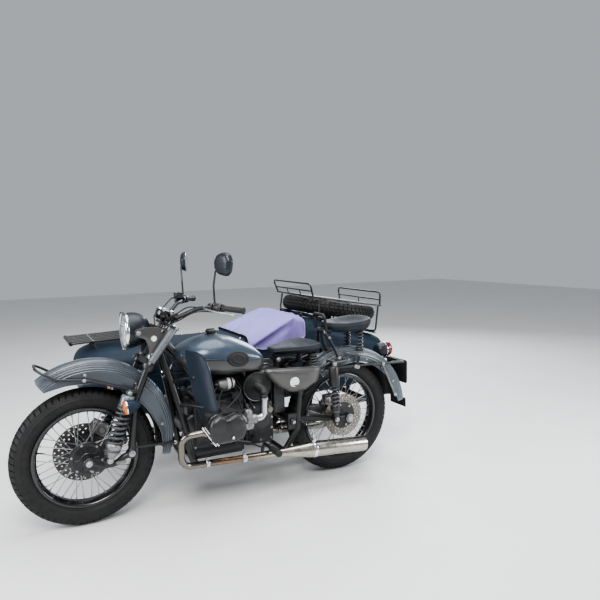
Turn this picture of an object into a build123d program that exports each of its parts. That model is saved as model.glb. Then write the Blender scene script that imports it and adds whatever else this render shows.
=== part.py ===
from build123d import *
import os
from math import sin, cos, tan, radians, hypot

# Motorcycle with a passenger sidecar on its right side, standing on its three wheels.
# Working frame, millimetres: X forward, Y to the left, Z up, rear axle over X = 0,
# motorcycle centre plane Y = 0, ground Z = 0. Every piece is moved by -MIDDLE at the
# end, so that the exported origin is on the ground under the middle of the bounding box.

MIDDLE = (552.13, -394.3, 0.0)

# ---------------------------------------------------------------- driving dimensions
WHEELBASE = 1470
WHEEL_R = 345            # outer radius of the tyres
TYRE_W = 105             # width of the tyres
TRACK = 1140             # motorcycle centre plane to sidecar wheel
SIDE_LEAD = 100          # sidecar wheel ahead of the rear axle
AXLE_R = 10.0
AXLE_GAP = 0.1           # radial running clearance of the axles
RAKE = radians(27)
TRAIL = 70
STEM_R = 20.0
FORK_Y = 112             # fork legs beside the wheel
FRAME_R = 16             # main frame tubes
CHASSIS_R = 20           # sidecar chassis tubes
WALL = 12                # sidecar body wall
SIDE_Y = -722            # centre plane of the sidecar body
SADDLE_Z = 815
PEG_Z = 300

OUT = {}                 # node name -> list of solids


# ---------------------------------------------------------------- helpers
def unit(p, q):
    d = Vector(*q) - Vector(*p)
    return d.normalized(), d.length


def rod(p, q, r):
    d, n = unit(p, q)
    return Solid.make_cylinder(r, n, Plane(origin=p, z_dir=d))


def cone(p, q, r0, r1):
    d, n = unit(p, q)
    return Solid.make_cone(r0, r1, n, Plane(origin=p, z_dir=d))


def tube(points, r, bend):
    w = FilletPolyline(*points, radius=bend)
    return sweep(Plane(origin=w @ 0, z_dir=w % 0) * Circle(r), path=w).solid()


def bx(x0, x1, y0, y1, z0, z1):
    return Solid.make_box(x1 - x0, y1 - y0, z1 - z0, Plane((x0, y0, z0)))


def slab_xz(points, y0, y1):
    f = Face(Wire.make_polygon([(x, y0, z) for x, z in points], close=True))
    return Solid.extrude(f, Vector(0, y1 - y0, 0))


def slab_xy(points, z0, z1):
    f = Face(Wire.make_polygon([(x, y, z0) for x, y in points], close=True))
    return Solid.extrude(f, Vector(0, 0, z1 - z0))


def slab_yz(points, x0, x1):
    f = Face(Wire.make_polygon([(x0, y, z) for y, z in points], close=True))
    return Solid.extrude(f, Vector(x1 - x0, 0, 0))


def turned(profile, cx, cy, cz, start=0, end=360):
    # profile: (radius, offset along Y); turned about the Y line through (cx, cy, cz)
    # from angle start to end, counted upward from +X
    a = radians(start)
    pts = [(cx + r * cos(a), cy + y, cz + r * sin(a)) for r, y in profile]
    f = Face(Wire.make_polygon(pts, close=True))
    return Solid.revolve(f, end - start, Axis((cx, cy, cz), (0, -1, 0)))


def join(*solids):
    s = solids[0]
    rest = [k for k in solids[1:]]
    return s.fuse(*rest) if rest else s


def put(name, *solids):
    flat = []
    for s in solids:
        flat += list(s.solids()) if hasattr(s, "solids") else [s]
    OUT[name] = flat


def steer_x(z):
    # X of the steering axis at height z
    return WHEELBASE + TRAIL - tan(RAKE) * z


# ---------------------------------------------------------------- wheels
RIM_IN, RIM_SEAT, RIM_EDGE = 231, 239, 250     # rim radii
FLANGE_R, FLANGE_Y = 56, 32                     # hub flanges that hold the spokes


def tyre(cx, cy, cz=WHEEL_R):
    seat = RIM_SEAT + 0.3
    e = [Edge.make_line((cx + seat, cy - 32.5, cz), (cx + 251, cy - 32.5, cz)),
         Edge.make_three_point_arc((cx + 251, cy - 32.5, cz), (cx + 286, cy - TYRE_W / 2, cz), (cx + 324, cy - 45, cz)),
         Edge.make_three_point_arc((cx + 324, cy - 45, cz), (cx + WHEEL_R, cy, cz), (cx + 324, cy + 45, cz)),
         Edge.make_three_point_arc((cx + 324, cy + 45, cz), (cx + 286, cy + TYRE_W / 2, cz), (cx + 251, cy + 32.5, cz)),
         Edge.make_line((cx + 251, cy + 32.5, cz), (cx + seat, cy + 32.5, cz)),
         Edge.make_line((cx + seat, cy + 32.5, cz), (cx + seat, cy - 32.5, cz))]
    return Solid.revolve(Face(Wire(e)), 360, Axis((cx, cy, cz), (0, -1, 0)))


def rim(cx, cy, cz, bore=True):
    ring = turned([(RIM_IN, -36), (RIM_SEAT, -39), (RIM_EDGE, -39), (RIM_EDGE, -33), (RIM_SEAT, -33),
                   (RIM_SEAT, 33), (RIM_EDGE, 33), (RIM_EDGE, 39), (RIM_SEAT, 39), (RIM_IN, 36)], cx, cy, cz)
    parts = []
    n = 20
    for k in range(n):
        a = radians(360 / n * k + 4)
        s = 1 if k % 2 else -1
        p = (cx + 50 * cos(a), cy + s * FLANGE_Y, cz + 50 * sin(a))
        q = (cx + 234 * cos(a), cy + s * 12, cz + 234 * sin(a))
        parts.append(rod(p, q, 2.5))
    hub = [rod((cx, cy - 46, cz), (cx, cy + 46, cz), 34)]
    for s in (-1, 1):
        hub.append(rod((cx, cy + s * FLANGE_Y - 4, cz), (cx, cy + s * FLANGE_Y + 4, cz), FLANGE_R))
    w = ring.fuse(*parts, *hub)
    if bore:
        w = w.cut(rod((cx, cy - 90, cz), (cx, cy + 90, cz), AXLE_R + AXLE_GAP))
    return w


def disc(cx, cy, cz, side, r, carrier):
    # brake disc on a stepped carrier, side +1 left, -1 right; the carrier starts on the hub's end face
    y0, y1 = sorted((cy + side * 46, cy + side * 62))
    d0, d1 = sorted((cy + side * 57, cy + side * 62))
    s = rod((cx, y0, cz), (cx, y1, cz), carrier)
    s = s.fuse(rod((cx, d0, cz), (cx, d1, cz), r))
    s = s.cut(rod((cx, y0 - 9, cz), (cx, y1 + 9, cz), AXLE_R + AXLE_GAP))
    return s


# name, X, Y, brake disc side, disc radius
WHEELS = [("front", WHEELBASE, 0, -1, 147),
          ("rear", 0, 0, 1, 128),
          ("sidecar", SIDE_LEAD, -TRACK, 1, 128)]
for name, cx, cy, side, dr in WHEELS:
    put(name + "_tyre", tyre(cx, cy))
    put(name + "_rim", rim(cx, cy, WHEEL_R))
    d = disc(cx, cy, WHEEL_R, side, dr, 62)
    if name == "front":          # round cover on the left end of the hub
        d = [d, rod((cx, cy + 44, WHEEL_R), (cx, cy + 58, WHEEL_R), 84).cut(rod((cx, cy, WHEEL_R), (cx, cy + 90, WHEEL_R), AXLE_R + AXLE_GAP))]
    put(name + "_brake_disc", *(d if isinstance(d, list) else [d]))

# ---------------------------------------------------------------- fork and steering
HEAD_LO, HEAD_HI = 815, 950
stem = rod((steer_x(782), 0, 782), (steer_x(985), 0, 985), STEM_R)
FORK_TOP = (1031, 965)
FORK_BEND = (1180, 762)
FORK_LOW = (1240, 615)
PIVOT = (1268, 358)        # front pivot of the leading arms, behind the wheel
fork = [stem]
for s in (-1, 1):
    y = s * FORK_Y
    fork.append(tube([(FORK_TOP[0], y, FORK_TOP[1]), (FORK_BEND[0], y, FORK_BEND[1]),
                      (FORK_LOW[0], y, FORK_LOW[1]), (PIVOT[0], y, PIVOT[1])], 17, 120))
    fork.append(rod((PIVOT[0], y - 16, PIVOT[1]), (PIVOT[0], y + 16, PIVOT[1]), 24))
fork.append(rod((steer_x(790) + 15, -FORK_Y, 790), (steer_x(790) + 15, FORK_Y, 790), 16))     # lower crown
fork.append(rod((steer_x(972), -FORK_Y, 972), (steer_x(972), FORK_Y, 972), 14))     # upper crown
fork.append(tube([(1240, -FORK_Y, 600), (1225, -FORK_Y + 20, 690), (1225, FORK_Y - 20, 690), (1240, FORK_Y, 600)], 11, 30))
for s in (-1, 1):                                                              # eyes of the shock absorbers
    fork.append(rod((1216, s * FORK_Y, 664), (1268, s * (FORK_Y + 16), 668), 11))
put("front_fork", join(*fork))

# leading arms with the wheel axle
arms = []
for s in (-1, 1):
    y = s * FORK_Y
    arms.append(tube([(PIVOT[0] + 20, y + s * 4, PIVOT[1] - 6), (1340, y + s * 4, 322), (1400, y + s * 4, 318), (WHEELBASE, y + s * 4, WHEEL_R)], 15, 40))
    arms.append(rod((WHEELBASE, y - 12, WHEEL_R), (WHEELBASE, y + 16, WHEEL_R), 24))
arms.append(rod((WHEELBASE, -FORK_Y - 24, WHEEL_R), (WHEELBASE, FORK_Y + 24, WHEEL_R), AXLE_R))
for y0, y1 in ((-FORK_Y + 12, -64), (60, FORK_Y - 12)):
    arms.append(rod((WHEELBASE, y0, WHEEL_R), (WHEELBASE, y1, WHEEL_R), 16))
put("leading_arms", join(*arms))

# shock absorbers of the leading arms: cover above, spring below
shocks = []
for s in (-1, 1):
    y = s * (FORK_Y + 26)
    top, eye = (1272, y, 668), (1376, y, 348)
    d, n = unit(top, eye)

    def at(t, top=top, d=d):
        return tuple(Vector(*top) + d * t)
    one = join(rod(at(0), at(n), 10), rod(at(16), at(76), 31), rod(at(76), at(n - 40), 34),
               rod((top[0], y - 14, top[2]), (top[0], y + 14, top[2]), 17), rod((eye[0], y - 12, eye[2]), (eye[0], y + 12, eye[2]), 17))
    shocks.append(one)
put("front_shocks", *shocks)

# front mudguard: deep shell carried by the fork
FG = (1435, 427)
FG_R = 398


def guard(cx, cz, r, half, depth, t, a0, a1, cy=0):
    # channel section: flat crown with chamfered shoulders and side valances
    prof = [(r - depth, -half), (r - 26, -half), (r - 6, -half + 26), (r, -half + 48), (r, half - 48), (r - 6, half - 26),
            (r - 26, half), (r - depth, half), (r - depth, half - t), (r - 28, half - t), (r - 6 - t, half - 28),
            (r - t, half - 50), (r - t, -half + 50), (r - 6 - t, -half + 28), (r - 28, -half + t), (r - depth, -half + t)]
    return turned(prof, cx, cy, cz, a0, a1)


front_guard = guard(FG[0], FG[1], FG_R, 80, 80, 4, 52, 168)
rear_flap = turned([(FG_R - 4, -80), (FG_R, -80), (FG_R, 80), (FG_R - 4, 80)], FG[0], 0, FG[1], 168, 199)
put("front_mudguard", join(front_guard, rear_flap))
put("mudguard_stays", join(*[tube([(1276, s * 100, 380), (1180, s * 92, 372), (1040, s * 82, 362)], 6, 60) for s in (-1, 1)],
                           rod((1036, -84, 362), (1036, 84, 362), 6)))

# loop tube round the front of the mudguard
hoop = []
for s in (1, -1):
    run = [(1226, s * 104, 652), (1290, s * 92, 682), (1450, s * 92, 740), (1596, s * 92, 760), (1680, s * 92, 812)]
    hoop += run if s > 0 else run[::-1]
hoop_tabs = [rod((1470, s * 78, 744), (1470, s * 94, 742), 9) for s in (-1, 1)]
put("mudguard_hoop", join(tube(hoop, 6.5, [40, 120, 60, 50, 50, 60, 120, 40]), *hoop_tabs))

# headlight: shell, rim with visor, glass
HL = (1250, 953)
shell = cone((HL[0] - 22, 0, HL[1]), (HL[0] - 68, 0, HL[1] + 6), 89, 68)
shell = shell.fuse(rod((HL[0] - 22, 0, HL[1]), (HL[0], 0, HL[1]), 89))
shell = shell.fuse(Solid.make_sphere(60, Plane((HL[0] - 68, 0, HL[1] + 9))))
shell = shell.fuse(rod((HL[0] - 42, -106, HL[1] - 2), (HL[0] - 42, 106, HL[1] - 2), 9))       # side bolts
put("headlight_shell", shell)
ring = rod((HL[0], 0, HL[1]), (HL[0] + 14, 0, HL[1]), 95).cut(rod((HL[0] - 5, 0, HL[1]), (HL[0] + 20, 0, HL[1]), 83))
put("headlight_rim", ring)
lens = rod((HL[0], 0, HL[1]), (HL[0] + 12, 0, HL[1]), 83).fuse(cone((HL[0] + 12, 0, HL[1]), (HL[0] + 24, 0, HL[1]), 83, 48))
put("headlight_glass", lens)

# brackets between fork and headlight
EAR = [(1226, 938), (1224, 968), (1160, 976), (1100, 970), (1060, 950), (1098, 892), (1128, 842), (1138, 816), (1156, 820), (1162, 880), (1174, 916), (1206, 930)]
put("headlight_brackets", *[slab_xz(EAR, s * 98 - 3, s * 98 + 3) for s in (-1, 1)])

# handlebar
BAR_C = (1014, 1010)
bar = [(770, 400, 1062), (868, 264, 1073), (930, 178, 1062), (BAR_C[0], 84, BAR_C[1]),
       (BAR_C[0], -84, BAR_C[1]), (930, -178, 1062), (868, -264, 1073), (770, -400, 1062)]
hb = tube(bar, 11, [90, 70, 40, 40, 70, 90])
clamps = [rod((steer_x(972) - 3, s * 48, 975), (BAR_C[0], s * 48, BAR_C[1]), 13) for s in (-1, 1)]
clamps += [rod((BAR_C[0], s * 48 - 14, BAR_C[1]), (BAR_C[0], s * 48 + 14, BAR_C[1]), 19) for s in (-1, 1)]
put("handlebar", join(hb, *clamps))


def along_bar(s, t):
    # point on the straight grip run, t from 0 at its outer end
    p, q = Vector(770, s * 400, 1062), Vector(868, s * 264, 1073)
    return p + (q - p).normalized() * t


put("handlebar_grips", *[rod(tuple(along_bar(s, -3)), tuple(along_bar(s, 118)), 16).cut(hb) for s in (-1, 1)])
lev = []
for s in (-1, 1):
    a, b = along_bar(s, 124), along_bar(s, 148)
    m = (a + b) * 0.5
    blk = rod(tuple(a), tuple(b), 21).cut(hb)
    out = along_bar(s, 6) + Vector(52, s * 37.7, -22)
    piv = m + Vector(38, 0, -4)
    blk = blk.fuse(rod(tuple(m + Vector(16, 0, 0)), tuple(piv), 9), rod(tuple(piv), tuple(piv + (out - piv) * 0.93), 6))
    lev.append(blk)
put("hand_levers", *lev)

# instrument and warning lamps
put("instrument", join(rod((1068, 0, 992), (1046, 0, 1046), 44), rod((1046, 0, 1046), (1042, 0, 1056), 47),
                       bx(1030, 1072, -16, 16, 974, 1000)))

# mirrors
mir = []
for s in (-1, 1):
    base = along_bar(s, 160)
    b = (base.X + 6, base.Y, base.Z + 6)
    stemt = tube([b, (b[0] + 4, b[1], 1180), (870, s * 296, 1256), (852, s * 318, 1284)], 5, [40, 30])
    head = slab_yz([(s * y, z) for y, z in ((-30, -62), (22, -72), (50, -48), (58, 4), (40, 40), (0, 46), (-34, 36), (-56, 4), (-54, -34))], -16, 16)
    head = head.rotate(Axis((0, 0, 0), (0, 0, 1)), s * 25).moved(Location((844, s * 325, 1298)))
    mir.append(join(stemt, head))
put("mirrors", *mir)

# front turn signals on short stalks
sig = []
for s in (-1, 1):
    sig.append(join(rod((1236, s * (FORK_Y + 4), 604), (1256, s * 204, 620), 6), cone((1298, s * 208, 616), (1242, s * 208, 624), 35, 12),
                    rod((1298, s * 208, 616), (1316, s * 208, 616 - 18 / 7), 35)))
put("front_turn_signals", *sig)

# front brake caliper over the rear upper edge of the disc, on a bracket from the axle
cal = bx(WHEELBASE - 44, WHEELBASE + 44, -82, -42, WHEEL_R + 106, WHEEL_R + 172)
cal = cal.cut(rod((WHEELBASE, -69, WHEEL_R), (WHEELBASE, -50, WHEEL_R), 154))
cal = cal.fuse(slab_xz([(WHEELBASE - 19, WHEEL_R - 5), (WHEELBASE + 19, WHEEL_R - 5), (WHEELBASE + 34, WHEEL_R + 118), (WHEELBASE - 34, WHEEL_R + 118)], -80, -72))
cal = cal.rotate(Axis((WHEELBASE, 0, WHEEL_R), (0, 1, 0)), -33)
put("front_brake_caliper", cal)

# ---------------------------------------------------------------- main frame
frame = []
frame.append(rod((steer_x(HEAD_LO), 0, HEAD_LO), (steer_x(HEAD_HI), 0, HEAD_HI), 31))
frame.append(tube([(steer_x(905), 0, 905), (985, 0, 790), (915, 0, 672), (404, 0, 668)], 19, [60, 60]))
for s in (-1, 1):
    frame.append(tube([(1090, s * 12, 862), (1035, s * 70, 640), (985, s * 118, 420), (960, s * 124, 232), (430, s * 130, 222),
                       (352, s * 132, 340), (330, s * 130, 560), (420, s * 110, 668), (640, s * 24, 668)], FRAME_R,
                      [60, 80, 60, 60, 60, 60, 60]))
    frame.append(tube([(336, s * 130, 500), (300, s * 130, 640), (126, s * 134, 690), (20, s * 112, 690)], 13, [40, 60]))
    frame.append(rod((126, s * 100, 692), (126, s * 172, 692), 13))
for x, z, w in ((930, 232, 124), (430, 222, 130), (338, 520, 130), (300, 640, 130)):
    frame.append(rod((x, -w, z), (x, w, z), 13))
frame.append(slab_xz([(410, 340), (410, 430), (335, 430), (335, 340)], 122, 140))
frame.append(slab_xz([(410, 340), (410, 430), (335, 430), (335, 340)], -140, -122))
frame = join(*frame)
frame = frame.cut(rod((steer_x(700), 0, 700), (steer_x(1050), 0, 1050), STEM_R + 0.1))
put("main_frame", frame)

# ---------------------------------------------------------------- engine, gearbox, intake
CYL = (850, 478)
crank = join(bx(650, 950, -108, 108, 262, 590), rod((925, -88, 430), (925, 88, 430), 70),
             slab_xz([(650, 250), (935, 250), (960, 300), (960, 320), (650, 320)], -95, 95))
put("engine_block", crank)
put("gearbox", join(bx(470, 650, -92, 92, 262, 520), rod((560, -110, 400), (560, 110, 400), 62)))
for nm, s in (("left", 1), ("right", -1)):
    pieces = [rod((CYL[0], s * 108, CYL[1]), (CYL[0], s * 262, CYL[1]), 58)]
    for k in range(7):
        y = 122 + 20 * k
        a, b = sorted((s * y, s * (y + 7)))
        pieces.append(bx(CYL[0] - 84, CYL[0] + 84, a, b, CYL[1] - 66, CYL[1] + 66))
    a, b = sorted((s * 262, s * 326))
    head = bx(CYL[0] - 92, CYL[0] + 92, a, b, CYL[1] - 70, CYL[1] + 74)
    pieces.append(head)
    a, b = sorted((s * 326, s * 376))
    cover = bx(CYL[0] - 98, CYL[0] + 98, a, b, CYL[1] - 74, CYL[1] + 70)
    far = s * 376
    cover = chamfer(cover.edges().filter_by(lambda e: abs(e.center().Y - far) < 0.1), 22)
    pieces.append(cover)
    put(nm + "_cylinder", join(*pieces))
intake = []
for s in (-1, 1):
    intake.append(join(rod((775, s * 272, 502), (730, s * 258, 484), 24), rod((745, s * 256, 480), (655, s * 252, 474), 32),
                       tube([(660, s * 252, 474), (610, s * 252, 478), (604, s * 248, 584), (590, s * 115, 604)], 20, [42, 42])))
put("intakes", *intake)
put("air_box", join(rod((580, -112, 600), (580, 112, 600), 78)))
put("battery_box", bx(405, 475, -95, 95, 430, 640))

# exhausts
for nm, s in (("left", 1), ("right", -1)):
    head = tube([(892, s * 298, 430), (960, s * 300, 462), (1060, s * 268, 446), (1050, s * 232, 280), (900, s * 218, 270), (500, s * 224.8, 252.4)], 17, [26, 60, 60, 60])
    muf = join(cone((512, s * (230 - 10 * 194 / 352), 241 + 22 * 194 / 352), (318, s * 230, 241), 20, 43), rod((318, s * 230, 241), (-34, s * 240, 219), 43))
    muf = muf.cut(rod((-60, s * 240.7, 217.4), (-10, s * 239.3, 220.5), 24))
    hang = rod((304, s * 228, 275), (336, s * 132, 356), 8)
    put(nm + "_exhaust", join(head, muf, hang))

# ---------------------------------------------------------------- tank, leg shields, side covers
# tank sections: X, half width, bottom, top, corner radius
TANK = [(1004, 60, 782, 832, 22), (965, 108, 732, 858, 48), (890, 150, 704, 890, 64), (800, 162, 696, 904, 70),
        (700, 150, 690, 880, 64), (600, 126, 686, 833, 54), (530, 104, 684, 776, 40), (502, 86, 692, 748, 24)]
secs = []
for x, hw, z0, z1, r in TANK:
    secs.append(Plane(origin=(x, 0, (z0 + z1) / 2), x_dir=(0, 1, 0), z_dir=(1, 0, 0)) * RectangleRounded(2 * hw, z1 - z0, r))
tank = Solid.make_loft([s.face().outer_wire() for s in secs], True)
tank = tank.fuse(rod((803, 0, 880), (806, 0, 922), 28))
put("fuel_tank", tank)

shields = []
for s in (-1, 1):
    o = Vector(944, s * 246, 672)
    u = Vector(-60, s * 150, 0).normalized()
    v = Vector(72, s * -8, 372).normalized()
    pl = Plane(origin=tuple(o), x_dir=tuple(u), z_dir=tuple(u.cross(v)))
    sk = pl * Polygon((-74, -182), (78, -168), (86, 120), (60, 176), (-60, 190), (-80, 160), align=None)
    shields.append(extrude(sk, 5).solid())
put("leg_shields", *shields)
put("leg_shield_brackets", *[join(rod((1008, s * 100, 560), (940, s * 210, 560), 8), rod((1028, s * 76, 680), (966, s * 205, 720), 8)) for s in (-1, 1)])

COVER = [(562, 694), (540, 704), (206, 684), (206, 668), (232, 600), (308, 561), (400, 555), (476, 598), (537, 660)]
put("side_covers", *[slab_xz(COVER, *sorted((s * 150, s * 158))) for s in (-1, 1)])

# ---------------------------------------------------------------- saddles
SEAT = [(452, -38), (452, 38), (410, 62), (320, 112), (250, 146), (196, 134), (168, 84), (160, 0),
        (168, -84), (196, -134), (250, -146), (320, -112), (410, -62)]


def saddle(points, z0, z1):
    s = slab_xy(points, z0, z1)
    top = s.faces().sort_by(Axis.Z)[-1]
    return chamfer(top.edges(), 14)


put("rider_saddle", saddle(SEAT, SADDLE_Z - 62, SADDLE_Z))
PILLION = [(86, -60), (86, 60), (0, 114), (-90, 134), (-158, 122), (-190, 78), (-197, 0), (-190, -78), (-158, -122), (-90, -134), (0, -114)]
put("pillion_saddle", saddle(PILLION, 880, 946))
sf = [bx(190, 440, -30, 30, 742, SADDLE_Z - 62), rod((420, -44, 726), (420, 44, 726), 14), rod((420, 0, 690), (420, 0, 745), 12)]
for s in (-1, 1):
    sf.append(rod((222, s * 92, 678), (222, s * 92, SADDLE_Z - 62), 24))
    sf.append(rod((222, s * 92, 680), (262, s * 120, 668), 10))
sf.append(bx(205, 240, -92, 92, 742, SADDLE_Z - 62))
put("rider_saddle_springs", join(*sf))
pf = [bx(-165, 78, -28, 28, 868, 880), rod((110, -46, 862), (110, 46, 862), 12), bx(60, 112, -20, 20, 866, 880), tube([(110, 0, 862), (98, 0, 800), (76, 0, 740)], 11, 30)]
for s in (-1, 1):
    pf.append(rod((-115, s * 70, 734), (-115, s * 70, 880), 24))
    pf.append(rod((110, s * 40, 862), (54, s * 104, 708), 9))
pf.append(bx(-140, -90, -96, 96, 866, 880))
put("pillion_saddle_springs", join(*pf))
put("grab_handle", tube([(88, 50, 862), (134, 60, 866), (156, 66, 962), (156, -66, 962), (134, -60, 866), (88, -50, 862)], 9, [20, 26, 26, 20]))

# ---------------------------------------------------------------- rear mudguard and what it carries
RG = (-62, 346)
RG_R = 402
put("rear_mudguard", guard(RG[0], RG[1], RG_R, 84, 78, 4, 50, 174).fuse(
    turned([(RG_R - 4, -84), (RG_R, -84), (RG_R, 84), (RG_R - 4, 84)], RG[0], 0, RG[1], 174, 182)))
rails = []
for s in (-1, 1):
    y = s * 104
    rails.append(tube([(84, y, 648), (28, y, 720), (-92, y, 710), (-76, y, 640)], 8, [24, 20]))
    rails.append(tube([(180, y, 655), (-200, y, 646), (-424, s * 100, 634)], 8, 40))
    rails.append(rod((-262, s * 101, 640), (-368, s * 92, 425), 7))
rails.append(rod((-424, -100, 634), (-424, 100, 634), 8))
for s in (-1, 1):
    rails.append(rod((-424, s * 40, 634), (-449, s * 40, 610), 6))
put("rear_rails", join(*rails))
put("tail_lamp", join(rod((-284, 0, 702), (-352, 0, 708), 40), rod((-350, 0, 708), (-392, 0, 711), 46), bx(-344, -296, -22, 22, 650, 680)))
PLATE_HOLE_Y, PLATE_HOLE_Z, PLATE_HOLE_R = 75, 622, 3.2
plate = slab_yz([(-105, 492), (105, 492), (105, 640), (-105, 640)], -452, -446)
for s in (-1, 1):
    plate = plate.cut(rod((-470, s * PLATE_HOLE_Y, PLATE_HOLE_Z), (-430, s * PLATE_HOLE_Y, PLATE_HOLE_Z), PLATE_HOLE_R))
put("number_plate", plate)

# ---------------------------------------------------------------- rear suspension and drive
PIV = (382, 385)
sw = [rod((PIV[0], -150, PIV[1]), (PIV[0], 150, PIV[1]), 15), rod((PIV[0], -110, PIV[1]), (PIV[0], 110, PIV[1]), 24)]
sw.append(tube([(PIV[0], 96, PIV[1]), (250, 104, 372), (0, 112, WHEEL_R)], 18, 80))
sw.append(rod((0, 92, WHEEL_R), (0, 134, WHEEL_R), 26))
sw.append(rod((0, -60, WHEEL_R), (0, 150, WHEEL_R), AXLE_R))
sw.append(rod((0, 64, WHEEL_R), (0, 100, WHEEL_R), 15))
sw.append(rod((110, 112, 362), (110, 164, 362), 13))
sw.append(tube([(PIV[0], -92, PIV[1]), (300, -112, 376), (60, -116, WHEEL_R)], 20, 60))
sw.append(rod((110, -164, 362), (110, -112, 362), 13))
put("swingarm", join(*sw))
put("final_drive", join(rod((0, -58, WHEEL_R), (0, -112, WHEEL_R), 92), rod((0, -112, WHEEL_R), (0, -150, WHEEL_R), 60),
                        rod((80, -92, WHEEL_R + 6), (200, -92, WHEEL_R + 16), 36)))
rs = []
for s in (-1, 1):
    y = s * 160
    rs.append(join(rod((110, y, 362), (126, y, 692), 9), rod((119.6, y, 560), (124.7, y, 665), 30), rod((111.6, y, 394), (119.6, y, 560), 28),
                   rod((110, y - 14, 362), (110, y + 14, 362), 19), rod((126, y - 14, 692), (126, y + 14, 692), 19)))
put("rear_shocks", *rs)
rc = bx(60, 138, 40, 84, 418, 488)
rc = rc.cut(rod((0, 50, WHEEL_R), (0, 69, WHEEL_R), 135))
rc = rc.fuse(rod((100, 76, 425), (110, 112, 366), 9))
put("rear_brake_caliper", rc)

# footrests, brake and gear pedals
pegs = []
for s in (-1, 1):
    pegs.append(join(rod((570, s * 126, 226), (570, s * 150, PEG_Z), 10), rod((570, s * 146, PEG_Z), (570, s * 262, PEG_Z), 10),
                     rod((570, s * 262, PEG_Z), (570, s * 356, PEG_Z), 18)))
put("footrests", *pegs)
put("pedals", tube([(600, 88, 330), (650, 158, 318), (760, 170, 352), (760, 230, 352)], 7, [14, 14]),
    tube([(560, -88, 322), (600, -165, 318), (740, -172, 352), (740, -235, 352)], 7, [14, 14]))
put("horn", rod((1044, 0, 716), (1070, 0, 724), 30).fuse(rod((946, 0, 703), (1048, 0, 717), 8)))

# ---------------------------------------------------------------- sidecar chassis
CH_Z = 290
chassis = [tube([(-440, -345, CH_Z), (980, -345, CH_Z), (1140, -460, CH_Z), (1140, -880, CH_Z), (980, -985, CH_Z), (-440, -985, CH_Z)], CHASSIS_R, [90, 90, 90, 90]),
           rod((-440, -365, CH_Z), (-440, -965, CH_Z), CHASSIS_R), rod((-440, -345, CH_Z), (-440, -365, CH_Z), CHASSIS_R),
           rod((-440, -965, CH_Z), (-440, -985, CH_Z), CHASSIS_R),
           rod((430, -345, CH_Z), (430, -985, CH_Z), CHASSIS_R), rod((880, -345, CH_Z), (880, -985, CH_Z), 16)]
for x, top in ((-440, 359), (430, 336), (880, 343)):                        # rubber blocks under the body
    for s in (-1, 1):
        chassis.append(rod((x, SIDE_Y + s * 150, CH_Z), (x, SIDE_Y + s * 150, top), 15))
# tow tongue with its pin hole
TOW = (-505, -400)
TOW_R, TOW_T = 10.2, 14
tongue = slab_xy([(-440, -440), (-440, -360), (-505, -372), (-532, -388), (-532, -412), (-505, -428)], CH_Z - TOW_T / 2, CH_Z + TOW_T / 2)
chassis.append(tongue.cut(rod((TOW[0], TOW[1], CH_Z - 20), (TOW[0], TOW[1], CH_Z + 20), TOW_R)))
put("sidecar_chassis", join(*chassis))
struts = [join(rod((960, -345, CH_Z - 34), (960, -110, CH_Z - 66), 14), rod((960, -345, CH_Z - 42), (960, -345, CH_Z - 18), 18)),
          join(rod((395, -345, CH_Z - 34), (395, -150, 262), 14), rod((395, -345, CH_Z - 42), (395, -345, CH_Z - 18), 18)),
          join(rod((1002, -332, 308), (1014, -84, 640), 12), rod((1002, -345, 302), (1002, -318, 316), 17)),
          join(rod((330, -345, 312), (338, -142, 560), 12))]
put("sidecar_struts", *struts)

# sidecar body: open tub; sections X, half width, bottom, top, corner radius
TUB = [(1425, 105, 560, 690, 50), (1385, 180, 490, 752, 90), (1290, 225, 410, 778, 110), (1050, 262, 350, 782, 110),
       (650, 285, 334, 768, 100), (300, 290, 334, 790, 90), (-20, 290, 336, 872, 90), (-60, 290, 338, 874, 90),
       (-420, 280, 352, 768, 90), (-640, 258, 410, 704, 90), (-705, 225, 470, 660, 80)]


def tub_loft(rows, inset):
    w = []
    for x, hw, z0, z1, r in rows:
        w.append((Plane(origin=(x, SIDE_Y, (z0 + z1) / 2), x_dir=(0, 1, 0), z_dir=(1, 0, 0)) *
                  RectangleRounded(2 * (hw - inset), z1 - z0 - 2 * inset, max(r - inset, 8))).face().outer_wire())
    return Solid.make_loft(w, True)


outer = tub_loft(TUB, 0)
inner = tub_loft([(1385, 148, 520, 722, 60)] + TUB[2:-1] + [(-690, 222, 462, 670, 72)], WALL)
tub = outer.cut(inner)
COCKPIT = (0, 390)
HINGE = (-50, 897)
tub = tub.cut(bx(COCKPIT[0], COCKPIT[1], SIDE_Y - 232, SIDE_Y + 232, 600, 1000))
LID_X = (-640, -58)
tub = tub.cut(bx(LID_X[0] + 30, LID_X[1] - 22, SIDE_Y - 200, SIDE_Y + 200, 600, 1000))
put("sidecar_body", tub)

# boot lid: a sloping plate over the rear opening, with hinge knuckles at its front edge
lid_line = [(-72, 884), (-420, 782), (-636, 718)]
lid = slab_xz([(x, z + 4) for x, z in lid_line] + [(x, z + 16) for x, z in lid_line[::-1]], SIDE_Y - 232, SIDE_Y + 232)
knuckles = [rod((HINGE[0], SIDE_Y + y, HINGE[1]), (HINGE[0], SIDE_Y + y + 60, HINGE[1]), 7).fuse(
    slab_xz([(HINGE[0], HINGE[1] - 6), (HINGE[0], HINGE[1] + 6), (-80, 902), (-80, 889)], SIDE_Y + y, SIDE_Y + y + 60)) for y in (-150, 90)]
lid = join(lid, *knuckles)
lid = lid.cut(rod((HINGE[0], SIDE_Y - 200, HINGE[1]), (HINGE[0], SIDE_Y + 200, HINGE[1]), 3.1))
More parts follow.
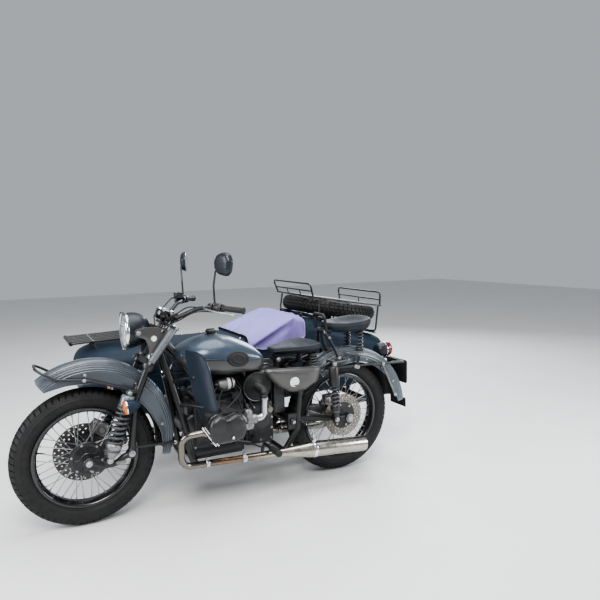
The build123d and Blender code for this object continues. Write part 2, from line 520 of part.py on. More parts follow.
# post that carries the spare wheel
SPARE = (-369.92, SIDE_Y - 8, 908)
SPARE_TILT = 9.8
put("boot_lid", lid)
pins = []
for y in (-150, 90):
    pins.append(rod((HINGE[0], SIDE_Y + y - 14, HINGE[1]), (HINGE[0], SIDE_Y + y + 74, HINGE[1]), 3))
    for yy in (y - 14, y + 62):
        pins.append(slab_xz([(HINGE[0] - 7, HINGE[1] + 7), (HINGE[0] + 7, HINGE[1] + 7), (HINGE[0] + 7, 869), (HINGE[0] - 7, 869)], SIDE_Y + yy, SIDE_Y + yy + 12))
hinges = [join(*pins[3 * k:3 * k + 3]) for k in (0, 1)]
put("boot_hinges", *hinges)

# spare wheel lying on the lid
def laid(s):
    # wheel built upright at the origin, laid flat and tilted down to the rear
    s = s.rotate(Axis((0, 0, 0), (1, 0, 0)), 90)
    s = s.rotate(Axis((0, 0, 0), (0, 1, 0)), -SPARE_TILT)
    return s.moved(Location(SPARE))


put("spare_tyre", laid(tyre(0, 0, 0)))
put("spare_rim", laid(rim(0, 0, 0, bore=False)))
put("spare_wheel_post", rod((SPARE[0] + 8, SPARE[1], 790), (SPARE[0] + 8, SPARE[1], 866), 28))

# luggage rack above the spare wheel: a floor frame with flat bars, and a fence across each end
RX0, RX1, RY0, RY1 = -636, -84, SIDE_Y - 296, SIDE_Y + 296
RACK_SLOPE = 0.165


def rack_z(x, h):
    # height of the rack at x, h above its floor; it drops to the rear
    return 1021 + RACK_SLOPE * (x - RX1) + h


tilt = Vector(1, 0, RACK_SLOPE).normalized()
xm = 0.5 * (RX0 + RX1)
pl = Plane(origin=(xm, SIDE_Y, rack_z(xm, 0)), x_dir=tuple(tilt), z_dir=tuple(tilt.cross(Vector(0, 1, 0))))
w = (pl * RectangleRounded((RX1 - RX0) / tilt.X, RY1 - RY0, 16)).face().outer_wire()
rk = [sweep(Plane(origin=w @ 0, z_dir=w % 0) * Circle(6), path=w).solid()]
# X at the floor, lean of the fence, height of its middle and top rails
for x, lean, mid, top in ((RX1, 30, 40, 90), (RX0, 6, 43, 97)):
    za, zb = rack_z(x, 0), rack_z(x, top)
    rk.append(tube([(x, RY0 + 22, za), (x + lean, RY0 + 6, zb), (x + lean, RY1 - 6, zb), (x, RY1 - 22, za)], 6, 26))
    f = mid / top
    rk.append(rod((x + lean * f, RY0 + 22 - 16 * f, rack_z(x, mid)), (x + lean * f, RY1 - 22 + 16 * f, rack_z(x, mid)), 5))
    for y in (SIDE_Y - 111, SIDE_Y + 111):
        rk.append(rod((x, y, za), (x + lean, y, zb), 5))
FLAT_W = 24                      # flat bars of the rack's floor, 1 mm proud of its tubes
for k in range(7):
    y = RY0 + (RY1 - RY0) * (k + 1) / 8
    rk.append(slab_xz([(RX0, rack_z(RX0, 1)), (RX1, rack_z(RX1, 1)), (RX1, rack_z(RX1, 7)), (RX0, rack_z(RX0, 7))],
                      y - FLAT_W / 2, y + FLAT_W / 2))
rk.append(rod((-366, RY0, rack_z(-366, -1)), (-366, RY1, rack_z(-366, -1)), 5))
rack = join(*rk)
# legs down to the lid
LEGS = []
for s in (-1, 1):
    y = SIDE_Y + s * 296
    yl = SIDE_Y + s * 222
    LEGS.append(tube([(-606, y, rack_z(-606, 0)), (-583, y, 752), (-570, yl, 748), (-520, yl - s * 10, 762)], 6, [20, 12]))
    LEGS.append(tube([(-130, y, rack_z(-130, 0)), (-110, y, 892), (-112, yl, 888), (-138, yl - s * 10, 883)], 6, [20, 12]))
put("luggage_rack", join(rack, *LEGS))

# passenger seat
put("sidecar_seat", bx(-10, 400, SIDE_Y - 210, SIDE_Y + 210, 344, 520))
put("sidecar_backrest", slab_xz([(-10, 520), (90, 520), (30, 852), (-14, 852)], SIDE_Y - 205, SIDE_Y + 205))

# cloth cover over the cockpit
CTOP = [(402, 790), (150, 934), (96, 938), (-4, 886)]
CIN = [(396, 786), (150, 927), (96, 931), (-10, 878)]
c_out = slab_xz(CTOP + [(-4, 770), (60, 720), (310, 700), (402, 748)], SIDE_Y - 300, SIDE_Y + 300)
c_in = slab_xz(CIN + [(-10, 600), (396, 600)], SIDE_Y - 294, SIDE_Y + 294)
put("cockpit_cover", c_out.cut(c_in).cut(bx(380, 420, -1200, 0, 700, 783)))

# nose rack
nr = []
for y in (-590, -650, -710, -770, -830, -890):
    nr.append(rod((1080, y, 830), (1450, y, 816), 7))
nr.append(rod((1110, -590, 820), (1110, -890, 820), 8))
nr.append(rod((1452, -584, 816), (1452, -896, 816), 12))
for x0, x1, y, z in ((1110, 1110, -640, 822), (1110, 1110, -804, 822), (1330, 1306, -640, 818), (1330, 1306, -804, 818)):
    nr.append(rod((x1, y, 745), (x0, y, z), 7))
nr.append(rod((1330, -590, 812), (1330, -890, 812), 8))
put("nose_rack", join(*nr))

# sidecar wheel guard, suspension, lamps
SG_R = 402
put("sidecar_mudguard", guard(SIDE_LEAD, WHEEL_R, SG_R, 74, 70, 4, 12, 176, -TRACK))
put("sidecar_mudguard_stays", rod((470, -990, CH_Z + 6), (444, -1070, 430), 9), rod((-200, -985, CH_Z), (-205, -1068, 560), 9))
sa = [rod((430, -998, 300), (430, -1050, 300), 18), tube([(430, -1036, 300), (260, -1044, 312), (SIDE_LEAD, -1046, WHEEL_R)], 15, 80),
      rod((SIDE_LEAD, -1062, WHEEL_R), (SIDE_LEAD, -1030, WHEEL_R), 24), rod((SIDE_LEAD, -1062, WHEEL_R), (SIDE_LEAD, -1192, WHEEL_R), AXLE_R),
      rod((SIDE_LEAD, -1190, WHEEL_R), (SIDE_LEAD, -1202, WHEEL_R), 16)]
put("sidecar_swingarm", join(*sa))
put("sidecar_shock", join(rod((150, -1040, 330), (120, -1040, 610), 9), rod((146, -1040, 388), (124, -1040, 580), 11),
                          rod((121, -1042, 600), (121, -1004, 600), 12)))
put("sidecar_lamps", join(rod((344, -TRACK, 690), (376, -TRACK, 690), 30), rod((341, -TRACK, 652), (352, -TRACK, 690), 8)),
    join(rod((-300, -TRACK, 620), (-332, -TRACK, 620), 34), rod((-238, -TRACK, 547), (-304, -TRACK, 620), 8)))

# ---------------------------------------------------------------- pieces welded or bolted into one node
GROUPS = {
    "front_wheel_rim": ["front_rim", "front_brake_disc"],
    "rear_wheel_rim": ["rear_rim", "rear_brake_disc"],
    "sidecar_wheel_rim": ["sidecar_rim", "sidecar_brake_disc"],
    "leading_arms": ["leading_arms", "front_brake_caliper"],
    "mudguard_hoop": ["mudguard_hoop", "mudguard_stays"],
    "headlight": ["headlight_shell", "headlight_rim"],
    "handlebar": ["handlebar", "hand_levers"],
    "boot_lid": ["boot_lid", "spare_wheel_post"],
    "engine_block": ["engine_block", "gearbox"],
    "cylinders": ["left_cylinder", "right_cylinder"],
    "exhausts": ["left_exhaust", "right_exhaust"],
    "intake": ["air_box", "intakes"],
    "swingarm": ["swingarm", "final_drive", "rear_brake_caliper"],
    "saddle_springs": ["rider_saddle_springs", "pillion_saddle_springs"],
    "leg_shields": ["leg_shields", "leg_shield_brackets"],
    "footrests": ["footrests", "pedals"],
    "sidecar_body": ["sidecar_body", "boot_hinges"],
    "sidecar_seat": ["sidecar_seat", "sidecar_backrest"],
    "sidecar_mudguard": ["sidecar_mudguard", "sidecar_mudguard_stays"],
    "sidecar_swingarm": ["sidecar_swingarm", "sidecar_shock"],
}
for node, names in GROUPS.items():
    solids = [s for n in names for s in OUT.pop(n)]
    OUT[node] = list(solids[0].fuse(*solids[1:]).solids())

# ---------------------------------------------------------------- each piece gives way to the ones before it
BODY = {
    "steering": ["front_fork", "leading_arms", "front_shocks", "front_mudguard", "mudguard_hoop", "headlight_glass", "headlight",
                 "headlight_brackets", "handlebar", "handlebar_grips", "instrument", "mirrors", "front_turn_signals"],
    "front_wheel": ["front_tyre", "front_wheel_rim"],
    "rear_wheel": ["rear_tyre", "rear_wheel_rim"],
    "sidecar_wheel": ["sidecar_tyre", "sidecar_wheel_rim"],
    "boot": ["boot_lid", "spare_tyre", "spare_rim", "luggage_rack"],
    "root": ["main_frame", "engine_block", "cylinders", "exhausts", "intake", "battery_box", "fuel_tank", "swingarm", "rear_shocks",
             "rear_rails", "rear_mudguard", "rider_saddle", "pillion_saddle", "saddle_springs", "grab_handle", "tail_lamp",
             "number_plate", "leg_shields", "side_covers", "footrests", "horn", "sidecar_chassis", "sidecar_struts", "sidecar_body",
             "sidecar_seat", "cockpit_cover", "nose_rack", "sidecar_swingarm", "sidecar_mudguard", "sidecar_lamps"],
}
missing = set(OUT) ^ {n for v in BODY.values() for n in v}
assert not missing, missing


def boxes_meet(a, b):
    return all(getattr(a.min, k) < getattr(b.max, k) and getattr(b.min, k) < getattr(a.max, k) for k in "XYZ")


for nodes in BODY.values():
    done = []
    for n in nodes:
        solids = []
        for s in OUT[n]:
            sb = s.bounding_box()
            tools = [t for t, tb in done if boxes_meet(sb, tb)]
            if tools:
                r = s.cut(*tools)
                bits = list(r.solids())
                big = max(b.volume for b in bits)
                solids += [b for b in bits if b.volume > 0.02 * big]
            else:
                solids.append(s)
        OUT[n] = solids
        done += [(s, s.bounding_box()) for s in solids]

# ---------------------------------------------------------------- export
os.makedirs("parts", exist_ok=True)
shift = Location((-MIDDLE[0], -MIDDLE[1], -MIDDLE[2]))
allb = None
for n, solids in OUT.items():
    moved = [s.moved(shift) for s in solids]
    shape = moved[0] if len(moved) == 1 else Compound(children=moved)
    shape.label = n
    export_step(shape, "parts/%s.step" % n)
    b = shape.bounding_box()
    allb = b if allb is None else allb.add(b)
print("nodes", len(OUT), "box", allb)
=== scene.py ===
import bpy
import bmesh
import random
from math import sin, cos, tan, radians, pi, atan2, hypot, acos, sqrt, ceil
import numpy as np
from mathutils import Vector, Matrix


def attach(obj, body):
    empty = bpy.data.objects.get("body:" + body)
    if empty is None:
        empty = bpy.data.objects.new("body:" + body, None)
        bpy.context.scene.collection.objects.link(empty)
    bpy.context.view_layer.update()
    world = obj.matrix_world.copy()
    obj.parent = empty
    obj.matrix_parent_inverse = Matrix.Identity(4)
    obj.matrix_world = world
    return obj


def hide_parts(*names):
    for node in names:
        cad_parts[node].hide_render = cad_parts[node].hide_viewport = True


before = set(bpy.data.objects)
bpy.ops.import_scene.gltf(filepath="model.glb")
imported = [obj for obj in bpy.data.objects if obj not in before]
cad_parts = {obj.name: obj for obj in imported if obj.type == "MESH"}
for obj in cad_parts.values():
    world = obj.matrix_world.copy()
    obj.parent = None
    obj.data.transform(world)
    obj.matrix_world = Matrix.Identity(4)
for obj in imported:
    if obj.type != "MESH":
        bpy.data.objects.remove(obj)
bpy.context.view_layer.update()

# Shapes are worked out in millimetres in the construction frame: X forward, Y left, rear axle over X = 0,
# motorcycle centre plane Y = 0, ground Z = 0. MID moves them to the part's frame.
MID = np.array([552.13, -394.3, 0.0])
WHEELBASE, TRACK, SIDE_LEAD, WHEEL_R = 1470, 1140, 100, 345
FORK_Y, SIDE_Y, SADDLE_Z = 112, -722, 815
RAKE, TRAIL = radians(27), 70


def steer_x(z):
    return WHEELBASE + TRAIL - tan(RAKE) * z


# ------------------------------------------------------------------ vectors and paths
def A(*p):
    return np.array(p[0] if len(p) == 1 else p, float)


def unit(v):
    v = np.asarray(v, float)
    return v / max(np.linalg.norm(v), 1e-12)


def square(d):
    # two unit vectors square to d
    d = unit(d)
    h = A(0, 0, 1) if abs(d[2]) < 0.9 else A(1, 0, 0)
    u = unit(np.cross(h, d))
    return u, np.cross(d, u)


def fillet(points, bend, deg=9.0):
    # polyline with rounded corners, as sampled points
    P = [A(p) for p in points]
    if not hasattr(bend, "__len__"):
        bend = [bend] * (len(P) - 2)
    out = [P[0]]
    for i in range(1, len(P) - 1):
        a, b, c = P[i - 1], P[i], P[i + 1]
        u, v = a - b, c - b
        lu, lv = np.linalg.norm(u), np.linalg.norm(v)
        u, v = u / lu, v / lv
        ang = acos(float(np.clip(u @ v, -1, 1)))
        if ang > pi - 0.01:
            out.append(b)
            continue
        t = min(bend[i - 1] / tan(ang / 2), 0.49 * lu, 0.49 * lv)
        r = t * tan(ang / 2)
        c0 = b + unit(u + v) * (r / sin(ang / 2))
        x = unit(b + u * t - c0)
        e = b + v * t - c0
        y = unit(e - x * (e @ x))
        turn = pi - ang
        n = max(2, int(ceil(turn / radians(deg))))
        for k in range(n + 1):
            out.append(c0 + r * (cos(turn * k / n) * x + sin(turn * k / n) * y))
    out.append(P[-1])
    return np.array(out)


def spline(points, n=8, closed=False):
    # Catmull-Rom line through the points
    P = [A(p) for p in points]
    m = len(P)
    out = []
    for i in range(m if closed else m - 1):
        if closed:
            p0, p1, p2, p3 = P[i - 1], P[i], P[(i + 1) % m], P[(i + 2) % m]
        else:
            p1, p2 = P[i], P[i + 1]
            p0 = P[i - 1] if i else 2 * p1 - p2
            p3 = P[i + 2] if i + 2 < m else 2 * p2 - p1
        for k in range(n):
            t = k / n
            out.append(0.5 * ((2 * p1) + (p2 - p0) * t + (2 * p0 - 5 * p1 + 4 * p2 - p3) * t * t + (3 * p1 - p0 - 3 * p2 + p3) * t ** 3))
    if not closed:
        out.append(P[-1])
    return np.array(out)


def resample(path, n):
    path = np.asarray(path, float)
    s = np.r_[0, np.cumsum(np.linalg.norm(np.diff(path, axis=0), axis=1))]
    t = np.linspace(0, s[-1], n)
    return np.array([[np.interp(q, s, path[:, k]) for k in range(path.shape[1])] for q in t])


def frames(path, closed=False):
    # tangent and two transported normals along a path
    P = np.asarray(path, float)
    if closed:
        T = np.roll(P, -1, 0) - np.roll(P, 1, 0)
    else:
        T = np.empty_like(P)
        T[1:-1] = P[2:] - P[:-2]
        T[0], T[-1] = P[1] - P[0], P[-1] - P[-2]
    T /= np.maximum(np.linalg.norm(T, axis=1, keepdims=True), 1e-12)
    u, _ = square(T[0])
    U = [u]
    for k in range(1, len(P)):
        w = U[-1] - T[k] * (U[-1] @ T[k])
        U.append(unit(w))
    U = np.array(U)
    if closed:
        # spread the mismatch of the last frame over the loop
        w = U[-1] - T[0] * (U[-1] @ T[0])
        w = unit(w)
        miss = atan2(float(np.cross(U[0], w) @ T[0]), float(U[0] @ w))
        V = np.cross(T, U)
        a = -miss * np.arange(len(P)) / len(P)
        U = U * np.cos(a)[:, None] + V * np.sin(a)[:, None]
    return T, U, np.cross(T, U)


# ------------------------------------------------------------------ shapes: each returns (vertices, faces)
def stack(rows, around=True, loop=False, caps=True):
    # rows of points joined by quads; around closes each row, loop closes the last row to the first
    R = np.asarray(rows, float)
    n, m = R.shape[:2]
    F = []
    for i in range(n if loop else n - 1):
        a, b = i * m, ((i + 1) % n) * m
        for j in range(m if around else m - 1):
            k = (j + 1) % m
            F.append((a + j, a + k, b + k, b + j))
    if caps and around and not loop:
        F.append(tuple(range(m - 1, -1, -1)))
        F.append(tuple(range((n - 1) * m, n * m)))
    return R.reshape(-1, 3), F


def tube(path, r, seg=14, closed=False, flat=1.0, caps=True):
    P = np.asarray(path, float)
    T, U, V = frames(P, closed)
    r = np.broadcast_to(np.asarray(r, float), (len(P),))
    a = np.linspace(0, 2 * pi, seg, endpoint=False)
    rows = [P[k] + r[k] * (np.cos(a)[:, None] * U[k] + flat * np.sin(a)[:, None] * V[k]) for k in range(len(P))]
    return stack(rows, True, closed, caps)


def rod(p, q, r, r2=None, seg=24, b=0.0):
    # straight bar with edges broken by b
    p, q = A(p), A(q)
    d = unit(q - p)
    n = np.linalg.norm(q - p)
    r2 = r if r2 is None else r2
    prof = [(0, 0), (r - b, 0), (r, b), (r2, n - b), (r2 - b, n), (0, n)] if b else [(0, 0), (r, 0), (r2, n), (0, n)]
    return lathe(prof, p, d, seg)


def lathe(profile, p, d, seg=48, closed=False, a0=0, a1=360, ref=None):
    # profile of (radius, distance along d), turned about the line from p along d
    p, d = A(p), unit(d)
    u, v = square(d)
    if ref is not None:
        u = unit(A(ref) - d * (A(ref) @ d))
        v = np.cross(d, u)
    full = abs(a1 - a0 - 360) < 1e-6
    ang = np.radians(np.linspace(a0, a1, seg, endpoint=False) if full else np.linspace(a0, a1, seg + 1))
    pr = np.asarray(profile, float)
    rows = [p + pr[:, 1:2] * d + pr[:, 0:1] * (cos(t) * u + sin(t) * v) for t in ang]
    return stack(rows, closed, full, caps=closed)


def turn_y(profile, cx, cy, cz, seg=96, closed=True, a0=0, a1=360):
    # profile of (radius, offset along Y) about a Y line, angles counted upward from +X
    full = abs(a1 - a0 - 360) < 1e-6
    ang = np.radians(np.linspace(a0, a1, seg, endpoint=False) if full else np.linspace(a0, a1, seg + 1))
    pr = np.asarray(profile, float)
    rows = [np.c_[cx + pr[:, 0] * cos(t), cy + pr[:, 1], cz + pr[:, 0] * sin(t)] for t in ang]
    return stack(rows, closed, full, caps=closed)


def taken(bm):
    bm.verts.index_update()
    v = np.array([tuple(x.co) for x in bm.verts])
    f = [tuple(x.index for x in y.verts) for y in bm.faces]
    bm.free()
    return v, f


def rbox(x0, x1, y0, y1, z0, z1, b=2.0, seg=2):
    bm = bmesh.new()
    bmesh.ops.create_cube(bm, size=1.0)
    for v in bm.verts:
        v.co = ((x0 + x1) / 2 + v.co.x * (x1 - x0), (y0 + y1) / 2 + v.co.y * (y1 - y0), (z0 + z1) / 2 + v.co.z * (z1 - z0))
    if b:
        bmesh.ops.bevel(bm, geom=bm.edges[:], offset=b, segments=seg, affect="EDGES", profile=0.5)
    return taken(bm)


def plate(outline, thick, o=(0, 0, 0), u=(1, 0, 0), v=(0, 1, 0), b=0.8, seg=2):
    # flat piece: outline in (u, v) from o, thickness along u x v, edges broken by b
    o, u, v = A(o), unit(u), unit(v)
    n = np.cross(u, v)
    bm = bmesh.new()
    vs = [bm.verts.new(tuple(o + u * p[0] + v * p[1])) for p in outline]
    f = bm.faces.new(vs)
    r = bmesh.ops.extrude_face_region(bm, geom=[f])
    up = [g for g in r["geom"] if isinstance(g, bmesh.types.BMVert)]
    bmesh.ops.translate(bm, verts=up, vec=Vector(tuple(n * thick)))
    if b:
        bm.normal_update()
        caps = [g for g in bm.faces if len(g.verts) == len(outline)]
        edges = list({e for c in caps for e in c.edges})
        bmesh.ops.bevel(bm, geom=edges, offset=b, segments=seg, affect="EDGES", profile=0.5)
    return taken(bm)


def rounded(pts, r, n=5):
    # closed 2D outline with rounded corners
    P = [A(p) for p in pts]
    m = len(P)
    rr = r if hasattr(r, "__len__") else [r] * m
    out = []
    for i in range(m):
        a, b, c = P[i - 1], P[i], P[(i + 1) % m]
        u, v = a - b, c - b
        lu, lv = np.linalg.norm(u), np.linalg.norm(v)
        u, v = u / lu, v / lv
        ang = acos(float(np.clip(u @ v, -1, 1)))
        t = min(rr[i] / tan(ang / 2), 0.48 * lu, 0.48 * lv) if ang < pi - 0.02 else 0
        if t <= 0.01:
            out.append(b)
            continue
        rad = t * tan(ang / 2)
        c0 = b + unit(u + v) * (rad / sin(ang / 2))
        x = unit(b + u * t - c0)
        e = b + v * t - c0
        y = unit(e - x * (e @ x))
        for k in range(n + 1):
            q = (pi - ang) * k / n
            out.append(c0 + rad * (cos(q) * x + sin(q) * y))
    return np.array(out)


def moved(vf, R=None, t=(0, 0, 0)):
    v, f = vf
    v = np.asarray(v, float)
    if R is not None:
        v = v @ np.asarray(R, float).T
    return v + A(t), f


def turn(axis, deg):
    return np.array(Matrix.Rotation(radians(deg), 3, Vector(axis)))


def mirrored(vf):
    v, f = vf
    v = np.array(v, float)
    v[:, 1] *= -1
    return v, [tuple(reversed(x)) for x in f]


def coil(p, q, R, wire, turns, seg=8, per=18):
    # helical spring from p to q with flat end turns
    p, q = A(p), A(q)
    d = unit(q - p)
    n = np.linalg.norm(q - p)
    u, v = square(d)
    N = int(turns * per)
    t = np.linspace(0, 1, N + 1)
    k = 0.9 / turns
    h = np.where(t < k, t * 0.35, np.where(t > 1 - k, 1 - (1 - t) * 0.35, 0))
    mid = (t >= k) & (t <= 1 - k)
    h[mid] = np.interp(t[mid], [k, 1 - k], [k * 0.35, 1 - k * 0.35])
    a = t * turns * 2 * pi
    path = p + d * (wire + h * (n - 2 * wire))[:, None] + R * (np.cos(a)[:, None] * u + np.sin(a)[:, None] * v)
    return tube(path, wire, seg)


def hexbolt(p, d, r, h=None, washer=True):
    # hexagon head with a washer under it, standing at p along d; the list holds (vertices, faces)
    p, d = A(p), unit(d)
    h = h or 0.65 * r
    u, v = square(d)
    out = []
    w = 0.0
    if washer:
        w = 0.18 * r
        out.append(lathe([(0, 0), (1.3 * r, 0), (1.3 * r, w), (0, w)], p, d, 20))
    a = np.radians(np.arange(6) * 60.0)
    rows = []
    for rr, hh in ((r, w), (r, w + 0.8 * h), (0.82 * r, w + h)):
        rows.append(p + d * hh + rr * (np.cos(a)[:, None] * u + np.sin(a)[:, None] * v))
    out.append(stack(rows))
    return out


def dome(p, d, r, h=None, seg=16):
    # round head, like a rivet or cap nut
    h = h or 0.6 * r
    prof = [(0, 0), (r, 0)] + [(r * cos(t), h * sin(t)) for t in np.linspace(0.25, pi / 2, 5)]
    prof[-1] = (0, h)
    return lathe(prof, p, d, seg)


# ------------------------------------------------------------------ pieces
MAT = {}


class Piece:
    def __init__(self):
        self.v, self.f, self.m, self.n, self.names = [], [], [], 0, []

    def add(self, vf, mat):
        if isinstance(vf, list):
            for x in vf:
                self.add(x, mat)
            return self
        v, f = vf
        v = np.asarray(v, float).reshape(-1, 3)
        if mat not in self.names:
            self.names.append(mat)
        k = self.names.index(mat)
        self.v.append(v)
        n = self.n
        self.f.extend([tuple(i + n for i in g) for g in f])
        self.m.extend([k] * len(f))
        self.n += len(v)
        return self

    def both(self, vf, mat):
        # the shape and its mirror image about the motorcycle's centre plane
        for x in (vf if isinstance(vf, list) else [vf]):
            self.add(x, mat)
            self.add(mirrored(x), mat)
        return self

    def object(self, name, smooth=38, weld=True):
        V = (np.vstack(self.v) - MID) / 1000.0
        me = bpy.data.meshes.new(name)
        me.from_pydata(V.tolist(), [], self.f)
        for n in self.names:
            me.materials.append(MAT[n])
        me.polygons.foreach_set("material_index", self.m)
        bm = bmesh.new()
        bm.from_mesh(me)
        if weld:
            bmesh.ops.remove_doubles(bm, verts=bm.verts, dist=3e-6)
        bmesh.ops.delete(bm, geom=[w for w in bm.verts if not w.link_faces], context="VERTS")
        bmesh.ops.recalc_face_normals(bm, faces=bm.faces)
        bm.to_mesh(me)
        bm.free()
        me.shade_smooth()
        me.set_sharp_from_angle(angle=radians(smooth))
        ob = bpy.data.objects.new(name, me)
        bpy.context.scene.collection.objects.link(ob)
        return ob

    def done(self, name, body, nodes=(), smooth=38, weld=True):
        ob = self.object(name, smooth, weld)
        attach(ob, body)
        if nodes:
            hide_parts(*nodes)
        return ob


# ------------------------------------------------------------------ materials
class Shader:
    def __init__(self, name, color=(0.5, 0.5, 0.5), rough=0.5, metal=0.0, **sockets):
        self.m = bpy.data.materials.new(name)
        self.m.use_nodes = True
        self.t = self.m.node_tree
        self.b = self.t.nodes["Principled BSDF"]
        self.obj = self.t.nodes.new("ShaderNodeTexCoord").outputs["Object"]
        self.b.inputs["Base Color"].default_value = (*color, 1)
        self.b.inputs["Roughness"].default_value = rough
        self.b.inputs["Metallic"].default_value = metal
        for k, v in sockets.items():
            self.b.inputs[k.replace("_", " ")].default_value = v
        self.h = None
        MAT[name] = self.m

    def link(self, a, b):
        self.t.links.new(a, b)

    def scaled(self, s):
        n = self.t.nodes.new("ShaderNodeMapping")
        n.inputs["Scale"].default_value = s
        self.link(self.obj, n.inputs["Vector"])
        return n.outputs["Vector"]

    def noise(self, scale, detail=4.0, rough=0.55, vec=None, dist=0.0):
        n = self.t.nodes.new("ShaderNodeTexNoise")
        n.inputs["Scale"].default_value = scale
        n.inputs["Detail"].default_value = detail
        n.inputs["Roughness"].default_value = rough
        n.inputs["Distortion"].default_value = dist
        self.link(vec or self.obj, n.inputs["Vector"])
        return n.outputs["Fac"]

    def cells(self, scale, feature="F1", vec=None, rand=1.0):
        n = self.t.nodes.new("ShaderNodeTexVoronoi")
        n.feature = feature
        n.inputs["Scale"].default_value = scale
        n.inputs["Randomness"].default_value = rand
        self.link(vec or self.obj, n.inputs["Vector"])
        return n.outputs["Distance"]

    def wave(self, scale, direction="X", vec=None, dist=0.0):
        n = self.t.nodes.new("ShaderNodeTexWave")
        n.wave_type = "BANDS"
        n.bands_direction = direction
        n.wave_profile = "SIN"
        n.inputs["Scale"].default_value = scale
        n.inputs["Distortion"].default_value = dist
        self.link(vec or self.obj, n.inputs["Vector"])
        return n.outputs["Fac"]

    def ramp(self, fac, *stops):
        # stops: (position, grey or colour)
        n = self.t.nodes.new("ShaderNodeValToRGB")
        e = n.color_ramp.elements
        while len(e) < len(stops):
            e.new(0.5)
        for k, (p, c) in enumerate(stops):
            e[k].position = p
            e[k].color = (c, c, c, 1) if not hasattr(c, "__len__") else (*c, 1)
        self.link(fac, n.inputs["Fac"])
        return n.outputs["Color"]

    def mix(self, fac, a, b, how="MIX"):
        n = self.t.nodes.new("ShaderNodeMix")
        n.data_type = "RGBA"
        n.blend_type = how
        for s, v in ((0, fac), (6, a), (7, b)):
            if hasattr(v, "is_linked") or hasattr(v, "node"):
                self.link(v, n.inputs[s])
            elif s == 0:
                n.inputs[0].default_value = v
            else:
                n.inputs[s].default_value = (*v, 1) if hasattr(v, "__len__") else (v, v, v, 1)
        return n.outputs[2]

    def calc(self, op, a, b=0.0, c=None):
        n = self.t.nodes.new("ShaderNodeMath")
        n.operation = op
        for k, v in enumerate((a, b) if c is None else (a, b, c)):
            if hasattr(v, "node"):
                self.link(v, n.inputs[k])
            else:
                n.inputs[k].default_value = v
        return n.outputs[0]

    def upward(self):
        # 0 to 1, how far the surface faces up
        g = self.t.nodes.new("ShaderNodeNewGeometry")
        s = self.t.nodes.new("ShaderNodeSeparateXYZ")
        self.link(g.outputs["Normal"], s.inputs[0])
        return self.calc("MAXIMUM", s.outputs["Z"], 0.0)

    def axis(self, k):
        s = self.t.nodes.new("ShaderNodeSeparateXYZ")
        self.link(self.obj, s.inputs[0])
        return s.outputs[k]

    def convexity(self, width=0.0015):
        # 1 on sharp outer edges, 0 elsewhere
        g = self.t.nodes.new("ShaderNodeNewGeometry")
        return g.outputs["Pointiness"]

    def color(self, c):
        self.link(c, self.b.inputs["Base Color"])

    def rough(self, r):
        self.link(r, self.b.inputs["Roughness"])

    def bump(self, height, dist, strength=1.0):
        n = self.t.nodes.new("ShaderNodeBump")
        n.inputs["Distance"].default_value = dist
        n.inputs["Strength"].default_value = strength
        self.link(height, n.inputs["Height"])
        if self.h is not None:
            self.link(self.h, n.inputs["Normal"])
        self.h = n.outputs["Normal"]
        self.link(self.h, self.b.inputs["Normal"])


def paint(name, c, rough=0.33, coat=0.25, dust=0.18, flake=0.25, dustc=(0.30, 0.29, 0.27), metal=0.35, edge=0.0):
    # satin metallic paint: fine flakes, slight cloudiness, thin dust where it faces up
    s = Shader(name, c, rough, metal, Coat_Weight=coat, Coat_Roughness=0.12)
    big = s.noise(5.0, 3)
    fl = s.noise(1400, 2)
    base = s.mix(s.ramp(big, (0.3, 0.0), (0.7, 1.0)), tuple(x * 0.86 for x in c), tuple(min(1, x * 1.16) for x in c))
    base = s.mix(s.calc("MULTIPLY", s.ramp(fl, (0.62, 0.0), (0.75, 1.0)), flake), base, tuple(min(1, x * 3 + 0.08) for x in c))
    film = s.calc("MULTIPLY", s.calc("MULTIPLY", s.upward(), s.ramp(s.noise(16, 6, 0.65), (0.35, 0.0), (0.75, 1.0))), dust)
    base = s.mix(film, base, dustc)
    if edge:
        # painted highlight: the crests of pressed ribs are coloured lighter, standing in for the light they catch
        base = s.mix(s.calc("MULTIPLY", s.ramp(s.convexity(), (0.51, 0.0), (0.58, 1.0)), edge), base, tuple(min(1, x * 2.6 + 0.06) for x in c))
    s.color(base)
    s.rough(s.calc("ADD", s.calc("MULTIPLY", s.noise(34, 5), 0.12), s.calc("ADD", s.calc("MULTIPLY", film, 1.2), rough - 0.06)))
    s.bump(s.noise(260, 3), 0.00012, 0.25)
    return s


def powder(name, c=(0.0095, 0.0097, 0.0105), rough=0.36, dust=0.13):
    # black powder coat: orange peel and dust on upper sides
    s = Shader(name, c, rough, 0.0, Coat_Weight=0.12, Coat_Roughness=0.2)
    film = s.calc("MULTIPLY", s.calc("MULTIPLY", s.upward(), s.ramp(s.noise(22, 6, 0.7), (0.4, 0.0), (0.8, 1.0))), dust)
    s.color(s.mix(film, s.mix(s.noise(9, 3), tuple(x * 0.7 for x in c), tuple(x * 1.5 for x in c)), (0.22, 0.205, 0.18)))
    s.rough(s.calc("ADD", s.calc("MULTIPLY", s.noise(48, 4), 0.18), s.calc("ADD", film, rough - 0.09)))
    s.bump(s.noise(900, 2), 0.00015, 0.35)
    return s


def metal(name, c, rough, spread=0.12, grain=None, bump=0.0, tint=None):
    s = Shader(name, c, rough, 1.0)
    v = s.scaled(grain) if grain else None
    n = s.noise(60, 5, 0.6, v)
    s.rough(s.calc("ADD", s.calc("MULTIPLY", n, spread), rough - spread / 2))
    lo = tint or tuple(x * 0.78 for x in c)
    s.color(s.mix(s.ramp(s.noise(11, 5, 0.6), (0.35, 0.0), (0.7, 1.0)), lo, c))
    if bump:
        s.bump(s.noise(320, 4), 0.0004, bump)
    return s


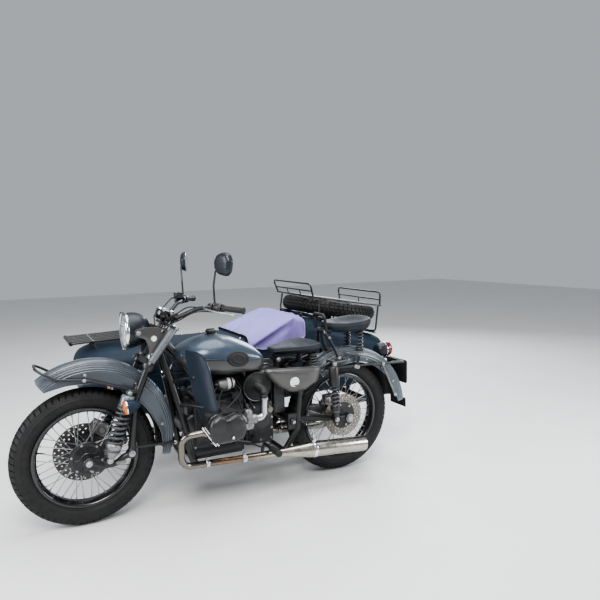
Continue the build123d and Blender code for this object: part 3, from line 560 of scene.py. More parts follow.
def rubber(name, c, rough=0.62, dust=0.25, bump=0.35, grain=420):
    s = Shader(name, c, rough, 0.0, Specular_IOR_Level=0.4)
    film = s.calc("MULTIPLY", s.calc("MULTIPLY", s.upward(), s.noise(26, 6, 0.7)), dust)
    s.color(s.mix(film, s.mix(s.noise(14, 4), tuple(x * 0.75 for x in c), tuple(x * 1.35 for x in c)), (0.2, 0.19, 0.17)))
    s.rough(s.calc("ADD", s.calc("MULTIPLY", s.noise(70, 4), 0.2), rough - 0.1))
    s.bump(s.noise(grain, 3), 0.0004, bump)
    return s


paint("paint_grey", (0.050, 0.060, 0.073), 0.3, coat=0.35, dust=0.10)
# rear guard paint: a lighter copy of the grey paint, painted light standing in for the light the rear guard catches; it
# also colours the front shock covers
paint("paint_guard", (0.080, 0.094, 0.110), 0.3, coat=0.35, dust=0.10, edge=0.75)
# front guard paint, with painted highlights on its rib crests
paint("paint_front", (0.056, 0.067, 0.081), 0.3, coat=0.35, dust=0.10, edge=0.6)
paint("paint_warm", (0.070, 0.069, 0.066), 0.3, coat=0.35, dust=0.08)
s = paint("paint_dark", (0.015, 0.025, 0.039), 0.46, coat=0.0, dust=0.03, metal=0.1)
s.b.inputs["Specular IOR Level"].default_value = 0.13
# tank: the upper pressing is coloured bluer than the band below its seam; that blue is a painted reflection of the sky
s = paint("tank_paint", (0.05, 0.06, 0.072), 0.3, coat=0.35, dust=0.05)
sky_reflection_split = s.calc("ADD", s.axis(2), s.calc("MULTIPLY", s.axis(0), -0.104))
s.color(s.mix(s.ramp(sky_reflection_split, (0.7562, 0.0), (0.7592, 1.0)), s.mix(s.noise(6, 4), (0.050, 0.050, 0.050), (0.074, 0.073, 0.071)), s.mix(s.noise(6, 4), (0.037, 0.055, 0.080), (0.059, 0.081, 0.112))))
paint("paint_blue", (0.024, 0.034, 0.050), 0.36, coat=0.2, dust=0.08)
# light grey of the upper fork tubes, painted light
paint("fork_grey", (0.15, 0.16, 0.18), 0.28, coat=0.4, dust=0.06, metal=0.5)
powder("powder", dust=0.06)
powder("engine_black", (0.012, 0.0125, 0.014), 0.38, 0.1)
powder("spring", (0.045, 0.047, 0.052), 0.42, 0.08)
powder("plastic_black", (0.012, 0.0125, 0.013), 0.48, 0.18)
paint("gloss_black", (0.008, 0.0085, 0.01), 0.2, coat=0.6, dust=0.08, flake=0.0, metal=0.0)
paint("shell_black", (0.010, 0.014, 0.020), 0.4, coat=0.12, dust=0.05, flake=0.0, metal=0.2)
metal("chrome", (0.86, 0.87, 0.88), 0.09, 0.06)
metal("steel", (0.62, 0.63, 0.64), 0.3, 0.16, bump=0.08)
metal("zinc", (0.42, 0.43, 0.44), 0.34, 0.14)
metal("cast_alu", (0.30, 0.303, 0.31), 0.46, 0.16, bump=0.4, tint=(0.19, 0.185, 0.175))
metal("disc_steel", (0.10, 0.097, 0.093), 0.42, 0.12, grain=(1, 6, 1))
metal("disc_brown", (0.27, 0.25, 0.23), 0.4, 0.2, tint=(0.19, 0.165, 0.14))
metal("mirror_glass", (0.9, 0.92, 0.93), 0.02, 0.01)
metal("reflector", (0.93, 0.94, 0.95), 0.12, 0.04)
rubber("rubber_black", (0.0105, 0.011, 0.012), dust=0.16)
rubber("grip_rubber", (0.018, 0.0185, 0.02), 0.55, dust=0.15)

# tyre: matt black, greyer where dust sits in the tread and on the sidewall
s = Shader("tyre", (0.02, 0.02, 0.021), 0.7, 0.0, Specular_IOR_Level=0.35)
d = s.ramp(s.noise(9, 8, 0.7), (0.35, 0.0), (0.75, 1.0))
c = s.mix(d, (0.0075, 0.0076, 0.0082), (0.017, 0.0168, 0.0166))
c = s.mix(s.calc("MULTIPLY", s.ramp(s.noise(120, 4), (0.55, 0.0), (0.8, 1.0)), 0.25), c, (0.04, 0.037, 0.032))
s.color(c)
s.rough(s.ramp(s.noise(40, 5), (0.3, 0.52), (0.7, 0.76)))
s.bump(s.noise(500, 3), 0.0003, 0.35)

# stainless exhaust: straw, brown and blue heat colours near the heads and along the lower run; the warm straw tint over
# the silencers is a painted reflection of the brown ground below them
s = Shader("exhaust", (0.7, 0.67, 0.6), 0.2, 1.0)
x = s.calc("ADD", s.axis(0), s.calc("MULTIPLY", s.calc("SUBTRACT", s.noise(9, 4), 0.5), 0.10))
heat_and_ground_tint = s.ramp(s.calc("DIVIDE", s.calc("ADD", x, 0.70), 1.3), (0.0, (0.45, 0.44, 0.41)), (0.45, (0.43, 0.40, 0.34)), (0.58, (0.36, 0.33, 0.27)),
              (0.65, (0.20, 0.155, 0.115)), (0.72, (0.27, 0.155, 0.10)), (0.79, (0.17, 0.135, 0.11)), (0.86, (0.22, 0.20, 0.18)), (1.0, (0.155, 0.14, 0.125)))
s.color(s.mix(s.ramp(s.noise(28, 6, 0.65), (0.45, 0.0), (0.8, 0.5)), heat_and_ground_tint, (0.15, 0.125, 0.10)))
s.rough(s.ramp(s.noise(24, 5), (0.3, 0.14), (0.75, 0.36)))
s.bump(s.noise(220, 3), 0.0002, 0.15)

# clear lens with slight tint, ribbed by its mesh
s = Shader("lens_clear", (0.93, 0.96, 0.97), 0.05, 0.0, Transmission_Weight=0.92, IOR=1.46)
s.bump(s.noise(180, 2), 0.0003, 0.2)
s.color(s.mix(s.noise(12, 3), (0.88, 0.92, 0.93), (0.97, 0.98, 0.98)))
for nm, c1, c2 in (("lens_amber", (0.62, 0.15, 0.015), (0.75, 0.22, 0.03)), ("lens_red", (0.13, 0.007, 0.014), (0.19, 0.012, 0.020))):
    s = Shader(nm, c1, 0.16, 0.0, Transmission_Weight=0.35, IOR=1.5, Coat_Weight=0.5, Coat_Roughness=0.05)
    s.color(s.mix(s.noise(30, 3), c1, c2))
    w = s.cells(260, vec=s.scaled((0.15, 1, 1)), rand=0.0)
    s.bump(w, 0.0012, 0.5)

# plain badge, label and dial finishes
s = Shader("badge", (0.72, 0.73, 0.74), 0.3, 0.2, Coat_Weight=0.4)
s.color(s.mix(s.noise(40, 4), (0.62, 0.63, 0.65), (0.8, 0.81, 0.82)))
s.bump(s.cells(700), 0.0002, 0.2)
s = Shader("label", (0.72, 0.72, 0.70), 0.55)
s.color(s.mix(s.noise(60, 5), (0.6, 0.6, 0.57), (0.78, 0.78, 0.76)))
s = Shader("dial", (0.02, 0.02, 0.022), 0.5)
s.color(s.mix(s.noise(90, 4), (0.014, 0.014, 0.016), (0.03, 0.03, 0.032)))
s = Shader("dial_white", (0.8, 0.8, 0.78), 0.5)
s.color(s.mix(s.noise(90, 4), (0.7, 0.7, 0.68), (0.85, 0.85, 0.83)))

# saddle rubber: blue-black, finely grained, with a painted highlight: faces that look up are coloured lighter, in noisy
# patches
s = Shader("saddle", (0.022, 0.027, 0.034), 0.55, 0.0, Specular_IOR_Level=0.3)
s.color(s.mix(s.calc("MULTIPLY", s.upward(), s.ramp(s.noise(14, 6, 0.7), (0.3, 0.1), (0.75, 0.5))), (0.015, 0.019, 0.025), (0.042, 0.047, 0.055)))
s.rough(s.ramp(s.noise(20, 5), (0.3, 0.5), (0.75, 0.68)))
s.bump(s.cells(520), 0.00045, 0.5)
s.bump(s.noise(1500, 2), 0.00015, 0.3)

# sidecar seat: leathercloth with grain and paler creases
s = Shader("seat_vinyl", (0.03, 0.03, 0.034), 0.45, 0.0, Coat_Weight=0.1)
s.color(s.mix(s.noise(8, 5), (0.022, 0.022, 0.026), (0.05, 0.05, 0.055)))
s.rough(s.ramp(s.noise(26, 5), (0.3, 0.36), (0.75, 0.56)))
s.bump(s.cells(420), 0.0006, 0.6)

# faded lilac cloth: plain weave, soft colour change, paler worn ridges, and painted shade: its hanging sides are
# coloured darker and pinker
s = Shader("cloth", (0.38, 0.36, 0.68), 0.85, 0.0, Sheen_Weight=0.08, Sheen_Roughness=0.45, Specular_IOR_Level=0.25)
wx = s.wave(420, "X")
wy = s.wave(420, "Y")
wz = s.wave(420, "Z")
big = s.ramp(s.noise(4.5, 5, 0.6), (0.3, 0.0), (0.72, 1.0))
c = s.mix(big, (0.235, 0.215, 0.50), (0.30, 0.285, 0.60))
# painted shade: on faces that do not look up, below a diagonal line along the fold, the cloth is coloured darker and
# pinker, standing in for the shade on its hanging side
fold = s.calc("ADD", s.axis(2), s.calc("ADD", s.calc("MULTIPLY", s.axis(0), 0.529), s.calc("MULTIPLY", s.calc("SUBTRACT", s.noise(14, 3), 0.5), 0.02)))
hanging_side_shade = s.calc("MULTIPLY", s.ramp(fold, (0.634, 1.0), (0.655, 0.0)), s.ramp(s.upward(), (0.3, 1.0), (0.7, 0.0)))
c = s.mix(s.calc("MULTIPLY", hanging_side_shade, 0.85), c, (0.158, 0.112, 0.300))
c = s.mix(s.calc("MULTIPLY", s.calc("MULTIPLY", wx, wy), 0.35), c, (0.16, 0.14, 0.36))
c = s.mix(s.calc("MULTIPLY", s.ramp(s.noise(38, 6, 0.7), (0.5, 0.0), (0.85, 1.0)), 0.15), c, (0.42, 0.40, 0.70))
s.color(c)
s.bump(s.calc("ADD", s.calc("MULTIPLY", wx, wy), wz), 0.0003, 0.55)
s.bump(s.noise(60, 5), 0.0012, 0.35)
s = Shader("cloth_hem", (0.46, 0.44, 0.7), 0.8, 0.0, Sheen_Weight=0.08)
s.color(s.mix(s.noise(50, 4), (0.33, 0.31, 0.56), (0.44, 0.42, 0.68)))
s.bump(s.wave(900, "X"), 0.0003, 0.6)

# ------------------------------------------------------------------ camera, floor and light
sc = bpy.context.scene
CAM = A(1.80973, 2.95795, 1.37312) - A(MID[0], MID[1], 0) / 1000
yaw, pitch, roll = radians(-117.7595), radians(-5.4521), radians(-0.7401)
fw = A(cos(yaw) * cos(pitch), sin(yaw) * cos(pitch), sin(pitch))
rt = unit(np.cross(fw, A(0, 0, 1)))
up = np.cross(rt, fw)
r2, u2 = cos(roll) * rt + sin(roll) * up, -sin(roll) * rt + cos(roll) * up
cd = bpy.data.cameras.new("camera")
cd.lens, cd.sensor_width, cd.sensor_fit = 34.5, 36.0, "HORIZONTAL"
cd.clip_start, cd.clip_end = 0.05, 200
cam = bpy.data.objects.new("camera", cd)
M = Matrix.Identity(4)
for k in range(3):
    M[k][0], M[k][1], M[k][2], M[k][3] = r2[k], u2[k], -fw[k], CAM[k]
cam.matrix_world = M
sc.collection.objects.link(cam)
sc.camera = cam
sc.view_settings.look = "AgX - Medium High Contrast"

s = Shader("floor", (0.72, 0.72, 0.71), 0.55)
s.color(s.mix(s.noise(1.6, 6, 0.6), (0.66, 0.66, 0.65), (0.76, 0.76, 0.75)))
s.rough(s.ramp(s.noise(7, 5), (0.3, 0.45), (0.7, 0.65)))
fm = bpy.data.meshes.new("floor")
fm.from_pydata([(-14, -14, 0), (14, -14, 0), (14, 14, 0), (-14, 14, 0)], [], [(0, 1, 2, 3)])
fm.materials.append(MAT["floor"])
floor = bpy.data.objects.new("floor", fm)
sc.collection.objects.link(floor)

w = bpy.data.worlds.new("world")
sc.world = w
w.use_nodes = True
w.node_tree.nodes["Background"].inputs[0].default_value = (0.86, 0.90, 0.96, 1)
w.node_tree.nodes["Background"].inputs[1].default_value = 0.45


def area(name, loc, at, size, power, color=(1, 1, 1)):
    ld = bpy.data.lights.new(name, "AREA")
    ld.shape, ld.size, ld.energy, ld.color = "DISK", size, power, color
    lo = bpy.data.objects.new(name, ld)
    lo.location = loc
    lo.rotation_euler = (Vector(at) - Vector(loc)).to_track_quat("-Z", "Y").to_euler()
    sc.collection.objects.link(lo)


area("key", (1.6, 3.6, 4.2), (0.2, 0.2, 0.5), 2.6, 250, (1.0, 0.98, 0.95))
area("top", (-0.6, 0.4, 5.2), (0.0, 0.0, 0.4), 4.5, 240, (0.95, 0.98, 1.0))
area("rear", (-3.2, 2.6, 1.7), (-0.6, 0.4, 0.5), 1.2, 70, (0.92, 0.96, 1.0))
area("back", (-3.6, -3.4, 3.0), (0, 0, 0.6), 2.6, 150, (0.92, 0.96, 1.0))
area("front", (4.2, 0.8, 2.0), (0.4, 0.2, 0.6), 2.2, 110, (0.95, 0.97, 1.0))

# ------------------------------------------------------------------ wheels
CROWN_R = 58.7                       # crown radius across the tread


def crown(y):
    return WHEEL_R - CROWN_R + sqrt(max(CROWN_R ** 2 - y * y, 0))


def tyre_shape():
    # carcass with beads and sidewall lines, then four rows of tread blocks
    half = [(240, 0), (240, 30), (243, 34.5), (250, 33.6), (254, 37.5), (257, 40.5), (259, 43.2), (261.5, 43.2), (263, 45.4), (270, 49.0), (278, 51.4),
            (287, 52.3), (295, 52.0), (297, 52.9), (299.5, 52.8), (301, 51.2), (308, 50.0), (313, 48.6), (317, 46.6), (319.5, 42.5)]
    half += [(crown(y) - 7.5, y) for y in (38, 32, 24, 16, 8, 0)]
    prof = half + [(r, -y) for r, y in half[-2:0:-1]]
    out = [(turn_y(prof, 0, 0, 0, 120), "tyre")]
    N = 66
    V, F = [], []

    def block(a0, a1, y0, y1, skew, deep=7.0):
        # corners and middles of the outline, angle and offset
        o = [(a0, y0), ((a0 + a1) / 2, y0), (a1, y0), (a1, (y0 + y1) / 2), (a1, y1), ((a0 + a1) / 2, y1), (a0, y1), (a0, (y0 + y1) / 2)]
        ca, cy = (a0 + a1) / 2, (y0 + y1) / 2
        rows = []
        for grow, dr in ((1.06, -deep), (1.0, -1.3), (0.93, 0.0)):
            row = []
            for a, y in o:
                aa, yy = ca + (a - ca) * grow, cy + (y - cy) * grow
                aa += skew * (yy - cy)
                r = crown(min(abs(yy), 49.5)) + dr
                row.append((r * cos(aa), yy, r * sin(aa)))
            rows.append(row)
        v, f = stack(rows)
        n = sum(len(q) for q in V)
        V.append(v)
        F.extend([tuple(i + n for i in g) for g in f])
    p = 2 * pi / N
    for k in range(N):
        a = k * p
        block(a + 0.10 * p, a + 0.92 * p, 1.8, 21.0, 0.0011)
        block(a + 0.60 * p, a + 1.42 * p, -21.0, -1.8, 0.0011)
        block(a + 0.02 * p, a + 0.80 * p, 24.0, 46.5, -0.0006)
        block(a + 0.52 * p, a + 1.30 * p, -46.5, -24.0, -0.0006)
    out.append(((np.vstack(V), F), "tyre"))
    return out


def wheel_shape(disc_r, disc_mat, front=False):
    out = []
    rimp = [(250, -39), (250, -36), (243, -34.2), (239, -31), (239, -15), (229, -10), (229, 10), (239, 15), (239, 31), (243, 34.2), (250, 36), (250, 39),
            (247.5, 40.3), (241, 39.8), (235.5, 37), (233, 32), (231.5, 20), (224, 12), (224, -12), (231.5, -20), (233, -32), (235.5, -37), (241, -39.8), (247.5, -40.3)]
    out.append((turn_y(rimp, 0, 0, 0, 120), "gloss_black"))
    # laced spokes: forty, crossing, alternate sides
    for k in range(40):
        a = radians(9 * k + 4)
        s = 1 if k % 2 else -1
        lean = 1 if (k // 2) % 2 else -1
        h = a + lean * radians(37)
        yy = s * (FL_Y + (3.5 if lean > 0 else -3.5))
        p = A(50 * cos(h), yy, 50 * sin(h))
        q = A(229 * cos(a), s * 7, 229 * sin(a))
        out.append((tube([p, q], 2.1, 8), "zinc"))
        d = unit(q - p)
        out.append((rod(q - d * 15, q + d * 1, 3.7, seg=8), "zinc"))
        out.append((dome(tuple(p + A(0, s * 2.2 * lean, 0)), (0, s * lean, 0), 3.6, 2.0, 8), "zinc"))
    hub = [(10.1, -46), (30, -46), (33, -43), (33.5, -37), (53, -36.5), (56, -34), (56, -29.5), (52, -28), (36, -26), (31, -18), (29.5, 0), (31, 18), (36, 26), (52, 28),
           (56, 29.5), (56, 34), (53, 36.5), (33.5, 37), (33, 43), (30, 46), (10.1, 46)]
    out.append((turn_y(hub, 0, 0, 0, 56), "engine_black"))
    # drilled disc from cells with a round hole each; rows are offset by half a cell
    inner, rows_n, cells = (92.0, 3, 26) if disc_r > 140 else (80.0, 3, 24)
    y0, y1 = 57.0, 62.0
    edges = np.linspace(inner, disc_r, rows_n + 1)
    seg = 4
    V, F, n = [], [], 0
    for r in range(rows_n):
        ra, rb = edges[r], edges[r + 1]
        off = 0.5 * (r % 2)
        for k in range(cells):
            a0, a1 = (k + off) * 2 * pi / cells, (k + 1 + off) * 2 * pi / cells
            am, rm = (a0 + a1) / 2, (ra + rb) / 2
            o = [(ra, a0 + (a1 - a0) * t / seg) for t in range(seg)] + [(ra + (rb - ra) * t / seg, a1) for t in range(seg)]
            o += [(rb, a1 - (a1 - a0) * t / seg) for t in range(seg)] + [(rb - (rb - ra) * t / seg, a0) for t in range(seg)]
            o = np.array([(q * cos(t), q * sin(t)) for q, t in o])
            c = A(rm * cos(am), rm * sin(am))
            dd = o - c
            i = c + dd / np.linalg.norm(dd, axis=1)[:, None] * 4.6
            m = len(o)
            for yy in (y0, y1):
                V.append(np.c_[o[:, 0], np.full(m, yy), o[:, 1]])
                V.append(np.c_[i[:, 0], np.full(m, yy), i[:, 1]])
            for j in range(m):
                e = (j + 1) % m
                F.append((n + j, n + e, n + m + e, n + m + j))
                F.append((n + 2 * m + j, n + 3 * m + j, n + 3 * m + e, n + 2 * m + e))
                F.append((n + m + j, n + m + e, n + 3 * m + e, n + 3 * m + j))
                if (r == 0 and j < seg) or (r == rows_n - 1 and 2 * seg <= j < 3 * seg):
                    F.append((n + j, n + 2 * m + j, n + 2 * m + e, n + e))
            n += 4 * m
    out.append(((np.vstack(V), F), disc_mat))
    # carrier between hub and disc, its bolts, and the outer cover
    out.append((turn_y([(10.1, 46), (44, 46), (50, 50), (inner + 3, 55.5), (inner + 3, 57), (inner - 2, 63), (58, 63), (50, 59), (10.1, 58)], 0, 0, 0, 64), "engine_black"))
    nb = 6
    if front:
        out.append((turn_y([(17, 60), (84, 62.6), (86, 64), (86, 66), (84, 67.5), (66, 68), (62, 66.4), (30, 66.4), (26, 68.2), (17, 68.2)], 0, 0, 0, 72), "engine_black"))
    for k in range(nb):
        a = radians(60 * k + 12)
        rr, yb = (72, 67.4) if front else (66, 62.5)
        for g in hexbolt((rr * cos(a), yb, rr * sin(a)), (0, 1, 0), 5.6, 3.4):
            out.append((g, "zinc"))
    # tyre valve
    a = radians(13)
    out.append((tube([(226 * cos(a), 0, 226 * sin(a)), (196 * cos(a), 2, 196 * sin(a))], 3.4, 10), "rubber_black"))
    out.append((tube([(196 * cos(a), 2, 196 * sin(a)), (186 * cos(a), 2.4, 186 * sin(a))], 2.6, 10), "zinc"))
    return out


FL_Y = 32
SPARE, SPARE_TILT = A(-369.92, SIDE_Y - 8, 908), 9.8
LAID = turn((0, 1, 0), -SPARE_TILT) @ turn((1, 0, 0), 90)
UP = np.eye(3)
TYRE = tyre_shape()
for name, body, R, t in (("front", "front_wheel", UP, (WHEELBASE, 0, WHEEL_R)), ("rear", "rear_wheel", UP, (0, 0, WHEEL_R)),
                         ("sidecar", "sidecar_wheel", UP, (SIDE_LEAD, -TRACK, WHEEL_R)), ("spare", "boot", LAID, SPARE)):
    p = Piece()
    for vf, m in TYRE:
        p.add(moved(vf, R, t), m)
    p.done(name + "_tyre_blocks", body, [name + "_tyre"], 40)
    p = Piece()
    if name == "spare":
        # the spare has no brake disc
        for vf, m in [w for w in wheel_shape(147, "disc_steel") if w[1] not in ("disc_steel",)]:
            v = np.asarray(vf[0])
            if m == "engine_black" and v[:, 1].max() > 47:
                continue
            if m == "zinc" and v[:, 1].min() > 60:
                continue
            p.add(moved(vf, R, t), m)
        p.done("spare_wheel_spokes", body, ["spare_rim"], 40)
    else:
        for vf, m in wheel_shape(147 if name == "front" else 128, "disc_steel" if name == "front" else "disc_brown"):
            p.add(moved(mirrored(vf) if name == "front" else vf, R, t), m)
        if name == "front":
            p.add(moved(turn_y([(10.1, 44), (76, 44), (84, 47), (84, 52), (80, 55), (66, 56), (62, 54.4), (30, 54.4), (26, 58), (10.1, 58)], 0, 0, 0, 72), R, t), "engine_black")
            for k in range(6):
                a = radians(60 * k + 12)
                p.add(hexbolt((t[0] + 72 * cos(a), 55, t[2] + 72 * sin(a)), (0, 1, 0), 4.6, 3), "zinc")
            for k in range(12):
                a = radians(30 * k + 27)
                p.add(tube([(t[0] + 34 * cos(a), 54.6, t[2] + 34 * sin(a)), (t[0] + 58 * cos(a), 54.6, t[2] + 58 * sin(a))], 1.8, 6), "engine_black")
        p.done(name + "_wheel_spokes", body, [name + "_wheel_rim"], 40)

# ------------------------------------------------------------------ fork, leading arms, front shocks
SD = A(-sin(RAKE), 0, cos(RAKE))                # steering axis, upward
SF = A(cos(RAKE), 0, sin(RAKE))                 # square to it, forward
PIVOT = (1268, 358)
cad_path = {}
p = Piece()
for s in (-1, 1):
    y = s * FORK_Y
    path = fillet([(1031, y, 965), (1180, y, 762), (1240, y, 615), (PIVOT[0], y, PIVOT[1])], 120, 4)
    path = resample(path, 90)
    upper, lower = path[path[:, 2] > 771], path[path[:, 2] <= 776]
    # painted light and shade: the upper run of this one painted tube is coloured light grey where its top catches the
    # light, and the lower run black where it lies in shade
    p.add(tube(upper, 19.5, 28), "fork_grey")
    p.add(tube(lower, 17.6, 26), "powder")
    # stepped collar where the tubes change, and a chamfered ring above the pivot
    T = unit(upper[-1] - upper[-2])
    p.add(lathe([(0, -10), (20.5, -10), (22, -8), (22, 6), (19, 12), (0, 12)], upper[-1], T, 32), "powder")
    T0 = unit(path[0] - path[1])
    p.add(lathe([(0, -6), (23, -6), (24, -4), (24, 4), (22, 7), (16, 8), (14, 13), (0, 14)], path[0] + T0 * 2, T0, 32), "zinc")
    e = lower[-1]
    p.add(lathe([(0, -18), (21, -18), (24, -15), (24, 15), (21, 18), (0, 18)], (e[0], y, e[2]), (0, 1, 0), 36), "powder")
    for q in (-1, 1):
        p.add(hexbolt((e[0], y + q * 18, e[2]), (0, q, 0), 12, 7), "zinc")
    # gusset above the pivot
    p.add(rbox(PIVOT[0] - 17, PIVOT[0] + 14, y - 9, y + 9, PIVOT[1] + 16, PIVOT[1] + 62, 5, 3), "powder")
    # clamp of the lower crown
    c = path[np.argmin(abs(path[:, 2] - 786))]
    Tc = unit(path[np.argmin(abs(path[:, 2] - 800))] - c)
    p.add(lathe([(21, -20), (29, -20), (31, -17), (31, 17), (29, 20), (21, 20)], c, Tc, 36, True), "powder")
    p.add(hexbolt(c + A(0, s * 14, 0) + SF * 26, SF, 7, 5), "zinc")
# lower crown: ribbed casting between the clamps
LC = A(steer_x(790) + 15, 0, 790)
out = rounded([(-112, -20), (-60, -26), (0, -34), (60, -26), (112, -20), (112, 16), (50, 20), (0, 22), (-50, 20), (-112, 16)], 14)
p.add(plate(out, 30, LC - SD * 15, (0, 1, 0), -SF, 4, 3), "engine_black")
# upper crown with stem nut
UC = A(steer_x(972), 0, 972)
out = rounded([(-138, -24), (-60, -22), (0, -34), (60, -22), (138, -24), (140, 18), (60, 22), (0, 36), (-60, 22), (-140, 18)], 14)
p.add(plate(out, 15, UC - SD * 7.5, (0, 1, 0), -SF, 3, 3), "powder")
p.add(rod(A(steer_x(782), 0, 782), A(steer_x(985), 0, 985), 19.6, seg=32), "steel")
p.add(hexbolt(A(steer_x(980), 0, 980), SD, 21, 11), "chrome")
# brace between the legs behind the wheel
p.add(tube(fillet([(1240, -FORK_Y, 600), (1225, -FORK_Y + 20, 690), (1225, FORK_Y - 20, 690), (1240, FORK_Y, 600)], 30), 11, 18), "powder")
# shock eyes welded to the legs
for s in (-1, 1):
    p.add(tube([(1216, s * FORK_Y, 664), (1240, s * (FORK_Y + 8), 667), (1270, s * (FORK_Y + 16), 668)], [14, 12, 11], 20), "powder")
p.done("fork_legs", "steering", ["front_fork"])

p = Piece()
for s in (-1, 1):
    y = s * (FORK_Y + 4)
    path = fillet([(PIVOT[0], y, PIVOT[1]), (PIVOT[0] + 40, y, PIVOT[1] - 12), (1340, y, 322), (1400, y, 318), (WHEELBASE, y, WHEEL_R)], 40, 6)
    path = resample(path, 40)
    p.add(tube(path, np.interp(np.linspace(0, 1, 40), [0, 0.15, 0.8, 1], [17, 15, 15, 18]), 22, flat=1.0), "powder")
    p.add(lathe([(0, -14), (24, -14), (27, -11), (27, 13), (24, 16), (0, 16)], (WHEELBASE, y, WHEEL_R), (0, 1, 0), 40), "powder")
    p.add(lathe([(0, -15), (19, -15), (22, -12), (22, 12), (19, 15), (0, 15)], (1376, s * (FORK_Y + 6), 336), (0, 1, 0), 32), "powder")
    p.add(rbox(1448, 1492, min(y - 8, y + 8), max(y - 8, y + 8), 308, 326, 3), "powder")
    p.add(rbox(1298, 1346, min(y + s * 12, y + s * 17), max(y + s * 12, y + s * 17), 318, 334, 2), "cast_alu")
    p.add(hexbolt((1462, y, 308), (0, 0, -1), 6, 4), "zinc")
    p.add(rod((1376, s * (FORK_Y + 4), 346), (1376, s * (FORK_Y + 38), 348), 9, seg=18), "powder")
    p.add(hexbolt((1376, s * (FORK_Y + 38), 348), (0, s, 0), 11, 7), "zinc")
p.add(rod((WHEELBASE, -FORK_Y - 24, WHEEL_R), (WHEELBASE, FORK_Y + 24, WHEEL_R), 9.9, seg=24), "zinc")
for s in (-1, 1):
    p.add(hexbolt((WHEELBASE, s * (FORK_Y + 20), WHEEL_R), (0, s, 0), 12.5, 9), "zinc")
p.add(lathe([(10, 0), (17, 0), (17, 40), (10, 40)], (WHEELBASE, 60, WHEEL_R), (0, 1, 0), 28, True), "zinc")
p.add(lathe([(10, 0), (17, 0), (17, 36), (10, 36)], (WHEELBASE, -64, WHEEL_R), (0, -1, 0), 28, True), "zinc")
# caliper over the rear upper edge of the disc: two bodies bolted through, on a bracket from the axle
q = Piece()
out = rounded([(-44, 106), (40, 106), (46, 122), (38, 170), (-34, 172), (-44, 158)], 8)
q.add(plate(out, 12, (0, -70, 0), (1, 0, 0), (0, 0, 1), 2.5), "cast_alu")
q.add(plate(out, 8, (0, -42, 0), (1, 0, 0), (0, 0, 1), 2.0), "cast_alu")
q.add(rbox(-40, 38, -80, -44, 156, 171, 3), "cast_alu")
for x, z in ((-20, 134), (18, 134)):
    q.add(lathe([(0, 0), (17, 0), (18.5, 2), (18.5, 4), (15, 8), (0, 9)], (x, -43, z), (0, 1, 0), 28), "cast_alu")
for x, z in ((-36, 164), (0, 166), (34, 162)):
    q.add(hexbolt((x, -42.5, z), (0, 1, 0), 5, 4), "zinc")
out = rounded([(-19, -8), (19, -8), (22, 30), (36, 116), (22, 130), (-22, 130), (-36, 116), (-22, 30)], 10)
q.add(plate(out, 8, (0, -80, 0), (1, 0, 0), (0, 0, 1), 1.5), "engine_black")
RC = turn((0, 1, 0), -33)
allv = np.vstack(q.v)
for mi, nm in enumerate(q.names):
    p.add(moved((allv, [f for f, g in zip(q.f, q.m) if g == mi]), RC, (WHEELBASE, 0, WHEEL_R)), nm)
p.done("leading_arms_forged", "steering", ["leading_arms"])


def shock(p, top, eye, cover_r, cover, r_spring, wire, turns, body_r, cover_mat, y_half, cup_mat="fork_grey"):
    # cover sleeve above, spring over a damper below
    top, eye = A(top), A(eye)
    d = unit(eye - top)
    n = np.linalg.norm(eye - top)
    ys = 1 if top[1] > 0 else -1
    p.add(tube([top, top + d * 24], 11, 18), "powder")
    cr = cover_r
    p.add(lathe([(0, 12), (cr - 12, 12), (cr - 4, 15), (cr, 21), (cr, cover - 6), (cr + 1.5, cover - 5), (cr + 1.5, cover - 1), (cr, cover), (cr - 2.5, cover), (cr - 2.5, 24), (0, 22)], top, d, 40), cover_mat)
    p.add(coil(top + d * (cover - 26), top + d * (n - 40), r_spring, wire, turns, 10, 22), "spring")
    p.add(lathe([(0, 30), (body_r - 4, 30), (body_r - 4, n * 0.5), (body_r, n * 0.5 + 3), (body_r, n - 22), (0, n - 22)], top, d, 28), "engine_black")
    rc = r_spring + wire
    p.add(lathe([(0, n - 84), (rc - 2, n - 84), (rc, n - 80), (rc + 1.5, n - 76), (rc + 1.5, n - 66), (rc - 3, n - 58), (rc - 8, n - 34), (body_r + 2, n - 24), (body_r, n - 14), (0, n - 12)], top, d, 36), cup_mat)
    for c in (top, eye):
        p.add(lathe([(6, -y_half), (15, -y_half), (17.5, -y_half + 3), (17.5, y_half - 3), (15, y_half), (6, y_half)], c, (0, 1, 0), 30, True), "powder")
        p.add(lathe([(0, -y_half - 1), (11.5, -y_half - 1), (11.5, y_half + 1), (0, y_half + 1)], c, (0, 1, 0), 24), "rubber_black")
        p.add(hexbolt(c + A(0, ys * (y_half + 1), 0), (0, ys, 0), 9.5, 7), "zinc")


p = Piece()
for s in (-1, 1):
    y = s * (FORK_Y + 26)
    shock(p, (1272, y, 668), (1376, y, 348), 33, 84, 31.5, 6.2, 10.5, 20, "paint_guard", 13, "cast_alu")
p.done("front_shock_springs", "steering", ["front_shocks"])

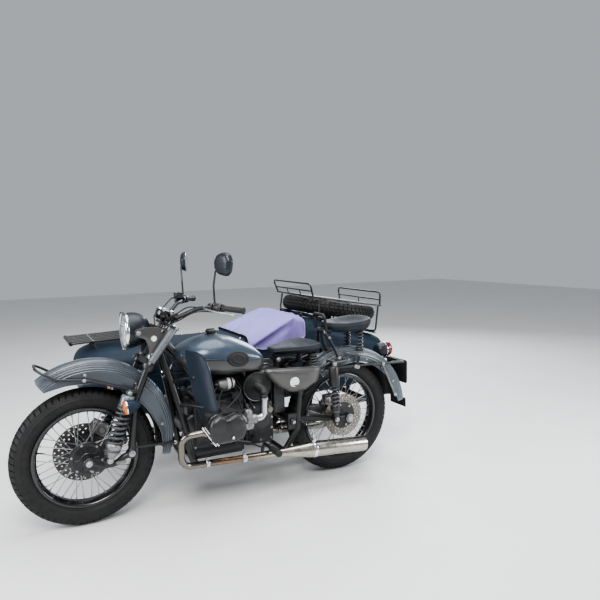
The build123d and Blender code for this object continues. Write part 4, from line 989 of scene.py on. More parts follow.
# ------------------------------------------------------------------ mudguards with pressed ribs
def guard_profile(r, half, depth, t=2.2, ribs=6, sh=36, rib_h=2.4):
    # section from the valance edge over a round shoulder to the crown, with fine pressed ribs on the shoulder
    q0 = max(depth - sh, 2)
    valance = [(r - sh - q0, half), (r - sh - q0 * 0.5, half), (r - sh - 2, half - 0.2)]
    c = (r - sh, half - sh)
    arc = [(c[0] + sh * sin(a), c[1] + sh * cos(a)) for a in np.linspace(0.02, pi / 2 - 0.02, 46)]
    top = [(r, y) for y in np.linspace(half - sh - 2, 0, 9)]
    line = np.array(valance + arc + top)
    s = np.r_[0, np.cumsum(np.linalg.norm(np.diff(line, axis=0), axis=1))]
    N = 96
    w = np.interp(np.linspace(0, 1, N), [0, 0.12, 0.88, 1.0], [0, q0, q0 + sh * 1.66, s[-1]])
    L = np.c_[np.interp(w, s, line[:, 0]), np.interp(w, s, line[:, 1])]
    T = np.gradient(L, axis=0)
    T /= np.linalg.norm(T, axis=1)[:, None]
    nrm = np.c_[T[:, 1], -T[:, 0]]
    nrm *= 1 if (nrm @ A(1, 0.8)).mean() > 0 else -1
    g = np.full(N, -0.9)
    for k in range(ribs):
        g += rib_h * np.exp(-((w - q0 - 3 - 8.2 * k * sh / 36) / 1.9) ** 2)
    g += 2.6 * np.exp(-(w / 3.0) ** 2)
    O = L + nrm * g[:, None]
    I = L + nrm * (g - t)[:, None]
    outer = np.vstack([O, (O * A(1, -1))[::-1][1:]])
    inner = np.vstack([I, (I * A(1, -1))[::-1][1:]])
    return np.vstack([outer, inner[::-1]])


def guard_add(p, cx, cz, r, half, depth, a0, a1, mat, cy=0, seg=52, ribs=6, inside="powder", flare=None, sh=36, rib_h=2.4):
    # depth of the valances as pairs (angle, depth); flare as pairs (angle, outward shift of the radius)
    da, dd = zip(*depth)
    rows = []
    for t in np.linspace(a0, a1, seg + 1):
        k = float(np.interp(t, *zip(*flare))) if flare else 0.0
        pr = guard_profile(r + k, half, float(np.interp(t, da, dd)), ribs=ribs, sh=sh, rib_h=rib_h)
        c, sn = cos(radians(t)), sin(radians(t))
        rows.append(np.c_[cx + pr[:, 0] * c, cy + pr[:, 1], cz + pr[:, 0] * sn])
    v, f = stack(rows, True, False, True)
    m = rows[0].shape[0]
    half_m = m // 2
    quads, caps = f[:-2], f[-2:]
    p.add((v, [q for q in quads if (q[0] % m) < half_m] + caps), mat)
    p.add((v, [q for q in quads if (q[0] % m) >= half_m]), inside)


def flap_add(p, cx, cz, r, half, a0, a1, mat, cy=0, seg=16, t=3.0):
    # rubber flap at the rear end, slightly waved
    rows = []
    for k, ang in enumerate(np.linspace(a0, a1, seg + 1)):
        c, sn = cos(radians(ang)), sin(radians(ang))
        row = []
        ys = np.linspace(-half, half, 13)
        for y in ys:
            row.append((cx + (r + 0.7 * sin(y / 14.0)) * c, cy + y, cz + (r + 0.7 * sin(y / 14.0)) * sn))
        for y in ys[::-1]:
            row.append((cx + (r - t + 0.7 * sin(y / 14.0)) * c, cy + y, cz + (r - t + 0.7 * sin(y / 14.0)) * sn))
        rows.append(row)
    p.add(stack(rows), mat)


FG, FG_R = (1435, 427), 398
p = Piece()
guard_add(p, FG[0], FG[1], FG_R, 80, [(52, 54), (60, 72), (80, 100), (110, 117), (140, 118), (165, 100), (180, 74), (199, 52)], 52, 199, "paint_front", seg=58, ribs=8, sh=46, rib_h=3.0)
for s in (-1, 1):
    for a in (85, 128):
        q = A(FG[0] + (FG_R - 58) * cos(radians(a)), s * 80, FG[1] + (FG_R - 58) * sin(radians(a)))
        p.add(hexbolt(q, (0, s, 0), 6, 4), "zinc")
    q = A(1101, s * 79, 470)
    p.add(hexbolt(q, (0, s, 0), 6, 4), "zinc")
    # bracket from the fork to the guard
    p.add(tube([(1203, s * 108, 735), (1196, s * 90, 728), (1190, s * 78, 690)], 7, 14), "powder")
p.done("front_guard_pressing", "steering", ["front_mudguard"], 50)

p = Piece()
run = []
for s in (1, -1):
    r = [(1226, s * 104, 652), (1290, s * 92, 682), (1450, s * 92, 740), (1596, s * 92, 760), (1680, s * 92, 812)]
    run += r if s > 0 else r[::-1]
p.add(tube(fillet(run, [40, 120, 60, 50, 50, 60, 120, 40], 7), 6.5, 16), "powder")
for s in (-1, 1):
    p.add(tube(fillet([(1276, s * 100, 380), (1180, s * 92, 372), (1040, s * 82, 362)], 60), 6, 14), "powder")
    for x, z in ((1262, 668), (1470, 744)):
        p.add(hexbolt((x, s * 98, z), (0, s, 0), 7, 5), "zinc")
    p.add(rod((1470, s * 79, 744), (1470, s * 93, 743), 8, seg=18), "powder")
    p.add(lathe([(0, 0), (10, 0), (11, 2), (11, 6), (9, 8), (0, 8)], (1038, s * 78, 362), (0, s, 0), 22), "zinc")
p.add(rod((1036, -84, 362), (1036, 84, 362), 6, seg=14), "powder")
p.done("guard_hoop_tube", "steering", ["mudguard_hoop"])

# ------------------------------------------------------------------ headlight
HL = (1250, 953)
p = Piece()
back = unit(A(-1, 0, 0.13))
o = A(HL[0] + 2, 0, HL[1])
p.add(lathe([(85, 0), (90, 1), (91, 8), (90, 14), (89.6, 26), (88, 44), (83, 64), (74, 84), (60, 102), (42, 115), (20, 122), (0, 124), (0, 119), (40, 110), (70, 82), (80, 60), (85, 24)], o, back, 64, True), "shell_black")
p.add(lathe([(83.5, 2), (83.5, 12), (87, 15), (91.5, 15.5), (95, 12), (96, 6), (95, 0), (92, -3), (89, -3), (89, 0), (90, 6), (87.5, 9)], (HL[0], 0, HL[1]), (1, 0, 0), 72, True), "chrome")
# visor: a thin peak over the upper third of the rim
rows = []
for a in np.linspace(-62, 62, 33):
    f = cos(radians(a * 90 / 62))
    c, sn = cos(radians(a)), sin(radians(a))
    row = []
    for rr, xx in ((94.8, 6), (97, 10), (97.6, 12 + 8 * f), (96.3, 12.4 + 8 * f), (95.4, 11), (93.8, 7)):
        row.append((HL[0] + xx, rr * sn, HL[1] + rr * c))
    rows.append(row)
p.add(stack(rows), "gloss_black")
p.add(lathe([(81, 0), (75, -14), (64, -30), (47, -46), (26, -56), (12, -60), (0, -60), (0, -63), (14, -63), (28, -59), (50, -48), (67, -32), (78, -15), (83, 0)], (HL[0] + 2, 0, HL[1]), (1, 0, 0), 64), "reflector")
p.add(lathe([(0, 0), (11, 0), (12, 4), (12, 20), (9, 26), (0, 28)], (HL[0] - 58, 0, HL[1]), (1, 0, 0), 24), "chrome")
for s in (-1, 1):
    p.add(rod((HL[0] - 42, s * 84, HL[1] - 2), (HL[0] - 42, s * 101, HL[1] - 2), 9, seg=20), "zinc")
    p.add(hexbolt((HL[0] - 42, s * 101, HL[1] - 2), (0, s, 0), 9.5, 6), "zinc")
p.add(hexbolt((HL[0] + 14, 0, HL[1] - 92), (1, 0, 0), 4, 3), "zinc")
p.done("headlight_bucket", "steering", ["headlight"])

# fluted lens: a shallow dome with upright ribs in its lower middle
p = Piece()
rows = []
rr = np.linspace(0, 82.5, 22)
ang = np.linspace(0, 2 * pi, 96, endpoint=False)


def lens_x(r, a, k):
    y, z = r * sin(a), r * cos(a)
    x = HL[0] + 8 + 15 * (1 - (r / 83) ** 2) ** 0.7 if r < 83 else HL[0] + 8
    if k:
        return x - 3.4
    rib = 0.9 * cos(2 * pi * y / 11.0) * min(1, max(0, (74 - r) / 8))
    step = 0.7 * cos(2 * pi * z / 26.0) * min(1, max(0, (74 - r) / 8))
    return x + rib + step


rows = [[(lens_x(r, a, 0), r * sin(a), HL[1] + r * cos(a)) for a in ang] for r in rr[1:]]
rows += [[(lens_x(r, a, 1), r * sin(a), HL[1] + r * cos(a)) for a in ang] for r in rr[:0:-1]]
v, f = stack(rows, True, False, True)
p.add((v, f), "lens_clear")
p.done("headlight_lens", "steering", ["headlight_glass"], 60)

# hooked ears between fork and headlight, with a plain round badge
EAR = [(1226, 936), (1226, 968), (1160, 977), (1100, 970), (1060, 950), (1098, 892), (1128, 840), (1139, 814), (1157, 818), (1161, 880), (1176, 916), (1204, 928)]
p = Piece()
for s in (-1, 1):
    out = rounded([(x, z) for x, z in EAR], [14, 14, 40, 30, 9, 30, 20, 8, 8, 26, 22, 12], 6)
    p.add(plate(out, -5 if s > 0 else 5, (0, s * 95.5, 0), (1, 0, 0), (0, 0, 1), 1.6, 3), "paint_warm")
    yb = s * 100.5
    p.add(lathe([(0, 0), (14.5, 0), (15, 1), (14.5, 2), (13, 2.4), (12.4, 1.9), (0, 2.3)], (1134, yb, 918), (0, s, 0), 40), "badge")
    p.add(lathe([(13.2, 1.6), (15.4, 1.6), (15.4, 2.9), (13.2, 2.9)], (1134, yb, 918), (0, s, 0), 40, True), "chrome")
    for x, z in ((1090, 952), (1146, 838)):
        p.add(hexbolt((x, yb, z), (0, s, 0), 5.5, 4), "zinc")
        p.add(rod((x, s * 97, z), (x - 6, s * 108, z - 4), 6, seg=14), "powder")
p.done("headlight_ears", "steering", ["headlight_brackets"])

# ------------------------------------------------------------------ handlebar and what is on it
BAR_C = (1014, 1010)
BARPTS = [(770, 400, 1062), (868, 264, 1073), (930, 178, 1062), (BAR_C[0], 84, BAR_C[1]),
          (BAR_C[0], -84, BAR_C[1]), (930, -178, 1062), (868, -264, 1073), (770, -400, 1062)]
BAR = fillet(BARPTS, [90, 70, 40, 40, 70, 90], 5)


def along_bar(s, t):
    a, b = A(770, s * 400, 1062), A(868, s * 264, 1073)
    return a + unit(b - a) * t


p = Piece()
p.add(tube(BAR, 11, 20), "powder")
for s in (-1, 1):
    c = A(BAR_C[0], s * 48, BAR_C[1])
    b = A(steer_x(972) - 3, s * 48, 975)
    p.add(tube([b, b + (c - b) * 0.5, c - unit(c - b) * 12], [15, 12, 14], 22), "powder")
    p.add(rbox(c[0] - 21, c[0] + 21, c[1] - 14, c[1] + 14, c[2] - 20, c[2] + 20, 6, 3), "powder")
    for dx in (-14, 14):
        p.add(hexbolt((c[0] + dx, c[1], c[2] + 19), (0, 0, 1), 6, 6), "zinc")
    # switch housing, lever bracket, curved lever, reservoir on the right
    a, b = along_bar(s, 124), along_bar(s, 166)
    d = unit(b - a)
    p.add(lathe([(11, 0), (20, 0), (22, 3), (22, 34), (19, 40), (11, 40)], a, d, 28, True), "plastic_black")
    p.add(lathe([(0, 0), (7, 0), (7, 5), (5, 7), (0, 7)], a + d * 18 + A(-20, 0, 6), (-1, 0, 0.2), 16), "lens_red" if s < 0 else "plastic_black")
    m = along_bar(s, 190)
    p.add(lathe([(11, -12), (17, -12), (18, -10), (18, 10), (17, 12), (11, 12)], m, d, 26, True), "engine_black")
    piv = m + A(34, s * 2, -6)
    p.add(tube([m + A(12, 0, -2), piv], [11, 10], 16), "engine_black")
    p.add(lathe([(0, -9), (11, -9), (12, -7), (12, 7), (11, 9), (0, 9)], piv, (0, 0, 1), 24), "engine_black")
    tip = along_bar(s, 14) + A(54, s * 30, -14)
    lv = spline([piv + A(2, 0, 0), piv + (tip - piv) * 0.25 + A(16, s * 4, 0), piv + (tip - piv) * 0.6 + A(14, s * 8, 0), tip + A(0, 0, 0), tip + A(4, s * 10, 2)], 8)
    p.add(tube(lv, np.interp(np.linspace(0, 1, len(lv)), [0, 0.2, 0.9, 0.93, 1], [8, 6.4, 5.0, 7.5, 7.5]), 12, flat=0.75), "steel" if s > 0 else "engine_black")
    p.add(hexbolt(piv + A(0, 0, 9), (0, 0, 1), 6, 4), "zinc")
# brake fluid reservoir
c = along_bar(-1, 196) + A(26, 12, 20)
p.add(rbox(c[0] - 26, c[0] + 22, c[1] - 22, c[1] + 22, c[2] - 12, c[2] + 16, 6, 3), "engine_black")
p.add(rbox(c[0] - 28, c[0] + 24, c[1] - 24, c[1] + 24, c[2] + 15, c[2] + 21, 2.5, 2), "plastic_black")
for dx, dy in ((-20, -16), (16, 16)):
    p.add(dome((c[0] + dx, c[1] + dy, c[2] + 21), (0, 0, 1), 4, 2, 12), "zinc")
# cables and hoses that the motorcycle holds all the way
for pts, r, mt in (
        ([along_bar(1, 196) + A(30, 4, -6), (975, 176, 1072), (1020, 110, 1034), (1062, 60, 1000), (1085, 42, 930), (1070, 40, 860), (1030, 44, 770)], 3.2, "rubber_black"),
        ([along_bar(1, 150) + A(10, 0, -20), (944, 190, 1046), (1000, 96, 1000), (1036, 60, 975), (1092, 40, 905), (1052, 40, 830), (1000, 40, 740)], 3.0, "rubber_black"),
        ([along_bar(-1, 140) + A(10, 0, -20), (944, -190, 1044), (1000, -96, 996), (1040, -52, 968), (1094, -38, 900), (1050, -38, 820), (1000, -40, 740)], 3.0, "rubber_black"),
        ([along_bar(-1, 200) + A(34, 0, 8), (960, -196, 1086), (1030, -120, 1044), (1086, -60, 1020), (1118, 60, 1000), (1118, 82, 900), (1160, 96, 800), (1196, 92, 740)], 3.6, "rubber_black")):
    p.add(tube(spline(pts, 8), r, 10), mt)
p.done("handlebar_controls", "steering", ["handlebar"])

p = Piece()
for s in (-1, 1):
    a = along_bar(s, -3)
    d = unit(along_bar(s, 118) - a)
    prof = [(0, 0), (14, 0), (17, 2), (17.5, 6), (15, 9)]
    for k in range(20):
        h = 12 + 5 * k
        prof += [(13.6, h), (14.6, h + 1.0), (14.6, h + 3.4), (13.6, h + 4.4)]
    prof += [(16, 113), (18, 115), (18, 119), (16, 121), (11.2, 121)]
    p.add(lathe(prof + [(11.2, 110), (0, 110)], a, d, 30), "grip_rubber")
p.done("grip_ribs", "steering", ["handlebar_grips"], 30)

# ------------------------------------------------------------------ instrument
p = Piece()
d = unit(A(-22, 0, 54))
o = A(1066, 0, 996)
p.add(lathe([(0, 0), (30, 0), (40, 8), (45, 24), (46, 50), (44, 54), (0, 54)], o, d, 56), "gloss_black")
p.add(lathe([(42.5, 52), (47.5, 52), (48.5, 55), (48, 60), (45, 62), (42.5, 60)], o, d, 56, True), "chrome")
p.add(lathe([(0, 53.5), (42.5, 53.5), (42.5, 54.6), (0, 54.6)], o, d, 48), "dial")
u = unit(np.cross(d, A(0, 1, 0)))
v = A(0, 1, 0)
for k in range(21):
    a = radians(-130 + 13 * k)
    r1, r0 = 39, (33 if k % 2 == 0 else 36)
    q0, q1 = o + d * 54.6 + (v * sin(a) - u * cos(a)) * r0, o + d * 54.6 + (v * sin(a) - u * cos(a)) * r1
    p.add(tube([q0, q1], 0.9, 6), "dial_white")
q = o + d * 56
a = radians(-96)
p.add(tube([q - (v * sin(a) - u * cos(a)) * 6, q + (v * sin(a) - u * cos(a)) * 33], [1.6, 0.5], 6), "lens_red")
p.add(lathe([(0, 54.5), (5, 54.5), (5, 58), (0, 59)], o, d, 20), "plastic_black")
p.add(lathe([(0, 60), (44, 60), (44, 61.2), (0, 61.2)], o, d, 48), "lens_clear")
for dy, mt in ((-26, "lens_red"), (0, "lens_amber"), (26, "lens_amber")):
    c = A(1024, dy, 1012)
    p.add(dome(c, (-0.4, 0, 0.9), 6, 4, 16), mt)
p.add(rbox(1010, 1052, -40, 40, 990, 1012, 6, 3), "plastic_black")
p.add(rbox(1030, 1072, -18, 18, 974, 1000, 4, 2), "powder")
p.done("instrument_pod", "steering", ["instrument"])

# ------------------------------------------------------------------ mirrors
p = Piece()
MOUT = [(-30, -62), (22, -72), (50, -48), (58, 4), (40, 40), (0, 46), (-34, 36), (-56, 4), (-54, -34)]
for s in (-1, 1):
    base = along_bar(s, 160)
    b = base + A(6, 0, 8)
    st = fillet([b, (b[0] + 4, b[1], 1180), (870, s * 296, 1256), (854, s * 316, 1278)], [40, 30], 6)
    p.add(tube(st, np.interp(np.linspace(0, 1, len(st)), [0, 1], [5.2, 4.6]), 12), "powder")
    p.add(lathe([(0, -6), (10, -6), (11, -4), (11, 12), (8, 16), (0, 17)], b, (0, 0, 1), 22), "powder")
    out = rounded([(s * y, z) for y, z in MOUT], 26, 6)
    R, t = turn((0, 0, 1), s * 25), (844, s * 325, 1298)
    rows = []
    for x, k in ((-15.5, 0.93), (-15.8, 0.97), (-14.5, 1.0), (-10, 1.0), (-2, 0.985), (6, 0.93), (12, 0.82), (15.5, 0.62), (16.5, 0.35)):
        c = A(0, -8)
        rows.append([(x, c[0] + (y - c[0]) * k, c[1] + (z - c[1]) * k) for y, z in out])
    p.add(moved(stack(rows), R, t), "shell_black")
    rows = []
    for x, k in ((-14.6, 0.91), (-16.1, 0.91), (-16.4, 0.9)):
        c = A(0, -8)
        rows.append([(x, c[0] + (y - c[0]) * k, c[1] + (z - c[1]) * k) for y, z in out])
    p.add(moved(stack(rows), R, t), "mirror_glass")
    p.add(lathe([(0, 0), (9, 0), (10, 3), (10, 14), (7, 18), (0, 18)], (856, s * 314, 1264), unit(A(-16, s * 20, 24)), 18), "plastic_black")
p.done("mirror_housings", "steering", ["mirrors"])

# ------------------------------------------------------------------ front turn signals
p = Piece()
for s in (-1, 1):
    c = A(1296, s * 208, 616)
    p.add(tube(fillet([(1236, s * (FORK_Y + 2), 604), (1246, s * 160, 610), (1262, s * 200, 621)], 30), 6.5, 18), "powder")
    p.add(lathe([(0, -62), (8, -61), (15, -56), (24, -40), (31, -20), (34.4, -4), (35, 2), (35, 6), (0, 6)], c, (1, 0, -0.1), 44), "paint_dark")
    p.add(lathe([(0, 6), (33.5, 6), (34, 8), (33, 13), (28, 18), (16, 21.4), (0, 22.4)], c, (1, 0, -0.1), 44), "lens_amber")
    p.add(lathe([(33.5, 3), (35.8, 3), (35.8, 8.5), (33.5, 8.5)], c, (1, 0, -0.1), 44, True), "chrome")
p.done("front_signals", "steering", ["front_turn_signals"])

# ------------------------------------------------------------------ tank
TANK = np.array([(1006, 30, 790, 822), (1000, 66, 778, 838), (965, 112, 738, 861), (890, 152, 706, 891), (800, 164, 697, 905), (700, 152, 690, 882),
                 (610, 137, 686, 843), (580, 131, 685, 824), (562, 125, 685, 808), (550, 118, 686, 796), (542, 106, 690, 784)], float)[::-1]


def tank_at(x):
    # half width, bottom, top and seam height of the tank at x
    def f(k):
        return float(np.interp(x, TANK[:, 0], TANK[:, k]))
    return f(1), f(2), f(3), 760 + 0.104 * (x - 558)


def tank_smooth(x, w=26):
    q = np.clip(np.linspace(x - w, x + w, 7), 542, 1006)
    return np.mean([tank_at(k) for k in q], axis=0)


def tank_y(x, z):
    hw, z0, z1, zs = tank_smooth(x)
    if z >= zs:
        t, n = (z - zs) / (z1 - zs), 2.15
    else:
        t, n = (zs - z) / (zs - z0), 5.0
    return hw * max(1 - min(t, 1) ** n, 0) ** (1 / n)


p = Piece()
rows = []
xs = np.r_[542, 544, 547, 552, np.linspace(558, 996, 48), 1001, 1004, 1006]
for x in xs:
    hw, z0, z1, zs = tank_smooth(x, 26 if 600 < x < 980 else 5)
    zs = min(max(zs, z0 + 14), z1 - 12)
    row = []
    for t in np.linspace(0, 2 * pi, 88, endpoint=False):
        c, sn = cos(t), sin(t)
        n = 2.15 if sn >= 0 else 5.0
        k = (abs(c) ** n + abs(sn) ** n) ** (-1 / n)
        h = (z1 - zs) if sn >= 0 else (zs - z0)
        row.append((x, hw * k * c, zs + h * k * sn))
    rows.append(row)
# blunt rounded ends
for end, d in ((0, -1), (-1, 1)):
    base = np.array(rows[end])
    c = base.mean(0)
    more = [c + (base - c) * A(1, k, k) + A(d * g, 0, 0) for k, g in ((0.93, 2.0), (0.8, 3.4), (0.5, 4.2), (0.15, 4.5))]
    rows = [m for m in more[::-1]] + rows if end == 0 else rows + more
p.add(stack(rows), "tank_paint")
# seam with a narrow lip, wider and ribbed at its front end
for s in (-1, 1):
    q = [A(x, s * (tank_y(x, tank_at(x)[3] - 1) + 0.8), tank_at(x)[3] - 1) for x in np.linspace(556, 975, 60)]
    p.add(tube(q, 2.4, 10, flat=0.9), "tank_paint")
    q = [A(x, s * (tank_y(x, tank_at(x)[3] - 5) + 0.2), tank_at(x)[3] - 5) for x in np.linspace(556, 975, 60)]
    p.add(tube(q, 1.5, 8), "plastic_black")
    for k in range(26):
        x = 778 + 5.0 * k
        zz = tank_at(x)[3]
        p.add(tube([A(x, s * (tank_y(x, zz - 5) + 0.2), zz - 6), A(x, s * (tank_y(x, zz) + 0.9), zz), A(x, s * (tank_y(x, zz + 5) + 0.2), zz + 6)], 1.3, 6), "plastic_black")
    # knee pad: raised oval with two ridges
    rows = []
    for r in (1.0, 1.0, 0.97, 0.9, 0.84, 0.8, 0.76, 0.6, 0.55, 0.5, 0.45, 0.2, 0.03):
        k = len(rows)
        lift = (-2.0, 3.0, 5.5, 6.4, 6.4, 4.4, 4.2, 4.6, 6.2, 6.2, 4.6, 5.4, 5.6)[k]
        row = []
        for t in np.linspace(0, 2 * pi, 48, endpoint=False):
            x, z = 706 + 64 * r * cos(t), 779 + 6 * cos(t) + 42 * r * sin(t)
            row.append((x, s * (tank_y(x, z) + lift), z))
        rows.append(row)
    p.add(stack(rows), "rubber_black")
# filler cap with a raised grip and hinge
p.add(lathe([(0, -10), (33, -10), (34, 0), (31, 3), (27, 4), (27, 12), (28.5, 14), (28.5, 22), (26, 25), (10, 27), (0, 27.5)], (803, 0, 899), (0.05, 0, 1), 48), "plastic_black")
p.add(rbox(780, 826, -5, 5, 921, 931, 3, 3), "plastic_black")
p.add(lathe([(0, -8), (5, -8), (5, 8), (0, 8)], (832, 0, 908), (0, 1, 0), 16), "zinc")
# tap and mounting tabs under the tank
for s in (-1, 1):
    p.add(rbox(938, 966, s * 100 - 7, s * 100 + 7, 720, 752, 3), "powder")
    p.add(hexbolt((952, s * 107, 732), (0, s, 0), 7, 5), "zinc")
p.add(lathe([(0, 0), (9, 0), (9, 14), (6, 20), (6, 30), (0, 30)], (640, 70, 692), (0, 0, -1), 20), "cast_alu")
p.done("tank_pressing", "root", ["fuel_tank"], 55)

# ------------------------------------------------------------------ leg shields: thin curved sheets with rolled edges
p = Piece()
LS = [(-222, -46, 66), (-214, -66, 78), (-190, -74, 82), (-100, -76, 84), (0, -78, 86), (100, -80, 86), (150, -80, 74), (178, -74, 58), (190, -60, 20)]
for s in (-1, 1):
    o = A(944, s * 246, 672)
    u, v = unit(A(-60, s * 150, 0)), unit(A(72, s * -8, 372))
    n = np.cross(u, v) * s
    out, inn = [], []
    vv, lo, hi = zip(*LS)
    for q in np.linspace(-222, 190, 40):
        a, b = np.interp(q, vv, lo), np.interp(q, vv, hi)
        ro, ri = [], []
        for t in np.linspace(0, 1, 25):
            e = a + (b - a) * t
            bend = -12 * ((e - 4) / 82) ** 2 * (1 if e > 4 else 0.4) - 8 * ((q + 20) / 220) ** 2
            edge = 2.2 * np.exp(-((min(t, 1 - t) * (b - a)) / 5.0) ** 2) if q > -200 else 0
            ro.append(o + u * e + v * q + n * (bend + 1.5 + edge))
            ri.append(o + u * e + v * q + n * (bend - 1.5 + edge))
        out.append(ro + ri[::-1])
    p.add(stack(out), "paint_blue")
    for a, b in (((1008, 100, 560), (928, 224, 566)), ((1028, 76, 680), (966, 205, 720))):
        p.add(tube([A(a) * A(1, s, 1), A((a[0] + b[0]) / 2, (a[1] + b[1]) / 2, (a[2] + b[2]) / 2) * A(1, s, 1) + A(0, 0, 4), A(b) * A(1, s, 1)], 8, 16), "powder")
        p.add(dome(A(b) * A(1, s, 1), n * 1.0, 9, 10), "powder")
p.done("leg_shield_sheets", "root", ["leg_shields"], 45)

# ------------------------------------------------------------------ side covers: domed pressings with a blank badge
p = Piece()
COVER = [(562, 694), (540, 704), (206, 684), (206, 668), (232, 600), (308, 561), (400, 555), (476, 598), (537, 660)]
out = rounded(COVER, [10, 12, 10, 14, 36, 60, 60, 60, 40], 7)
c = A(385, 634)
for s in (-1, 1):
    rows = []
    for k, y in ((0.985, 149), (1.0, 149.5), (1.0, 154), (0.99, 159), (0.965, 165), (0.91, 172), (0.82, 178.5), (0.66, 184), (0.42, 187.5), (0.1, 188.5)):
        rows.append([(c[0] + (x - c[0]) * k, s * y, c[1] + (z - c[1]) * (k if z < c[1] else 0.35 + 0.65 * k)) for x, z in out])
    p.add(stack(rows), "paint_warm")
    q = tube([(548, s * 152, 701), (380, s * 153, 693), (214, s * 152, 684)], 4, 12)
    p.add(q, "paint_warm")
    p.add(lathe([(0, 0), (27, 0), (28, 1), (28, 3), (26, 4.2), (0, 4.4)], (391, s * 185, 622), (0.0, s, -0.1), 48), "badge")
    for x, z in ((528, 690), (228, 674)):
        p.add(dome((x, s * 158, z), (0, s, 0), 6, 4), "zinc")
p.done("side_cover_pressings", "root", ["side_covers"], 50)

# ------------------------------------------------------------------ engine and gearbox
p = Piece()
p.add(rbox(654, 946, -104, 104, 300, 560, 26, 4), "engine_black")
p.add(rbox(676, 930, -74, 74, 540, 590, 18, 4), "engine_black")
p.add(lathe([(0, -96), (60, -96), (70, -86), (72, -20), (72, 20), (70, 86), (60, 96), (0, 96)], (925, 0, 430), (0, 1, 0), 56), "engine_black")
p.add(lathe([(0, 0), (66, 0), (72, 4), (72, 18), (64, 26), (30, 30), (0, 31)], (938, 0, 498), (1, 0, 0.05), 56), "engine_black")
for k in range(10):
    a = radians(36 * k + 10)
    p.add(hexbolt((952, 64 * cos(a), 498 + 64 * sin(a)), (1, 0, 0), 5, 4), "zinc")
# sump with cooling ribs
p.add(rbox(655, 946, -92, 92, 254, 316, 14, 3), "engine_black")
for k in range(11):
    y = -80 + 16 * k
    p.add(rbox(668, 936, y - 1.8, y + 1.8, 249, 262, 1, 1), "engine_black")
for s in (-1, 1):
    for x in (672, 740, 808, 876, 934):
        p.add(hexbolt((x, s * 95, 318), (0, s, 0), 6, 4), "zinc")
    for z in (345, 372, 555):
        p.add(rbox(676, 760, s * 103 - 4, s * 103 + 4, z - 3, z + 3, 2, 2), "engine_black")
    # cylinder base flange
    p.add(lathe([(0, 0), (74, 0), (76, 2), (76, 12), (70, 16), (0, 16)], (850, s * 98, 478), (0, s, 0), 48), "engine_black")
# gearbox with cover, ribs, drain and gear indicator
p.add(rbox(472, 652, -88, 88, 268, 516, 24, 4), "engine_black")
for s in (-1, 1):
    out = rounded([(486, 290), (630, 290), (636, 480), (600, 500), (500, 492), (486, 420)], 24, 6)
    p.add(plate(out, -10 if s > 0 else 10, (0, s * 88, 0), (1, 0, 0), (0, 0, 1), 4, 3), "engine_black")
    for x, z in ((498, 302), (562, 298), (622, 304), (628, 470), (600, 488), (508, 482), (494, 420), (494, 360)):
        p.add(hexbolt((x, s * 98, z), (0, s, 0), 5.2, 4), "zinc")
    p.add(lathe([(0, 0), (58, 0), (62, 4), (62, 12), (50, 18), (24, 20), (0, 20)], (560, s * 92, 400), (0, s, 0), 48), "engine_black")
p.add(lathe([(0, 0), (32, 0), (34, 4), (34, 14), (28, 22), (0, 24)], (700, 100, 560), (0, 1, 0.3), 36), "engine_black")
# ignition coil with a blank label, dipstick, breather, starter
p.add(lathe([(0, -46), (26, -46), (30, -42), (31, -34), (31, 34), (30, 42), (24, 46), (0, 46)], (758, 92, 640), (1, 0, -0.04), 40), "cast_alu")
p.add(lathe([(31.6, -24), (32, -24), (32, 6), (31.6, 6)], (748, 92, 640), (1, 0, -0.04), 40, True), "label")
p.add(lathe([(0, 44), (13, 44), (12, 56), (7, 62), (0, 62)], (758, 92, 640), (1, 0, -0.04), 24), "plastic_black")
p.add(lathe([(32, -30), (35, -30), (35, -20), (32, -20)], (758, 92, 640), (1, 0, -0.04), 40, True), "powder")
p.add(rbox(728, 786, 60, 78, 604, 668, 6), "powder")
p.add(lathe([(0, -70), (40, -70), (44, -64), (44, 52), (38, 60), (14, 64), (14, 84), (0, 84)], (800, -58, 622), (1, 0, 0), 44), "engine_black")
for a, b, c in (((736, 100, 592), (705, 128, 560), (690, 150, 500)), ((800, 92, 640), (850, 150, 600), (876, 210, 548)), ((716, 92, 640), (700, 160, 600), (810, 240, 545)),
                ((690, 60, 650), (640, 96, 560), (600, 112, 470)), ((705, 40, 600), (660, 110, 540), (655, 130, 430))):
    p.add(tube(spline([a, b, c], 10), 4.2, 10), "rubber_black")
p.add(tube(spline([(660, 102, 300), (620, 116, 290), (560, 112, 262), (500, 96, 262)], 8), 5, 10), "powder")
p.done("engine_castings", "root", ["engine_block"])

